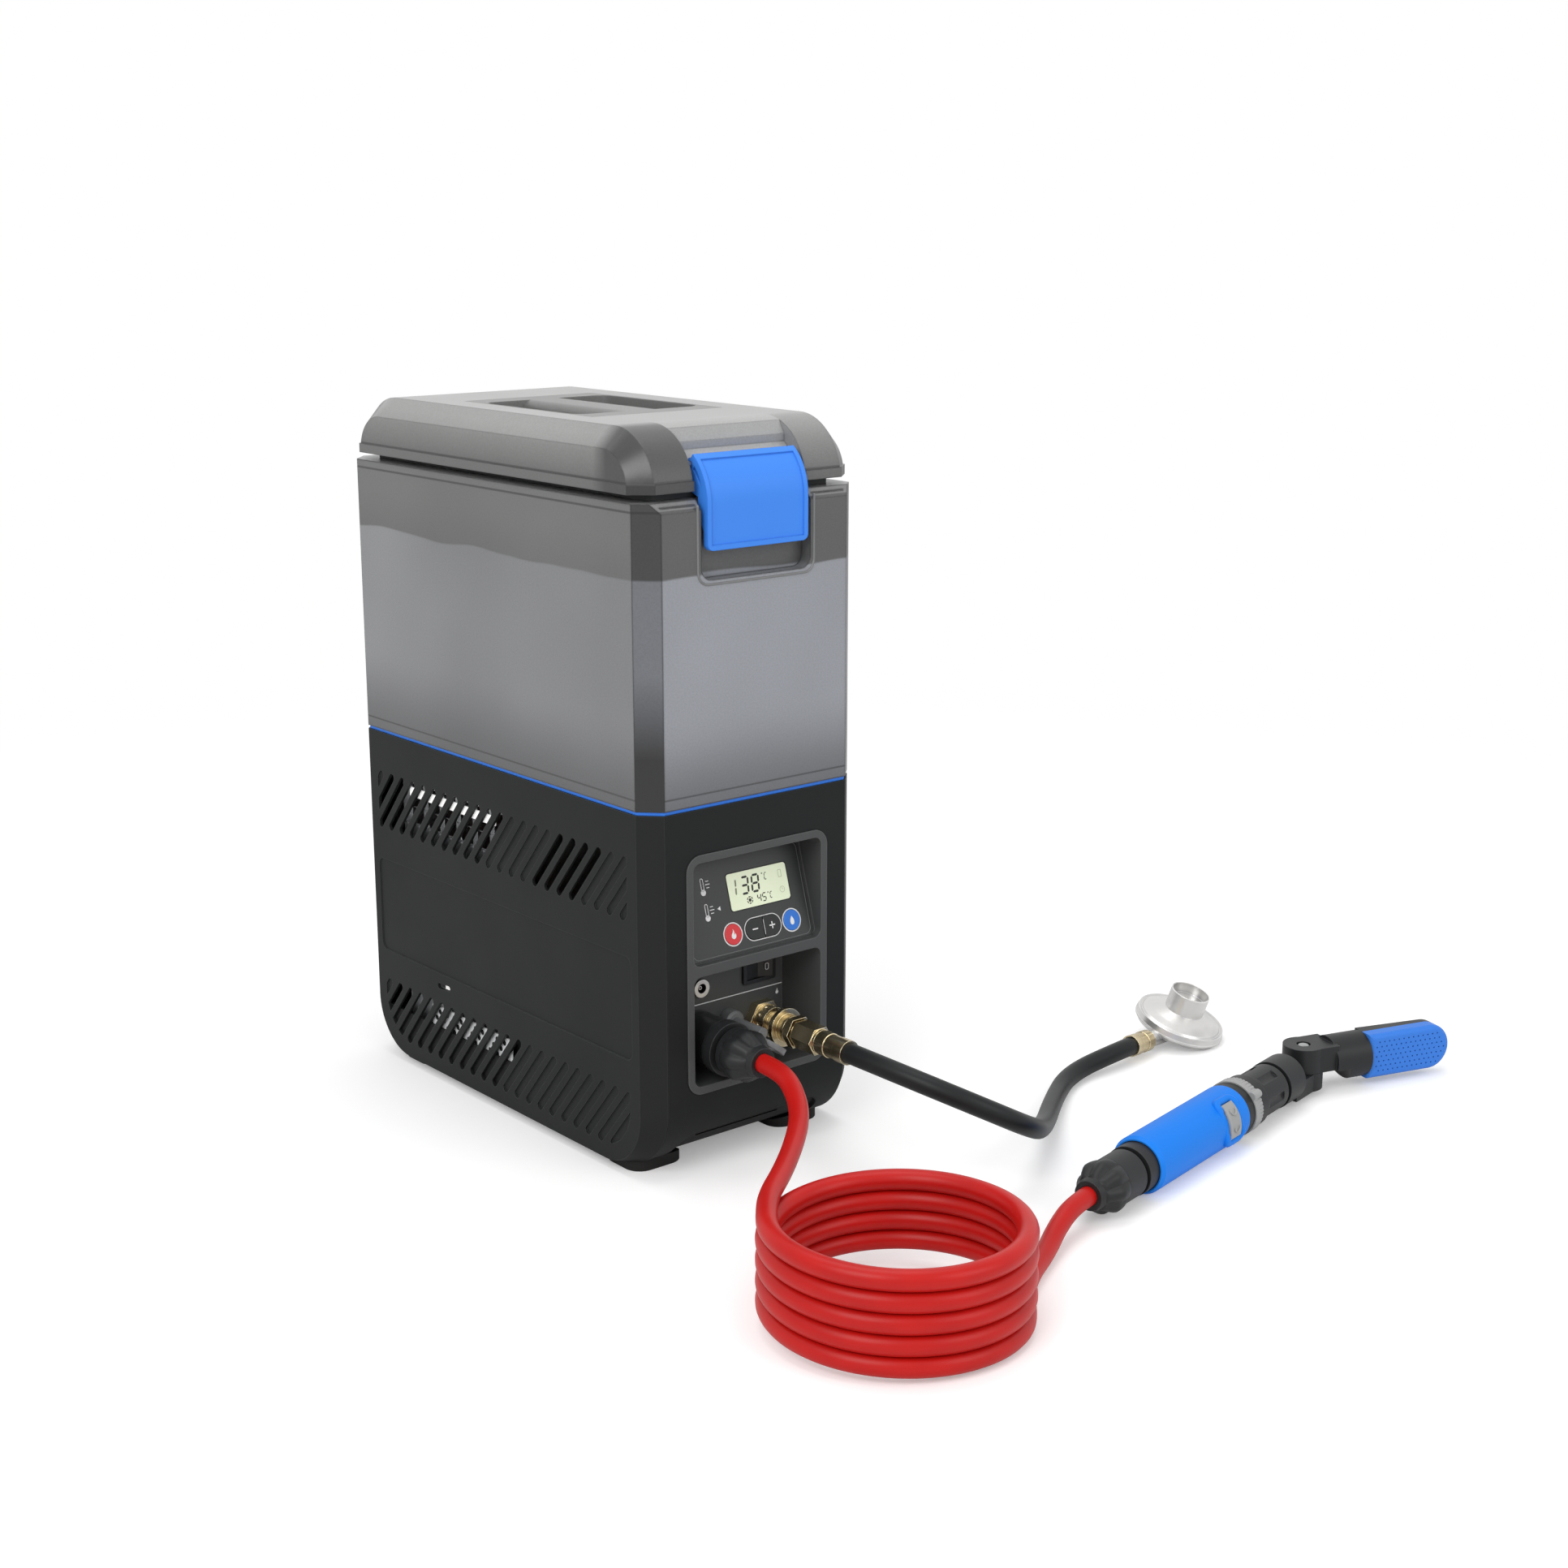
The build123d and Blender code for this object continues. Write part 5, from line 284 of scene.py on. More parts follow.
def moulded(name, colour, edge_wear_and_highlight_colour, roughness, grain_mm=1.1, relief_mm=0.02, ior=1.54,
            shine=0.35, rounding_mm=0.8):
    """Moulded plastic: even grain, faint cloudiness, and paler edges of wear and painted
    highlight.
    """
    material, tree, surface = start_finish(name)
    spot = add_node(tree, "TexCoord").outputs["Object"]
    grain = add_node(tree, "TexNoise", {
        "Vector": spot, "Scale": 1 / (grain_mm * MM), "Detail": 3.0})
    clouds = add_node(tree, "TexNoise", {
        "Vector": spot, "Scale": 1 / (CLOUD_MM * MM), "Detail": 2.0})
    rounded = add_node(tree, "Bevel", {"Radius": rounding_mm * MM}, samples=4)
    face = add_node(tree, "NewGeometry")
    facing = add_node(tree, "VectorMath", {
        0: rounded.outputs[0], 1: face.outputs["Normal"]}, operation="DOT_PRODUCT")
    # Paler edges: partly wear, partly a painted highlight.
    edge_wear_and_highlight = add_node(tree, "MapRange", {
        "Value": facing.outputs["Value"], "From Min": 0.995, "From Max": 0.86, "To Max": 0.75})
    darker = [c * CLOUD_DEPTH for c in linear(colour)[:3]] + [1.0]
    cloudy = add_node(tree, "Mix", {
        "Factor": clouds.outputs["Fac"], 6: darker, 7: linear(colour)}, data_type="RGBA")
    speckled = add_node(tree, "Mix", {
        "Factor": grain.outputs["Fac"], 6: cloudy.outputs[2], 7: linear(colour)}, data_type="RGBA")
    with_edge_wear_and_highlight = add_node(tree, "Mix", {
        "Factor": edge_wear_and_highlight.outputs["Result"], 6: speckled.outputs[2], 7: linear(edge_wear_and_highlight_colour)},
        data_type="RGBA")
    gloss = add_node(tree, "MapRange", {
        "Value": clouds.outputs["Fac"], "From Min": 0.3, "From Max": 0.7,
        "To Min": roughness - 0.04, "To Max": roughness + 0.04})
    relief = add_node(tree, "Bump", {
        "Height": grain.outputs["Fac"], "Distance": relief_mm * MM, "Strength": 0.6,
        "Normal": rounded.outputs[0]})
    tree.links.new(with_edge_wear_and_highlight.outputs[2], surface.inputs["Base Color"])
    tree.links.new(gloss.outputs["Result"], surface.inputs["Roughness"])
    tree.links.new(relief.outputs[0], surface.inputs["Normal"])
    surface.inputs["IOR"].default_value = ior
    surface.inputs["Specular IOR Level"].default_value = shine
    return material


def wear(material, *names):
    """Gives CAD nodes or pieces their finish."""
    for name in names:
        mesh = (nodes.get(name) or bpy.data.objects[name]).data
        mesh.materials.clear()
        mesh.materials.append(material)


print("moulded plastic has clouds of", CLOUD_MM, "mm")

# %% [markdown]
# ## The black covers
# The base covers are moulded ABS with a fine satin grain: near black, a touch
# green, and matt enough that only broad soft highlights show. The real grain
# is about 0.2 mm and would vanish here, so it is drawn five times coarser. The
# bezel is the same plastic in a lighter grey, and the tray inside is plain.

# %% Moulded ABS of the base
wear(moulded("black_abs_spark_grain", "#212322", "#4a4d4c", 0.52, shine=0.12),
     "side_cover_left", "side_cover_right", "rear_cover")
# The front cover wears a darker copy of the side covers' ABS: painted shade.
wear(moulded("front_abs_painted_shade", "#1b1d1d", "#3c3e3e", 0.50, shine=0.14), "front_cover")
tray_abs = moulded("tray_abs_plain", "#161717", "#262727", 0.6, shine=0.2)
wear(tray_abs, "base_tray", "top_deck")
wear(moulded("bezel_abs_satin", "#434545", "#707272", 0.46, grain_mm=0.9), "front_bezel")
print("base covers in ABS")

# %% [markdown]
# ## Hose and wand plastics
# The couplings are glass-filled nylon, dark grey and dry looking. The grip has
# a soft rubber skin in a strong blue, and the spray plate is a harder, paler
# blue plastic. The dial ring and trigger are plain grey acetal, which is waxy.

# %% Couplings, grip, spray plate and dial
coupling_nylon = moulded("coupling_glass_nylon", "#232425", "#4b4d4f", 0.42, grain_mm=0.8,
                         ior=1.53, shine=0.24)
grip_rubber = moulded("grip_soft_rubber", "#0d7de8", "#3f9dff", 0.5, grain_mm=1.0, ior=1.5,
                      shine=0.22)
dial_acetal = moulded("dial_acetal", "#9c9d9c", "#c2c3c2", 0.4, grain_mm=0.8, ior=1.48)
wear(coupling_nylon, "water_outlet", "coupler_collar", "hose_nuts", "wand_collar", "wand_barrel",
     "head_collar", "head_clevis", "head_body")
wear(grip_rubber, "wand_grip")
wear(moulded("spray_plate_abs", "#347bdb", "#5b9bf0", 0.45, grain_mm=0.8, shine=0.25),
     "spray_face")
wear(dial_acetal, "flow_ring", "wand_trigger")
print("wand dressed")

# %% [markdown]
# ## Blue latch and trim
# The latch and the band under the tank are polypropylene, coloured through in
# a bright clear blue. Polypropylene is slightly waxy and bends without
# cracking, which is why latches are made of it. The pins are plain steel.

# %% Polypropylene of the latch and trim band
wear(moulded("latch_polypropylene", "#3b85ea", "#2f78dd", 0.42, grain_mm=0.8, relief_mm=0.015,
             ior=1.49, rounding_mm=1.0), "latch")
wear(moulded("trim_polypropylene", "#2f7be8", "#4a90f2", 0.4, ior=1.49), "trim_band")
print("latch and band in blue")

# %% [markdown]
# ## Smoky tank and lid
# The tank is blow moulded from smoke-tinted copolyester with a frosted face.
# Part of the light goes through and part scatters back, so the inside shows
# only as soft shapes. Water wets the frosted inside and makes it clearer, and
# the wall below the water line is painted paler and bluer for the light that
# comes through it. The rest of the look is painted light and shade as well:
# painted shade on the slanted corners, along the edges, low down over the black
# deck, on the dry end faces and on the lid's lower sides and front left, and
# painted light on ledges, wet end faces and the back end. Thin moulded lines
# are dark. Each is a share, worked out from height, place or the way the wall
# faces, that lays a tone over the base.

# %% Shares and tones laid over a surface
FLOW_MM = 110


def line_at(tree, height, middle_mm, half_mm):
    """Share of a thin level line around one height."""
    away = add_node(tree, "Math", {0: height, 1: middle_mm * MM}, operation="SUBTRACT")
    apart = add_node(tree, "Math", {0: away.outputs[0]}, operation="ABSOLUTE")
    line = add_node(tree, "MapRange", {
        "Value": apart.outputs[0], "From Min": half_mm * MM, "From Max": 2 * half_mm * MM,
        "To Min": 0.62, "To Max": 0.0})
    return line.outputs["Result"]


def layered(tree, ground, layers):
    """Lays tones over a ground tone, each with its own share, and gives the last socket."""
    for share, tone in layers:
        mix = add_node(tree, "Mix", {"Factor": share, 6: ground, 7: tone}, data_type="RGBA")
        ground = mix.outputs[2]
    return ground


def frosted(name, clear, roughness, tint=None, paint=None, grain_mm=1.2, relief_mm=0.05):
    """Frosted plastic, in one tint or painted. Clear is the share of light let in."""
    material, tree, surface = start_finish(name)
    spot = add_node(tree, "TexCoord")
    frost = add_node(tree, "TexNoise", {
        "Vector": spot.outputs["Object"], "Scale": 1 / (grain_mm * MM), "Detail": 2.0})
    flow = add_node(tree, "TexNoise", {
        "Vector": spot.outputs["Object"], "Scale": 1 / (FLOW_MM * MM), "Detail": 1.0})
    tone = paint(tree, spot.outputs["Object"], spot.outputs["Normal"]) if paint else linear(tint)
    for noise, most in ((frost, 0.13), (flow, 0.1)):
        share = add_node(tree, "MapRange", {
            "Value": noise.outputs["Fac"], "From Min": 0.35, "From Max": 0.65, "To Min": most,
            "To Max": 0.0})
        tone = layered(tree, tone, [(share.outputs["Result"], linear("#101010"))])
    tree.links.new(tone, surface.inputs["Base Color"])
    rounded = add_node(tree, "Bevel", {"Radius": 1.0 * MM}, samples=4)
    relief = add_node(tree, "Bump", {
        "Height": frost.outputs["Fac"], "Distance": relief_mm * MM, "Strength": 0.5,
        "Normal": rounded.outputs[0]})
    tree.links.new(relief.outputs[0], surface.inputs["Normal"])
    surface.inputs["Transmission Weight"].default_value = clear
    surface.inputs["Roughness"].default_value = roughness
    surface.inputs["IOR"].default_value = 1.57
    return material


def edge_share(tree, radius_mm, most):
    """Share of the narrow strips along the edges, where shade or a highlight is painted."""
    rounded = add_node(tree, "Bevel", {"Radius": radius_mm * MM}, samples=6)
    face = add_node(tree, "NewGeometry")
    facing = add_node(tree, "VectorMath", {
        0: rounded.outputs[0], 1: face.outputs["Normal"]}, operation="DOT_PRODUCT")
    strip = add_node(tree, "MapRange", {
        "Value": facing.outputs["Value"], "From Min": 0.999, "From Max": 0.95, "To Max": most})
    return strip.outputs["Result"]


print("frosted plastic has clouds of", FLOW_MM, "mm")

# %% How the tank and the lid are toned
WATER_LEVEL = 405.5         # all in mm, and heights are above the floor
WAVE = 10
TANK_FOOT, FOOT_SHADE_TOP = 256, 318
FACET_SHADE_START, FACET_SHADE_TOP = 290, 345
TANK_LINES = ((263.4, 0.4), (447.5, 0.5))    # height and half width of the moulded lines
LID_LINE = (465.0, 0.5)
LID_SHADE_START, LID_SHADE_TOP = 466, 492
RECESS_FRONT = (-126, -140)
RECESS_HALF_WIDTH = 46


def corner_share(tree, way):
    """Share of the slanted corners: the surface leans as much along X as along Y."""
    along_x, along_y = (add_node(tree, "Math", {0: way.outputs[axis]}, operation="ABSOLUTE")
                        for axis in "XY")
    level = add_node(tree, "Math", {0: along_x.outputs[0], 1: along_y.outputs[0]})
    part = add_node(tree, "Math", {0: along_x.outputs[0], 1: level.outputs[0]}, operation="DIVIDE")
    off_middle = add_node(tree, "Math", {0: part.outputs[0], 1: 0.5}, operation="SUBTRACT")
    off = add_node(tree, "Math", {0: off_middle.outputs[0]}, operation="ABSOLUTE")
    slanted = add_node(tree, "MapRange", {
        "Value": off.outputs[0], "From Min": 0.18, "From Max": 0.28, "To Min": 1.0, "To Max": 0.0})
    upright = add_node(tree, "MapRange", {
        "Value": level.outputs[0], "From Min": 0.15, "From Max": 0.45})
    both = add_node(tree, "Math", {
        0: slanted.outputs["Result"], 1: upright.outputs["Result"]}, operation="MULTIPLY")
    return both.outputs[0]


def tank_tones(tree, spot, normal):
    """Dry and wet walls with painted light and shade by place and facing, and dark moulded lines.
    """
    place = add_node(tree, "SeparateXYZ", {0: spot})
    way = add_node(tree, "SeparateXYZ", {0: normal})
    height = place.outputs["Z"]
    # Painted shade on the slanted corners.
    corner_shade = corner_share(tree, way)
    along_y = add_node(tree, "Math", {0: way.outputs["Y"]}, operation="ABSOLUTE")
    # Painted light and shade on the end faces: darker when dry, paler when wet.
    ends = add_node(tree, "MapRange", {
        "Value": along_y.outputs[0], "From Min": 0.75, "From Max": 0.95})
    # Painted light on up-facing ledges.
    ledge_light = add_node(tree, "MapRange", {
        "Value": way.outputs["Z"], "From Min": 0.5, "From Max": 0.9})
    waves = add_node(tree, "TexNoise", {"Vector": spot, "Scale": 1 / (85 * MM), "Detail": 1.0})
    level = add_node(tree, "Math", {
        0: waves.outputs["Fac"], 1: WAVE * MM, 2: (WATER_LEVEL - WAVE / 2) * MM},
        operation="MULTIPLY_ADD")
    under = add_node(tree, "Math", {0: level.outputs[0], 1: height}, operation="SUBTRACT")
    # Paler, bluer wet wall: a really clearer wall, and painted light coming through it.
    wet = add_node(tree, "MapRange", {
        "Value": under.outputs[0], "From Min": -0.7 * MM, "From Max": 0.7 * MM})
    near_line = add_node(tree, "MapRange", {
        "Value": under.outputs[0], "From Min": -26 * MM, "From Max": 0.0, "To Max": 0.3})
    # Painted light towards the back end.
    backlit_end = add_node(tree, "MapRange", {
        "Value": place.outputs["Y"], "From Min": 20 * MM, "From Max": 175 * MM, "To Max": 0.5},
        interpolation_type="SMOOTHSTEP")
    # Painted shade low down over the black deck, and more on the low corners.
    foot = add_node(tree, "MapRange", {
        "Value": height, "From Min": TANK_FOOT * MM, "From Max": FOOT_SHADE_TOP * MM,
        "To Min": 0.6, "To Max": 0.0}, interpolation_type="SMOOTHSTEP")
    low_corner_shade_share = add_node(tree, "MapRange", {
        "Value": height, "From Min": FACET_SHADE_START * MM, "From Max": FACET_SHADE_TOP * MM,
        "To Min": 1.0, "To Max": 0.0})
    low_corner_shade = add_node(tree, "Math", {
        0: corner_shade, 1: low_corner_shade_share.outputs["Result"]}, operation="MULTIPLY")
    dry = layered(tree, linear("#8f8f8f"), [
        (near_line.outputs["Result"], linear("#676767")),
        (ends.outputs["Result"], linear("#757575")), (corner_shade, linear("#474747")),
        (ledge_light.outputs["Result"], linear("#b2b2b2"))])
    wet_tone = layered(tree, linear("#a3a4a7"), [
        (backlit_end.outputs["Result"], linear("#c3c4c7")),
        (ends.outputs["Result"], linear("#bec2ca")), (corner_shade, linear("#8a8d94"))])
    # Painted shade on the low corners and along the edges; the level lines are moulded lines.
    dark = linear("#161717")
    return layered(tree, dry, [
        (wet.outputs["Result"], wet_tone), (foot.outputs["Result"], linear("#434445")),
        (low_corner_shade.outputs[0], dark), (edge_share(tree, radius_mm=1.8, most=0.9), dark),
        *((line_at(tree, height, middle, half), dark) for middle, half in TANK_LINES)])


def lid_tones(tree, spot, normal):
    """A lid with painted shade on its corners, front left, lower sides and edges, a paler recess
    and a dark rim line.
    """
    place = add_node(tree, "SeparateXYZ", {0: spot})
    height = place.outputs["Z"]
    # Painted shade on the slanted corners.
    corner_shade = corner_share(tree, add_node(tree, "SeparateXYZ", {0: normal}))
    aside = add_node(tree, "Math", {0: place.outputs["X"]}, operation="ABSOLUTE")
    forward = add_node(tree, "MapRange", {
        "Value": place.outputs["Y"], "From Min": RECESS_FRONT[0] * MM,
        "From Max": RECESS_FRONT[1] * MM})
    outer = add_node(tree, "MapRange", {
        "Value": aside.outputs[0], "From Min": (RECESS_HALF_WIDTH - 0.5) * MM,
        "From Max": (RECESS_HALF_WIDTH + 0.5) * MM})
    left = add_node(tree, "MapRange", {
        "Value": place.outputs["X"], "From Min": 20 * MM, "From Max": -20 * MM, "To Min": 0.2})
    inner = add_node(tree, "Math", {0: 1.0, 1: outer.outputs["Result"]}, operation="SUBTRACT")
    shoulder = add_node(tree, "Math", {
        0: forward.outputs["Result"], 1: outer.outputs["Result"]}, operation="MULTIPLY")
    recess = add_node(tree, "Math", {
        0: forward.outputs["Result"], 1: inner.outputs[0]}, operation="MULTIPLY")
    # Painted shade on the front shoulders beside the recess, most on the left.
    front_left_shade = add_node(tree, "Math", {
        0: shoulder.outputs[0], 1: left.outputs["Result"]}, operation="MULTIPLY")
    # Painted shade on the lower sides.
    low = add_node(tree, "MapRange", {
        "Value": height, "From Min": LID_SHADE_START * MM, "From Max": LID_SHADE_TOP * MM,
        "To Min": 0.6, "To Max": 0.0})
    # Painted shade along the edges; the level line is the rim's moulded line.
    return layered(tree, linear("#aeaead"), [
        (low.outputs["Result"], linear("#4e4e4e")), (front_left_shade.outputs[0], linear("#595959")),
        (corner_shade, linear("#3c3c3c")), (recess.outputs[0], linear("#bebebd")),
        (edge_share(tree, radius_mm=1.4, most=0.5), linear("#3a3a3a")),
        (line_at(tree, height, *LID_LINE), linear("#2c2c2c"))])


wear(frosted("smoky_copolyester_tank", 0.45, 0.3, paint=tank_tones), "tank_shell")
wear(frosted("smoky_copolyester_lid", 0.35, 0.3, paint=lid_tones), "lid_shell")
wear(frosted("smoky_copolyester_tray", 0.35, 0.4, tint="#8f8f8e"), "handle_tray")
print("tank and lid let light through, with water up to", WATER_LEVEL, "mm")

# %% [markdown]
# ## Rubber, silicone and the red hose
# The feet and the gas hose are black rubber: matt, a little brownish where it
# catches light. The lid's seal is translucent silicone. The shower hose is
# PVC coloured through in red, extruded smooth, so it has a soft long highlight.

# %% Rubbers and the hoses' finishes
wear(moulded("foot_rubber", "#1b1b1a", "#2a2a29", 0.7, ior=1.52, shine=0.3), "rubber_feet")
wear(moulded("gas_hose_rubber", "#1c1e1f", "#2e3134", 0.42, grain_mm=0.8, ior=1.52,
             relief_mm=0.01, shine=0.2), "gas_hose_tube")
wear(moulded("seal_silicone", "#3b3d3d", "#585a5a", 0.5, ior=1.41), "lid_seal")
red_pvc, tree, surface = start_finish("red_pvc_hose")
spot = add_node(tree, "TexCoord").outputs["Object"]
streak = add_node(tree, "TexNoise", {"Vector": spot, "Scale": 1 / (25 * MM), "Detail": 2.0})
fine = add_node(tree, "TexNoise", {"Vector": spot, "Scale": 1 / (0.8 * MM), "Detail": 2.0})
reds = add_node(tree, "Mix", {
    "Factor": streak.outputs["Fac"], 6: linear("#ae100d"), 7: linear("#c11712")}, data_type="RGBA")
skin = add_node(tree, "Bump", {
    "Height": fine.outputs["Fac"], "Distance": 0.01 * MM, "Strength": 0.5})
tree.links.new(reds.outputs[2], surface.inputs["Base Color"])
tree.links.new(skin.outputs[0], surface.inputs["Normal"])
surface.inputs["Roughness"].default_value = 0.38
surface.inputs["IOR"].default_value = 1.53
surface.inputs["Specular IOR Level"].default_value = 0.24
wear(red_pvc, "shower_hose_tube")
print("hoses and feet dressed")

# %% [markdown]
# ## Metals
# The gas fittings are turned brass with fine tool marks, painted highlights on
# the rims and brownish painted shade in the hollows. The regulator is pressed
# zinc-plated steel with a silver lacquer. Screws and pins are plain steel. Each
# metal keeps the default index of refraction, and its colour does the rest.

# %% Metals


def metal(name, colour, dark, roughness, grain_mm=0.6, relief_mm=0.008, metallic=1.0,
          mottle_mm=9):
    """A worked metal: fine tool marks, painted highlights on its rims, and painted shade in its
    hollows.
    """
    material, tree, surface = start_finish(name)
    spot = add_node(tree, "TexCoord").outputs["Object"]
    marks = add_node(tree, "TexNoise", {
        "Vector": spot, "Scale": 1 / (grain_mm * MM), "Detail": 3.0})
    mottle = add_node(tree, "TexNoise", {
        "Vector": spot, "Scale": 1 / (mottle_mm * MM), "Detail": 2.0})
    # Painted shade in the hollows, mixed with a random mottle.
    hollow_shade = add_node(tree, "AmbientOcclusion", {"Distance": 0.004}, samples=4, only_local=True)
    share = add_node(tree, "Math", {
        0: mottle.outputs["Fac"], 1: hollow_shade.outputs["AO"]}, operation="MULTIPLY")
    tone = add_node(tree, "MapRange", {
        "Value": share.outputs[0], "From Min": 0.1, "From Max": 0.5})
    tones = add_node(tree, "Mix", {
        "Factor": tone.outputs["Result"], 6: linear(dark), 7: linear(colour)}, data_type="RGBA")
    # Painted highlight along the rims.
    highlight_tone = [min(1.0, c * 1.6 + 0.06) for c in linear(colour)[:3]] + [1.0]
    rim_highlight = edge_share(tree, radius_mm=0.8, most=0.75)
    highlighted = layered(tree, tones.outputs[2], [(rim_highlight, highlight_tone)])
    rounded = add_node(tree, "Bevel", {"Radius": 0.5 * MM}, samples=4)
    relief = add_node(tree, "Bump", {
        "Height": marks.outputs["Fac"], "Distance": relief_mm * MM, "Strength": 0.5,
        "Normal": rounded.outputs[0]})
    gloss = add_node(tree, "MapRange", {
        "Value": marks.outputs["Fac"], "To Min": roughness - 0.05, "To Max": roughness + 0.05})
    tree.links.new(highlighted, surface.inputs["Base Color"])
    tree.links.new(gloss.outputs["Result"], surface.inputs["Roughness"])
    tree.links.new(relief.outputs[0], surface.inputs["Normal"])
    surface.inputs["Metallic"].default_value = metallic
    return material


wear(metal("turned_brass", "#cbbd9c", "#9c8a66", 0.25, relief_mm=0.0015, mottle_mm=22),
     "gas_inlet", "gas_coupler_sleeve", "gas_plug", "gas_valve", "hose_ferrules")
wear(metal("plain_steel", "#a5a6a6", "#6e7072", 0.3, relief_mm=0.002),
     "cover_screws", "hinge_pin", "latch_pin", "pivot_screw")
wear(metal("silver_lacquered_zinc", "#d6d5d3", "#a9a9aa", 0.3, metallic=0.8, relief_mm=0.003,
           mottle_mm=30), "regulator_body", "regulator_cover", "regulator_cup")
galvanised = metal("galvanised_sheet", "#b9bcbe", "#83878b", 0.4, mottle_mm=14)
wear(galvanised, "burner_housing", "burner")
wear(metal("drawn_copper", "#c4734f", "#7a3d25", 0.35), "heat_exchanger", "pipework")
print("metals in place")

# %% [markdown]
# ## Control panel parts
# The panel is a film of polycarbonate printed dark grey over a moulded plate.
# The display is a pale green liquid crystal window, the two round keys are
# glossy translucent caps in red and blue, and the step keys are black. The
# rocker switch is glossy nylon, the board behind is green laminate, and the
# drain plug in the bay below is smoke-tinted acetal.

# %% Panel film, display, keys, switch, motors and board
wear(moulded("panel_polycarbonate_film", "#2b2d2d", "#505353", 0.36, grain_mm=0.7,
             relief_mm=0.008, ior=1.58, shine=0.4), "control_panel")
wear(moulded("red_key_cap", "#cf3a3f", "#e2565a", 0.28, relief_mm=0.004, ior=1.5), "flame_button")
wear(moulded("blue_key_cap", "#2f74d0", "#4c8ce2", 0.28, relief_mm=0.004, ior=1.5), "water_button")
step_cap = moulded("step_key_cap", "#232525", "#3d4040", 0.34, relief_mm=0.006, ior=1.5)
wear(step_cap, "minus_button", "plus_button")
wear(moulded("switch_nylon", "#191a1a", "#454747", 0.36, relief_mm=0.004, ior=1.53,
             rounding_mm=0.5), "switch_frame", "switch_rocker", "dc_socket")
wear(moulded("motor_housing_nylon", "#3a3c3d", "#545657", 0.5),
     "blower_housing", "blower_wheel", "water_pump")
wear(moulded("board_laminate", "#14502e", "#2c7049", 0.4), "control_board")
wear(frosted("drain_plug_acetal", 0.35, 0.35, tint="#8c8e90", grain_mm=0.8, relief_mm=0.02),
     "drain_plug")
lcd_glass, tree, surface = start_finish("lcd_window_glass")
spot = add_node(tree, "TexCoord").outputs["Object"]
backlight = add_node(tree, "TexNoise", {"Vector": spot, "Scale": 1 / (30 * MM)})
greens = add_node(tree, "Mix", {
    "Factor": backlight.outputs["Fac"], 6: linear("#cfd8bb"), 7: linear("#dde6ca")},
    data_type="RGBA")
tree.links.new(greens.outputs[2], surface.inputs["Base Color"])
tree.links.new(greens.outputs[2], surface.inputs["Emission Color"])
surface.inputs["Emission Strength"].default_value = 0.22
surface.inputs["Roughness"].default_value = 0.2
surface.inputs["IOR"].default_value = 1.52
wear(lcd_glass, "lcd_window")
print("panel parts dressed")

# %% [markdown]
# ## Small pieces: how they are laid on
# Printed marks, rings and icons are too thin for the solids, so they are made
# here as thin slabs. Each is drawn in millimetres on a flat frame of its own,
# with u to the right and v up, and a matrix carries it to its place. A shape is
# one outline, or a pair of outlines with the same number of points, which makes
# a band between them. bmesh builds the slab, so every mark is a closed solid.

# %% A flat frame, outlines and slabs


def frame_at(origin, right, up):
    """Matrix from millimetres on a flat frame to metres in the model's frame."""
    right, up = Vector(right).normalized(), Vector(up).normalized()
    out = right.cross(up)
    columns = [right * MM, up * MM, out * MM, Vector(origin) * MM]
    return Matrix([[c[i] for c in columns] for i in range(3)] + [[0, 0, 0, 1]])


def circle(x, y, radius, count=40):
    """Outline of a circle."""
    return [(x + radius * math.cos(math.tau * i / count),
             y + radius * math.sin(math.tau * i / count)) for i in range(count)]


def rounded_box(x, y, width, height, radius, count=7):
    """Outline of a rectangle with rounded corners."""
    outline = []
    for quarter, (sx, sy) in enumerate(((1, 1), (-1, 1), (-1, -1), (1, -1))):
        for i in range(count):
            angle = math.radians(90 * (quarter + i / (count - 1)))
            outline.append((x + sx * (width / 2 - radius) + radius * math.cos(angle),
                            y + sy * (height / 2 - radius) + radius * math.sin(angle)))
    return outline


def bar(x0, y0, x1, y1, width):
    """Outline of a straight stroke with pointed ends."""
    along = Vector((x1 - x0, y1 - y0)).normalized() * width / 2
    side = Vector((-along.y, along.x))
    a, b = Vector((x0, y0)), Vector((x1, y1))
    return [tuple(p) for p in (a, a + along - side, b - along - side, b, b - along + side,
                               a + along + side)]


def dress(made, body, finish):
    """Makes an object a piece that rides on a body and wears a finish."""
    made.data.materials.append(finish)
    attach(made, body)
    return made


def add_piece(name, mesh, body, finish, smooth=False):
    """Turns a bmesh into a piece."""
    bmesh.ops.recalc_face_normals(mesh, faces=mesh.faces)
    for face in mesh.faces:
        face.smooth = smooth
    made = shown(name, bpy.data.meshes.new(name))
    mesh.to_mesh(made.data)
    mesh.free()
    return dress(made, body, finish)


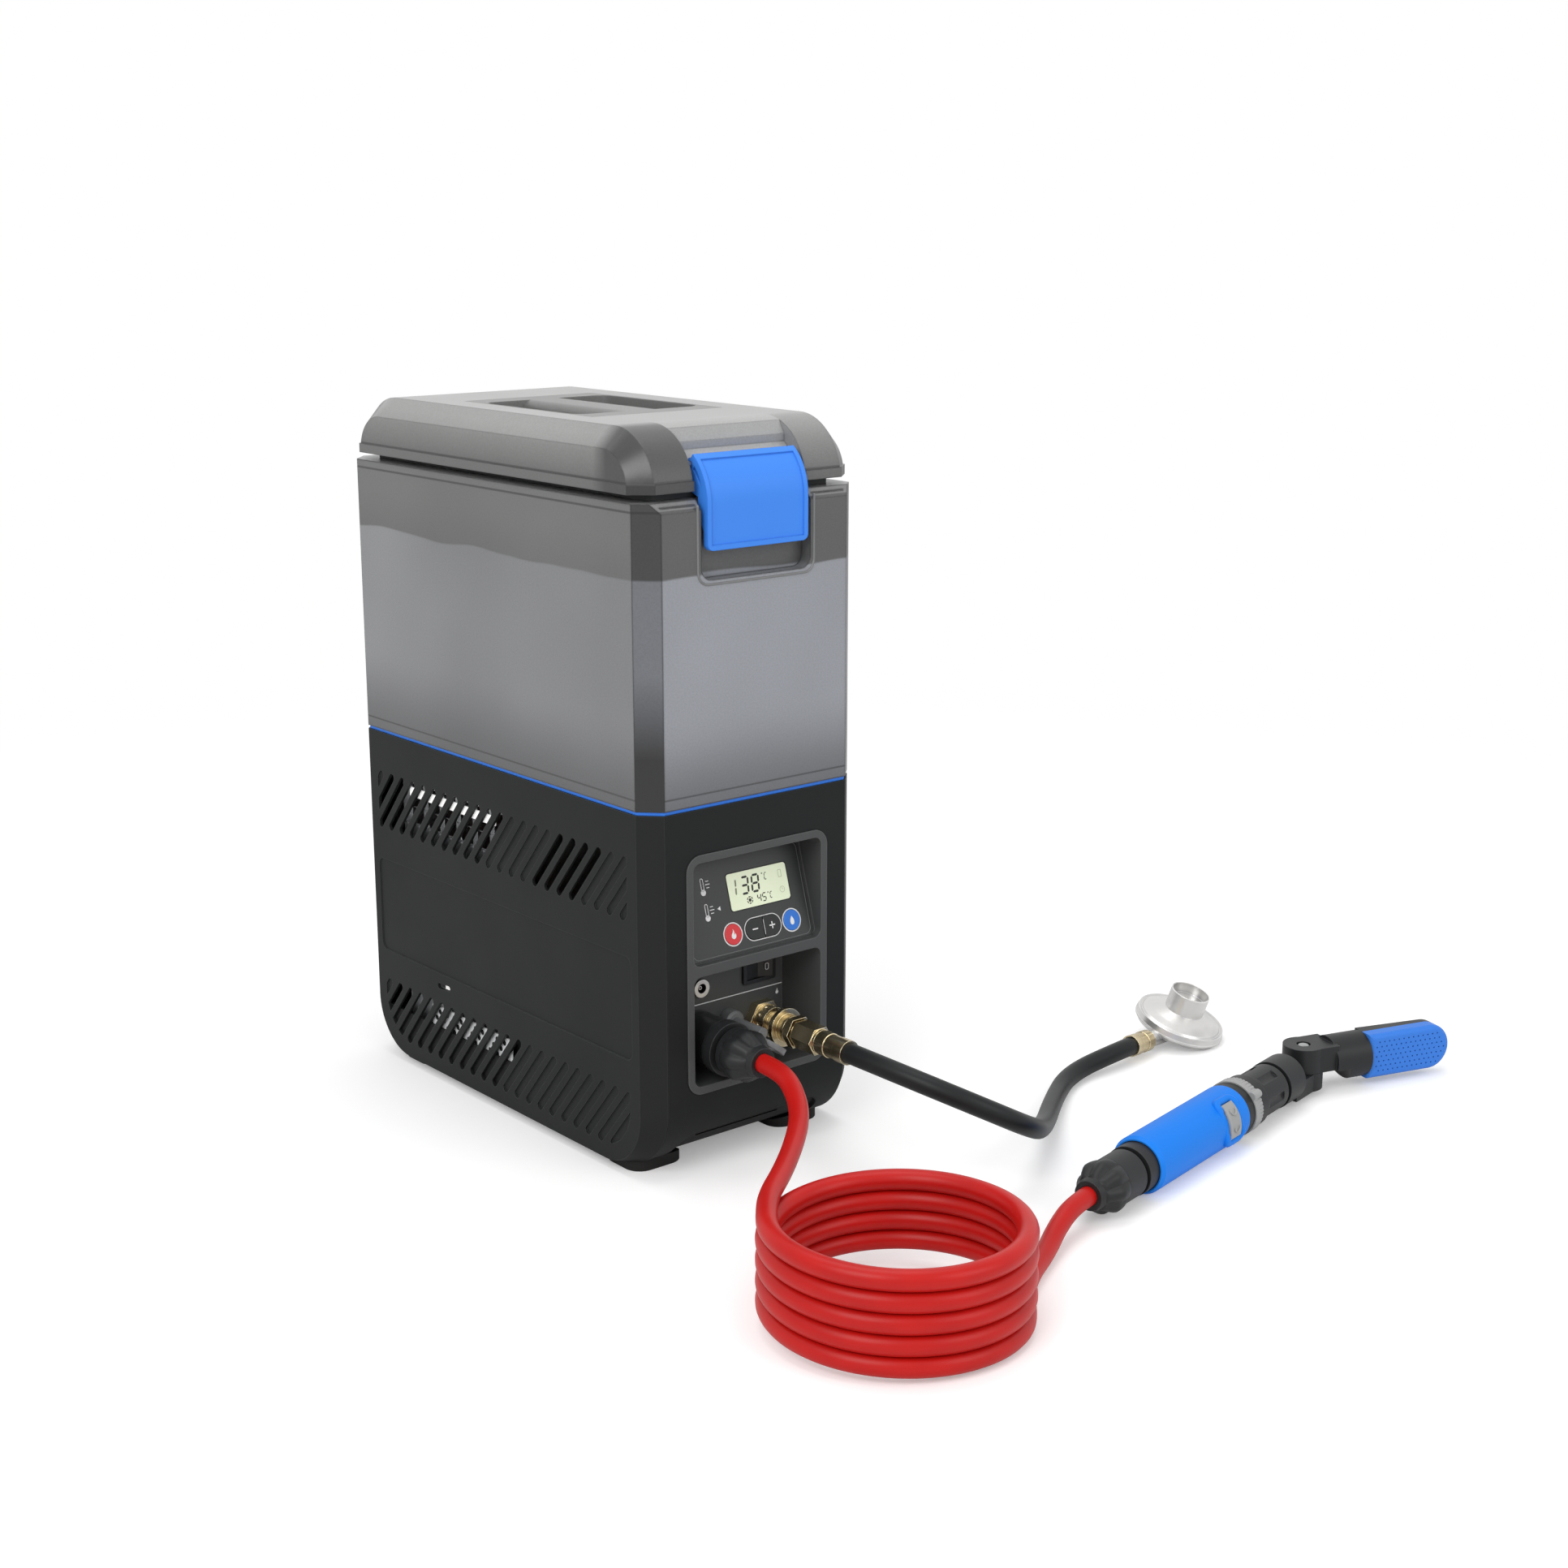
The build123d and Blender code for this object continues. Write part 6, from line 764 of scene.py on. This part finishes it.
def slabs(name, place, shapes, low, high, body, finish):
    """Closed slabs from low to high above a flat frame, one for each shape."""
    mesh = bmesh.new()
    for shape in shapes:
        loops = shape if isinstance(shape, tuple) else (shape,)
        floors = [[mesh.verts.new(place @ Vector((u, v, low))) for u, v in loop] for loop in loops]
        tops = [[mesh.verts.new(place @ Vector((u, v, high))) for u, v in loop] for loop in loops]
        for floor_ring, top_ring in zip(floors, tops):
            for i in range(len(floor_ring)):
                j = (i + 1) % len(floor_ring)
                mesh.faces.new((floor_ring[i], floor_ring[j], top_ring[j], top_ring[i]))
        for rings in (floors, tops):
            if len(rings) == 1:
                mesh.faces.new(rings[0])
                continue
            for i in range(len(rings[0])):
                j = (i + 1) % len(rings[0])
                mesh.faces.new((rings[0][i], rings[0][j], rings[1][j], rings[1][i]))
    return add_piece(name, mesh, body, finish)


PANEL_FOOT, PANEL_UP = (0, -176, 148), (0, 0.2840, 0.9588)
PANEL = frame_at(PANEL_FOOT, (1, 0, 0), PANEL_UP)
BAY_WALL = frame_at((0, -147, 0), (1, 0, 0), (0, 0, 1))
print("the panel leans back", round(math.degrees(math.asin(PANEL_UP[1])), 1), "degrees")

# %% [markdown]
# ## Print on the panel
# The panel's marks are screen printed in white ink, which lies as a thin matt
# film. The display's digits are the dark segments of a liquid crystal, so each
# digit is made of up to seven pointed bars that lean a little to the right.
# Faint unlit segments stay visible beside them, as they do on a real display.

# %% Ink and liquid crystal
white_ink = moulded("white_screen_ink", "#e9eaea", "#f2f2f2", 0.6, relief_mm=0.004, ior=1.5)
dark_segment = moulded("lcd_dark_segment", "#2d302b", "#3a3d37", 0.4, relief_mm=0.002, ior=1.5)
pale_segment = moulded("lcd_pale_segment", "#bfc8ab", "#c6cfb2", 0.4, relief_mm=0.002, ior=1.5)
outline_ink = moulded("grey_outline_ink", "#6c6f6f", "#7b7e7e", 0.5, relief_mm=0.004, ior=1.5)

LIT = {"1": "bc", "3": "abcdg", "4": "bcfg", "5": "acdfg", "8": "abcdefg", "C": "adef"}
LEAN = 0.1


def digit(text, x, y, width, height, stroke, gap=0.12):
    """Outlines of the lit bars of one display digit. x, y is its lower left corner."""
    half = height / 2
    ends = {"a": (0, 2, 1, 2), "b": (1, 2, 1, 1), "c": (1, 1, 1, 0), "d": (0, 0, 1, 0),
            "e": (0, 1, 0, 0), "f": (0, 2, 0, 1), "g": (0, 1, 1, 1)}
    outlines = []
    for name in LIT[text]:
        u0, v0, u1, v1 = ends[name]
        start, end = Vector((u0 * width, v0 * half)), Vector((u1 * width, v1 * half))
        inset = (end - start).normalized() * gap * stroke * 2
        start, end = start + inset, end - inset
        outlines.append([(x + u + LEAN * v, y + v) for u, v in
                         bar(start.x, start.y, end.x, end.y, stroke)])
    return outlines


def degrees_c(x, y, height, stroke):
    """The sign for degrees Celsius: a small ring and a C."""
    ring = [(circle(x, y + height, height * 0.13, 20), circle(x, y + height, height * 0.06, 20))]
    return ring + digit("C", x + height * 0.35, y, height * 0.42, height, stroke)


LCD = (13.0, 40.3)
LCD_X, LCD_Y = LCD
BIG_DIGIT = (5.6, 11.0, 1.5)        # width, height and stroke
SMALL_DIGIT = (2.8, 5.2, 0.75)
SUN = (LCD_X - 9.0, LCD_Y - 7.6)
CLOCK = (LCD_X + 19.6, LCD_Y - 5.4)
lit = digit("3", LCD_X - 14.5, LCD_Y - 2.6, *BIG_DIGIT)
lit += digit("8", LCD_X - 5.5, LCD_Y - 2.6, *BIG_DIGIT)
lit += degrees_c(LCD_X + 4.6, LCD_Y + 3.8, 4.4, 0.6)
lit += digit("4", LCD_X - 2.6, LCD_Y - 10.2, *SMALL_DIGIT)
lit += digit("5", LCD_X + 1.7, LCD_Y - 10.2, *SMALL_DIGIT)
lit += degrees_c(LCD_X + 7.0, LCD_Y - 9.2, 4.0, 0.6)
lit += [circle(*SUN, 1.2, 20)]
for i in range(6):
    turn = math.radians(60 * i + 30)
    lit.append([(SUN[0] + r * math.cos(turn + a), SUN[1] + r * math.sin(turn + a))
                for r, a in ((1.9, -0.36), (2.7, -0.36), (2.7, 0.36), (1.9, 0.36))])
unlit = digit("1", LCD_X - 19.5, LCD_Y - 2.6, 0.1, 11.0, 1.4)
unlit += digit("8", LCD_X - 19.6, LCD_Y - 2.6, 3.4, 11.0, 1.2)[4:6]
unlit += [(rounded_box(LCD_X + 19.6, LCD_Y + 5.6, 3.0, 5.2, 0.5),
           rounded_box(LCD_X + 19.6, LCD_Y + 5.6, 2.2, 4.4, 0.3)),
          (circle(*CLOCK, 2.2, 24), circle(*CLOCK, 1.8, 24)),
          bar(*CLOCK, CLOCK[0], CLOCK[1] + 1.5, 0.4), bar(*CLOCK, CLOCK[0] + 1.1, CLOCK[1], 0.4)]
slabs("lcd_digits", PANEL, lit, 0.02, 0.06, "base", dark_segment)
slabs("lcd_unlit_segments", PANEL, unlit, 0.02, 0.04, "base", pale_segment)
slabs("lcd_frame", PANEL,
      [(rounded_box(*LCD, 52.6, 26.4, 2.2), rounded_box(*LCD, 51.2, 25.0, 1.6))],
      -0.05, 0.12, "base", step_cap)
print("display shows 38 over 45 degrees")

# %% Key rings, icons and panel outline
KEY_ROW = 13.0
FLAME_KEY = -15.2
DROP_KEY = 35.6
STEP_KEYS = 10.6
KEY_PROUD = 0.6
flame = [(0.1, -3.4), (1.2, -3.0), (2.0, -2.1), (2.2, -0.9), (1.9, 0.1), (1.3, 0.9), (1.5, 0.0),
         (1.1, -0.5), (0.7, 0.6), (0.9, 1.8), (0.5, 3.0), (-0.2, 3.7), (0.0, 2.7), (-0.5, 1.5),
         (-1.3, 0.5), (-1.9, -0.6), (-2.0, -1.8), (-1.4, -2.8), (-0.6, -3.3)]
drop = [(2.2 * math.sin(a) * math.sin(a / 2) ** 0.9, 3.3 * math.cos(a) - 0.2)
        for a in [math.tau * i / 36 for i in range(36)]]


def icon(name, shapes, key):
    """White print on top of a key."""
    slabs(name, PANEL, shapes, KEY_PROUD, KEY_PROUD + 0.05, key, white_ink)


icon("flame_icon", [[(FLAME_KEY + u * 0.95, KEY_ROW + v * 0.95) for u, v in flame]],
     "flame_button")
icon("drop_icon", [[(DROP_KEY + u, KEY_ROW + v * 0.92) for u, v in drop]],
     "water_button")
rings = [(circle(x, KEY_ROW, 8.1, 48), circle(x, KEY_ROW, 7.25, 48))
         for x in (FLAME_KEY, DROP_KEY)]
rings.append((rounded_box(STEP_KEYS, KEY_ROW, 31.9, 15.9, 7.9, 14),
              rounded_box(STEP_KEYS, KEY_ROW, 30.7, 14.7, 7.3, 14)))
slabs("key_rings", PANEL, rings, 0.0, 0.08, "base", white_ink)
PLUS, PLUS_REACH, PLUS_GAP, STROKE = 18.2, 2.6, 0.45, 0.9
icon("minus_icon", [bar(1.0, KEY_ROW, 6.0, KEY_ROW, STROKE)], "minus_button")
icon("plus_icon", [bar(PLUS - PLUS_REACH, KEY_ROW, PLUS + PLUS_REACH, KEY_ROW, STROKE),
                   bar(PLUS, KEY_ROW - PLUS_REACH, PLUS, KEY_ROW - PLUS_GAP, STROKE),
                   bar(PLUS, KEY_ROW + PLUS_GAP, PLUS, KEY_ROW + PLUS_REACH, STROKE)],
     "plus_button")
icon("step_divider", [rounded_box(STEP_KEYS + 0.75, KEY_ROW, 0.35, 10.4, 0.15, 3)],
     "plus_button")
slabs("panel_outline", PANEL,
      [(rounded_box(0, 33.2, 101.6, 64.0, 5.0), rounded_box(0, 33.2, 100.7, 63.1, 4.6))],
      0.0, 0.1, "base", outline_ink)
print("keys marked with a flame, a drop, minus and plus")

# %% [markdown]
# ## Marks beside the display and in the bay
# Two small pictures stand beside the display: a thermometer for the water as
# it is now, and one with a dial tick for the temperature that was set. In the
# bay a thin white line sets off the gas and water couplings, a small flame
# marks the gas, and the power socket has a nickel-plated ring.

# %% Thermometers, bay line and socket ring
STEM_X, TICKS_X = -33.0, -28.6
thermometers = []
for v in (48.4, 31.2):
    thermometers.append((rounded_box(STEM_X, v + 1.2, 2.6, 9.0, 1.3),
                         rounded_box(STEM_X, v + 1.2, 1.6, 8.0, 0.8)))
    thermometers.append(circle(STEM_X, v - 3.9, 2.1, 24))
    thermometers += [rounded_box(TICKS_X, v + up, length, 0.55, 0.2, 3)
                     for up, length in ((-1.2, 2.6), (1.0, 4.0), (3.2, 2.6))]
thermometers.append([(-24.2, 31.9), (-21.6, 33.4), (-21.6, 30.4)])
slabs("panel_marks", PANEL, thermometers, 0.0, 0.06, "base", white_ink)
bay_marks = [rounded_box(-2.6, 106.5, 101.0, 0.7, 0.3, 3)]
bay_marks += [[(43.6 + u * 0.62, 101.3 + v * 0.62) for u, v in flame]]
slabs("bay_line", BAY_WALL, bay_marks, 0.0, 0.06, "base", white_ink)
nickel = metal("nickel_plate", "#d4d5d4", "#a9abac", 0.3, metallic=0.6)
SOCKET = (-23.5, 118)
slabs("socket_ring", BAY_WALL, [(circle(*SOCKET, 6.3, 56), circle(*SOCKET, 3.5, 56))],
      1.5, 1.9, "base", nickel)
slabs("socket_pin_ring", BAY_WALL, [(circle(*SOCKET, 1.35, 28), circle(*SOCKET, 0.85, 28))],
      -0.4, -0.1, "base", nickel)
print("bay marked")

# %% Rocker mark
ROCKER = frame_at((26.55, -149.45, 122.5), (0.9932, -0.1166, 0), (0, 0, 1))
slabs("rocker_zero", ROCKER,
      [(rounded_box(5.6, 0, 2.9, 4.9, 1.2), rounded_box(5.6, 0, 2.1, 4.1, 0.8))],
      -0.2, 0.08, "switch_rocker", white_ink)
print("rocker marked with a plain 0")

# %% [markdown]
# ## Lobed hose nuts
# The nuts that hold the hose are turned by hand, so they carry rounded lobes
# for the fingers. The lobes are a sleeve around the plain cone of the nut: a
# closed profile goes around the axis, and its outer line swells and falls as
# it goes, eight times a turn. A lathe in code is the natural way to make it.
# The dial ring's fine teeth come from the same lathe.

# %% A lathe whose profile changes as it goes around


def lathe(name, origin, along, up, profile, count, body, finish):
    """A closed ring. profile(angle) lists (station, radius) in mm, as many at each angle."""
    along, up = Vector(along).normalized(), Vector(up).normalized()
    side = along.cross(up)
    mesh = bmesh.new()
    columns = []
    for i in range(count):
        angle = math.tau * i / count
        spoke = up * math.cos(angle) + side * math.sin(angle)
        columns.append([mesh.verts.new((Vector(origin) + along * t + spoke * r) * MM)
                        for t, r in profile(angle)])
    for i in range(count):
        here, there = columns[i], columns[(i + 1) % count]
        for k in range(len(here)):
            n = (k + 1) % len(here)
            mesh.faces.new((here[k], here[n], there[n], there[k]))
    return add_piece(name, mesh, body, finish, smooth=True)


NUT_CONE = ((0, 10.0), (8, 12.0), (16, 15.5), (26, 16.5), (60, 16.5))
LOBES = 8


def nut_radius(t):
    """Radius of the plain nut at a distance from its hose end."""
    for (t0, r0), (t1, r1) in zip(NUT_CONE, NUT_CONE[1:]):
        if t <= t1:
            return r0 + (r1 - r0) * (t - t0) / (t1 - t0)
    return NUT_CONE[-1][1]


def lobed(angle):
    """Profile of the lobed sleeve at one angle."""
    bulge = (0.5 + 0.5 * math.cos(LOBES * angle)) ** 0.55
    line = []
    for i in range(15):
        t = 4.0 + 22.0 * i / 14
        swell = math.sin(math.pi * i / 14) ** 0.6
        line.append((t, nut_radius(t) - 0.25 + (0.3 + 2.5 * bulge) * swell))
    return line + [(26.0, 13.0), (4.0, 8.5)]


WAND_ORIGIN = Vector((92.8, -399.8, 20.0))
WAND_ALONG = Vector((0.97992, 0.19937, 0))
WAND_SIDE = Vector((0.19937, -0.97992, 0))
UP = Vector((0, 0, 1))
lathe("wand_nut_lobes", WAND_ORIGIN - WAND_ALONG * 2, WAND_ALONG, UP, lobed, 128,
      "base", coupling_nylon)
lathe("water_nut_lobes", (-28, -219, 86), (0, 1, 0), UP, lobed, 128,
      "base", coupling_nylon)
TEETH = 72
lathe("dial_teeth", WAND_ORIGIN, WAND_ALONG, UP,
      lambda a: [(188.0, 18.8), (188.0, 19.5), (188.6, 19.7 + 0.25 * math.cos(TEETH * a)),
                 (195.4, 19.7 + 0.25 * math.cos(TEETH * a)), (196.0, 19.5), (196.0, 18.8)],
      TEETH * 6, "flow_ring", dial_acetal)
print("two nuts with", LOBES, "lobes, and a dial with", TEETH, "teeth")

# %% [markdown]
# ## Wand details
# The trigger sits in a raised lip that keeps it from being pressed by
# accident, and two curved ribs on it tell the thumb where it is. The spray
# plate has staggered rows of fine jets, each the mouth of a hole. The lip and
# the ribs are swept tubes laid on the round grip, and the jets are small dark
# discs of painted shade for the holes.

# %% Points on the wand, and swept tubes


def on_wand(station, radius, degrees):
    """Point in mm at a station, a radius, and an angle from the top down the trigger's side."""
    a = math.radians(degrees)
    spoke = UP * math.cos(a) + WAND_SIDE * math.sin(a)
    return WAND_ORIGIN + WAND_ALONG * station + spoke * radius


def swept(name, points, width, body, finish, closed=False):
    """A round tube along points in mm, as a piece."""
    route = [Vector(place) * MM for place in points]
    return dress(tube(name, route, width * MM, closed=closed), body, finish)


TRIGGER_STATION, TRIGGER_ANGLE = 155, 70
LIP_RADIUS, RIB_RADIUS = 19.9, 22.5
lip = [on_wand(TRIGGER_STATION + u, LIP_RADIUS, TRIGGER_ANGLE + v / 20 * 57.3)
       for u, v in rounded_box(0, 0, 20.5, 31.0, 5.0, 9)]
swept("trigger_lip", lip, 6.0, "base", grip_rubber, closed=True)
for index, tilt in enumerate((52, 84)):
    arc = [on_wand(TRIGGER_STATION + 3.4 * math.sin(math.radians(t)), RIB_RADIUS,
                   tilt + 8.5 * math.cos(math.radians(t))) for t in range(-95, 96, 10)]
    swept(f"trigger_rib_{index + 1}", arc, 1.4, "wand_trigger", dial_acetal)
print("trigger lip and ribs")

# %% Bead around the latch's bay in the tank
BEAD_HALF_WIDTH, BEAD_TOP, BEAD_FOOT, BEAD_CORNER = 48.0, 450.0, 399.0, 8.5
bead_line = [(-BEAD_HALF_WIDTH, BEAD_TOP)]
for side, start in ((-1, 180), (1, 270)):
    for step in range(10):
        turn = math.radians(start + 10 * step)
        bead_line.append((side * (BEAD_HALF_WIDTH - BEAD_CORNER) + BEAD_CORNER * math.cos(turn),
                          BEAD_FOOT + BEAD_CORNER + BEAD_CORNER * math.sin(turn)))
bead_line.append((BEAD_HALF_WIDTH, BEAD_TOP))
bead_plastic = moulded("bead_of_smoky_plastic", "#6c6d6d", "#b0b1b1", 0.3, relief_mm=0.003,
                       shine=0.5)
swept("latch_bay_bead", [(u, -179.9, z) for u, z in bead_line], 1.8, "base",
      bead_plastic)
print("bead with", len(bead_line), "points")

# %% Jets of the spray plate
HEAD_ALONG = Vector((0.9573, -0.2890, 0))
HEAD_SIDE = Vector((-0.2890, -0.9573, 0))
SPRAY = frame_at(Vector((381.9, -341.0, 23.0)) + HEAD_SIDE * 13, HEAD_ALONG, UP)
# Dark blue discs: painted shade in the jets' holes.
jet_hole_shade = moulded("jet_hole_painted_shade", "#0f3f86", "#1a4f9c", 0.6, relief_mm=0.004, ior=1.5,
                     shine=0.1)
JETS_START, JET_PITCH, ROW_PITCH = 56.0, 4.3, 3.7
TIP_CENTRE, TIP_RADIUS = 105, 12.6
jets = []
for row in range(-3, 4):
    for step in range(15):
        u, v = JETS_START + JET_PITCH * (step + (0.5 if row % 2 else 0)), ROW_PITCH * row
        if u < TIP_CENTRE or math.hypot(u - TIP_CENTRE, v) < TIP_RADIUS:
            jets.append(circle(u, v, 0.55, 14))
slabs("spray_jets", SPRAY, jets, -0.2, 0.08, "head", jet_hole_shade)
print(len(jets), "jets")

# %% [markdown]
# ## Behind the vents
# The covers' slots show what lies just behind them. High up runs a pale strip
# of ceramic fibre that keeps the firebox's heat off the cover, with a seam of
# sheet steel under it; the strip glows a little, as painted light seen through
# the slots. Low down sits a guard of bright perforated steel in front of the
# fan. They are thin sheets, so each is one slab on a flat frame that stands
# just behind the cover, and the guard's holes are dark discs of painted shade.

# %% Fibre strip, seam and guard
BEHIND_COVER = frame_at((-86.2, 0, 0), (0, -1, 0), (0, 0, 1))
glowing_fibre = moulded("ceramic_fibre_painted_glow", "#f4f3f0", "#ffffff", 0.9, grain_mm=1.5, relief_mm=0.2, ior=1.5,
                shine=0.2)
# The fibre glows a little: painted light seen through the slots.
fibre_glow_inputs = glowing_fibre.node_tree.nodes["Principled BSDF"].inputs
fibre_glow_inputs["Emission Color"].default_value = linear("#ffffff")
fibre_glow_inputs["Emission Strength"].default_value = 0.45
slabs("fibre_strip", BEHIND_COVER, [rounded_box(-60.5, 214.2, 113, 6.8, 0.8, 4)], -0.9, 0.1,
      "base", glowing_fibre)
slabs("seam_strip", BEHIND_COVER, [rounded_box(-60, 189.5, 130, 1.0, 0.3, 3),
                                   rounded_box(-60, 203.5, 130, 0.5, 0.2, 3)], -0.6, 0.0,
      "base", galvanised)
guard_steel = metal("polished_guard_steel", "#f0f1f2", "#c3c5c8", 0.42, metallic=0.25,
                    relief_mm=0.003, mottle_mm=25)
BEHIND_SLOTS = frame_at((-86.0, 0, 0), (0, -1, 0), (0, 0, 1))
slabs("fan_guard", BEHIND_SLOTS, [rounded_box(-44, 44, 106, 24, 2.0, 5)], -1.0, 0.0, "base",
      guard_steel)
# Dark discs of painted shade stand in the guard's holes.
holes = [circle(-91 + 9.5 * i + (4.75 if j % 2 else 0), 35.4 + 5.4 * j, 2.1, 20)
         for i in range(10) for j in range(4)]
slabs("guard_holes", BEHIND_SLOTS, holes, -0.1, 0.06, "base", tray_abs)
# The same glowing fibre shows behind the cord slot as painted light.
slabs("cord_slot_strip", BEHIND_COVER, [rounded_box(-71.5, 73.6, 11.0, 8.0, 1.0, 4)], -0.9, 0.1,
      "base", glowing_fibre)
print(len(holes), "holes in the guard")
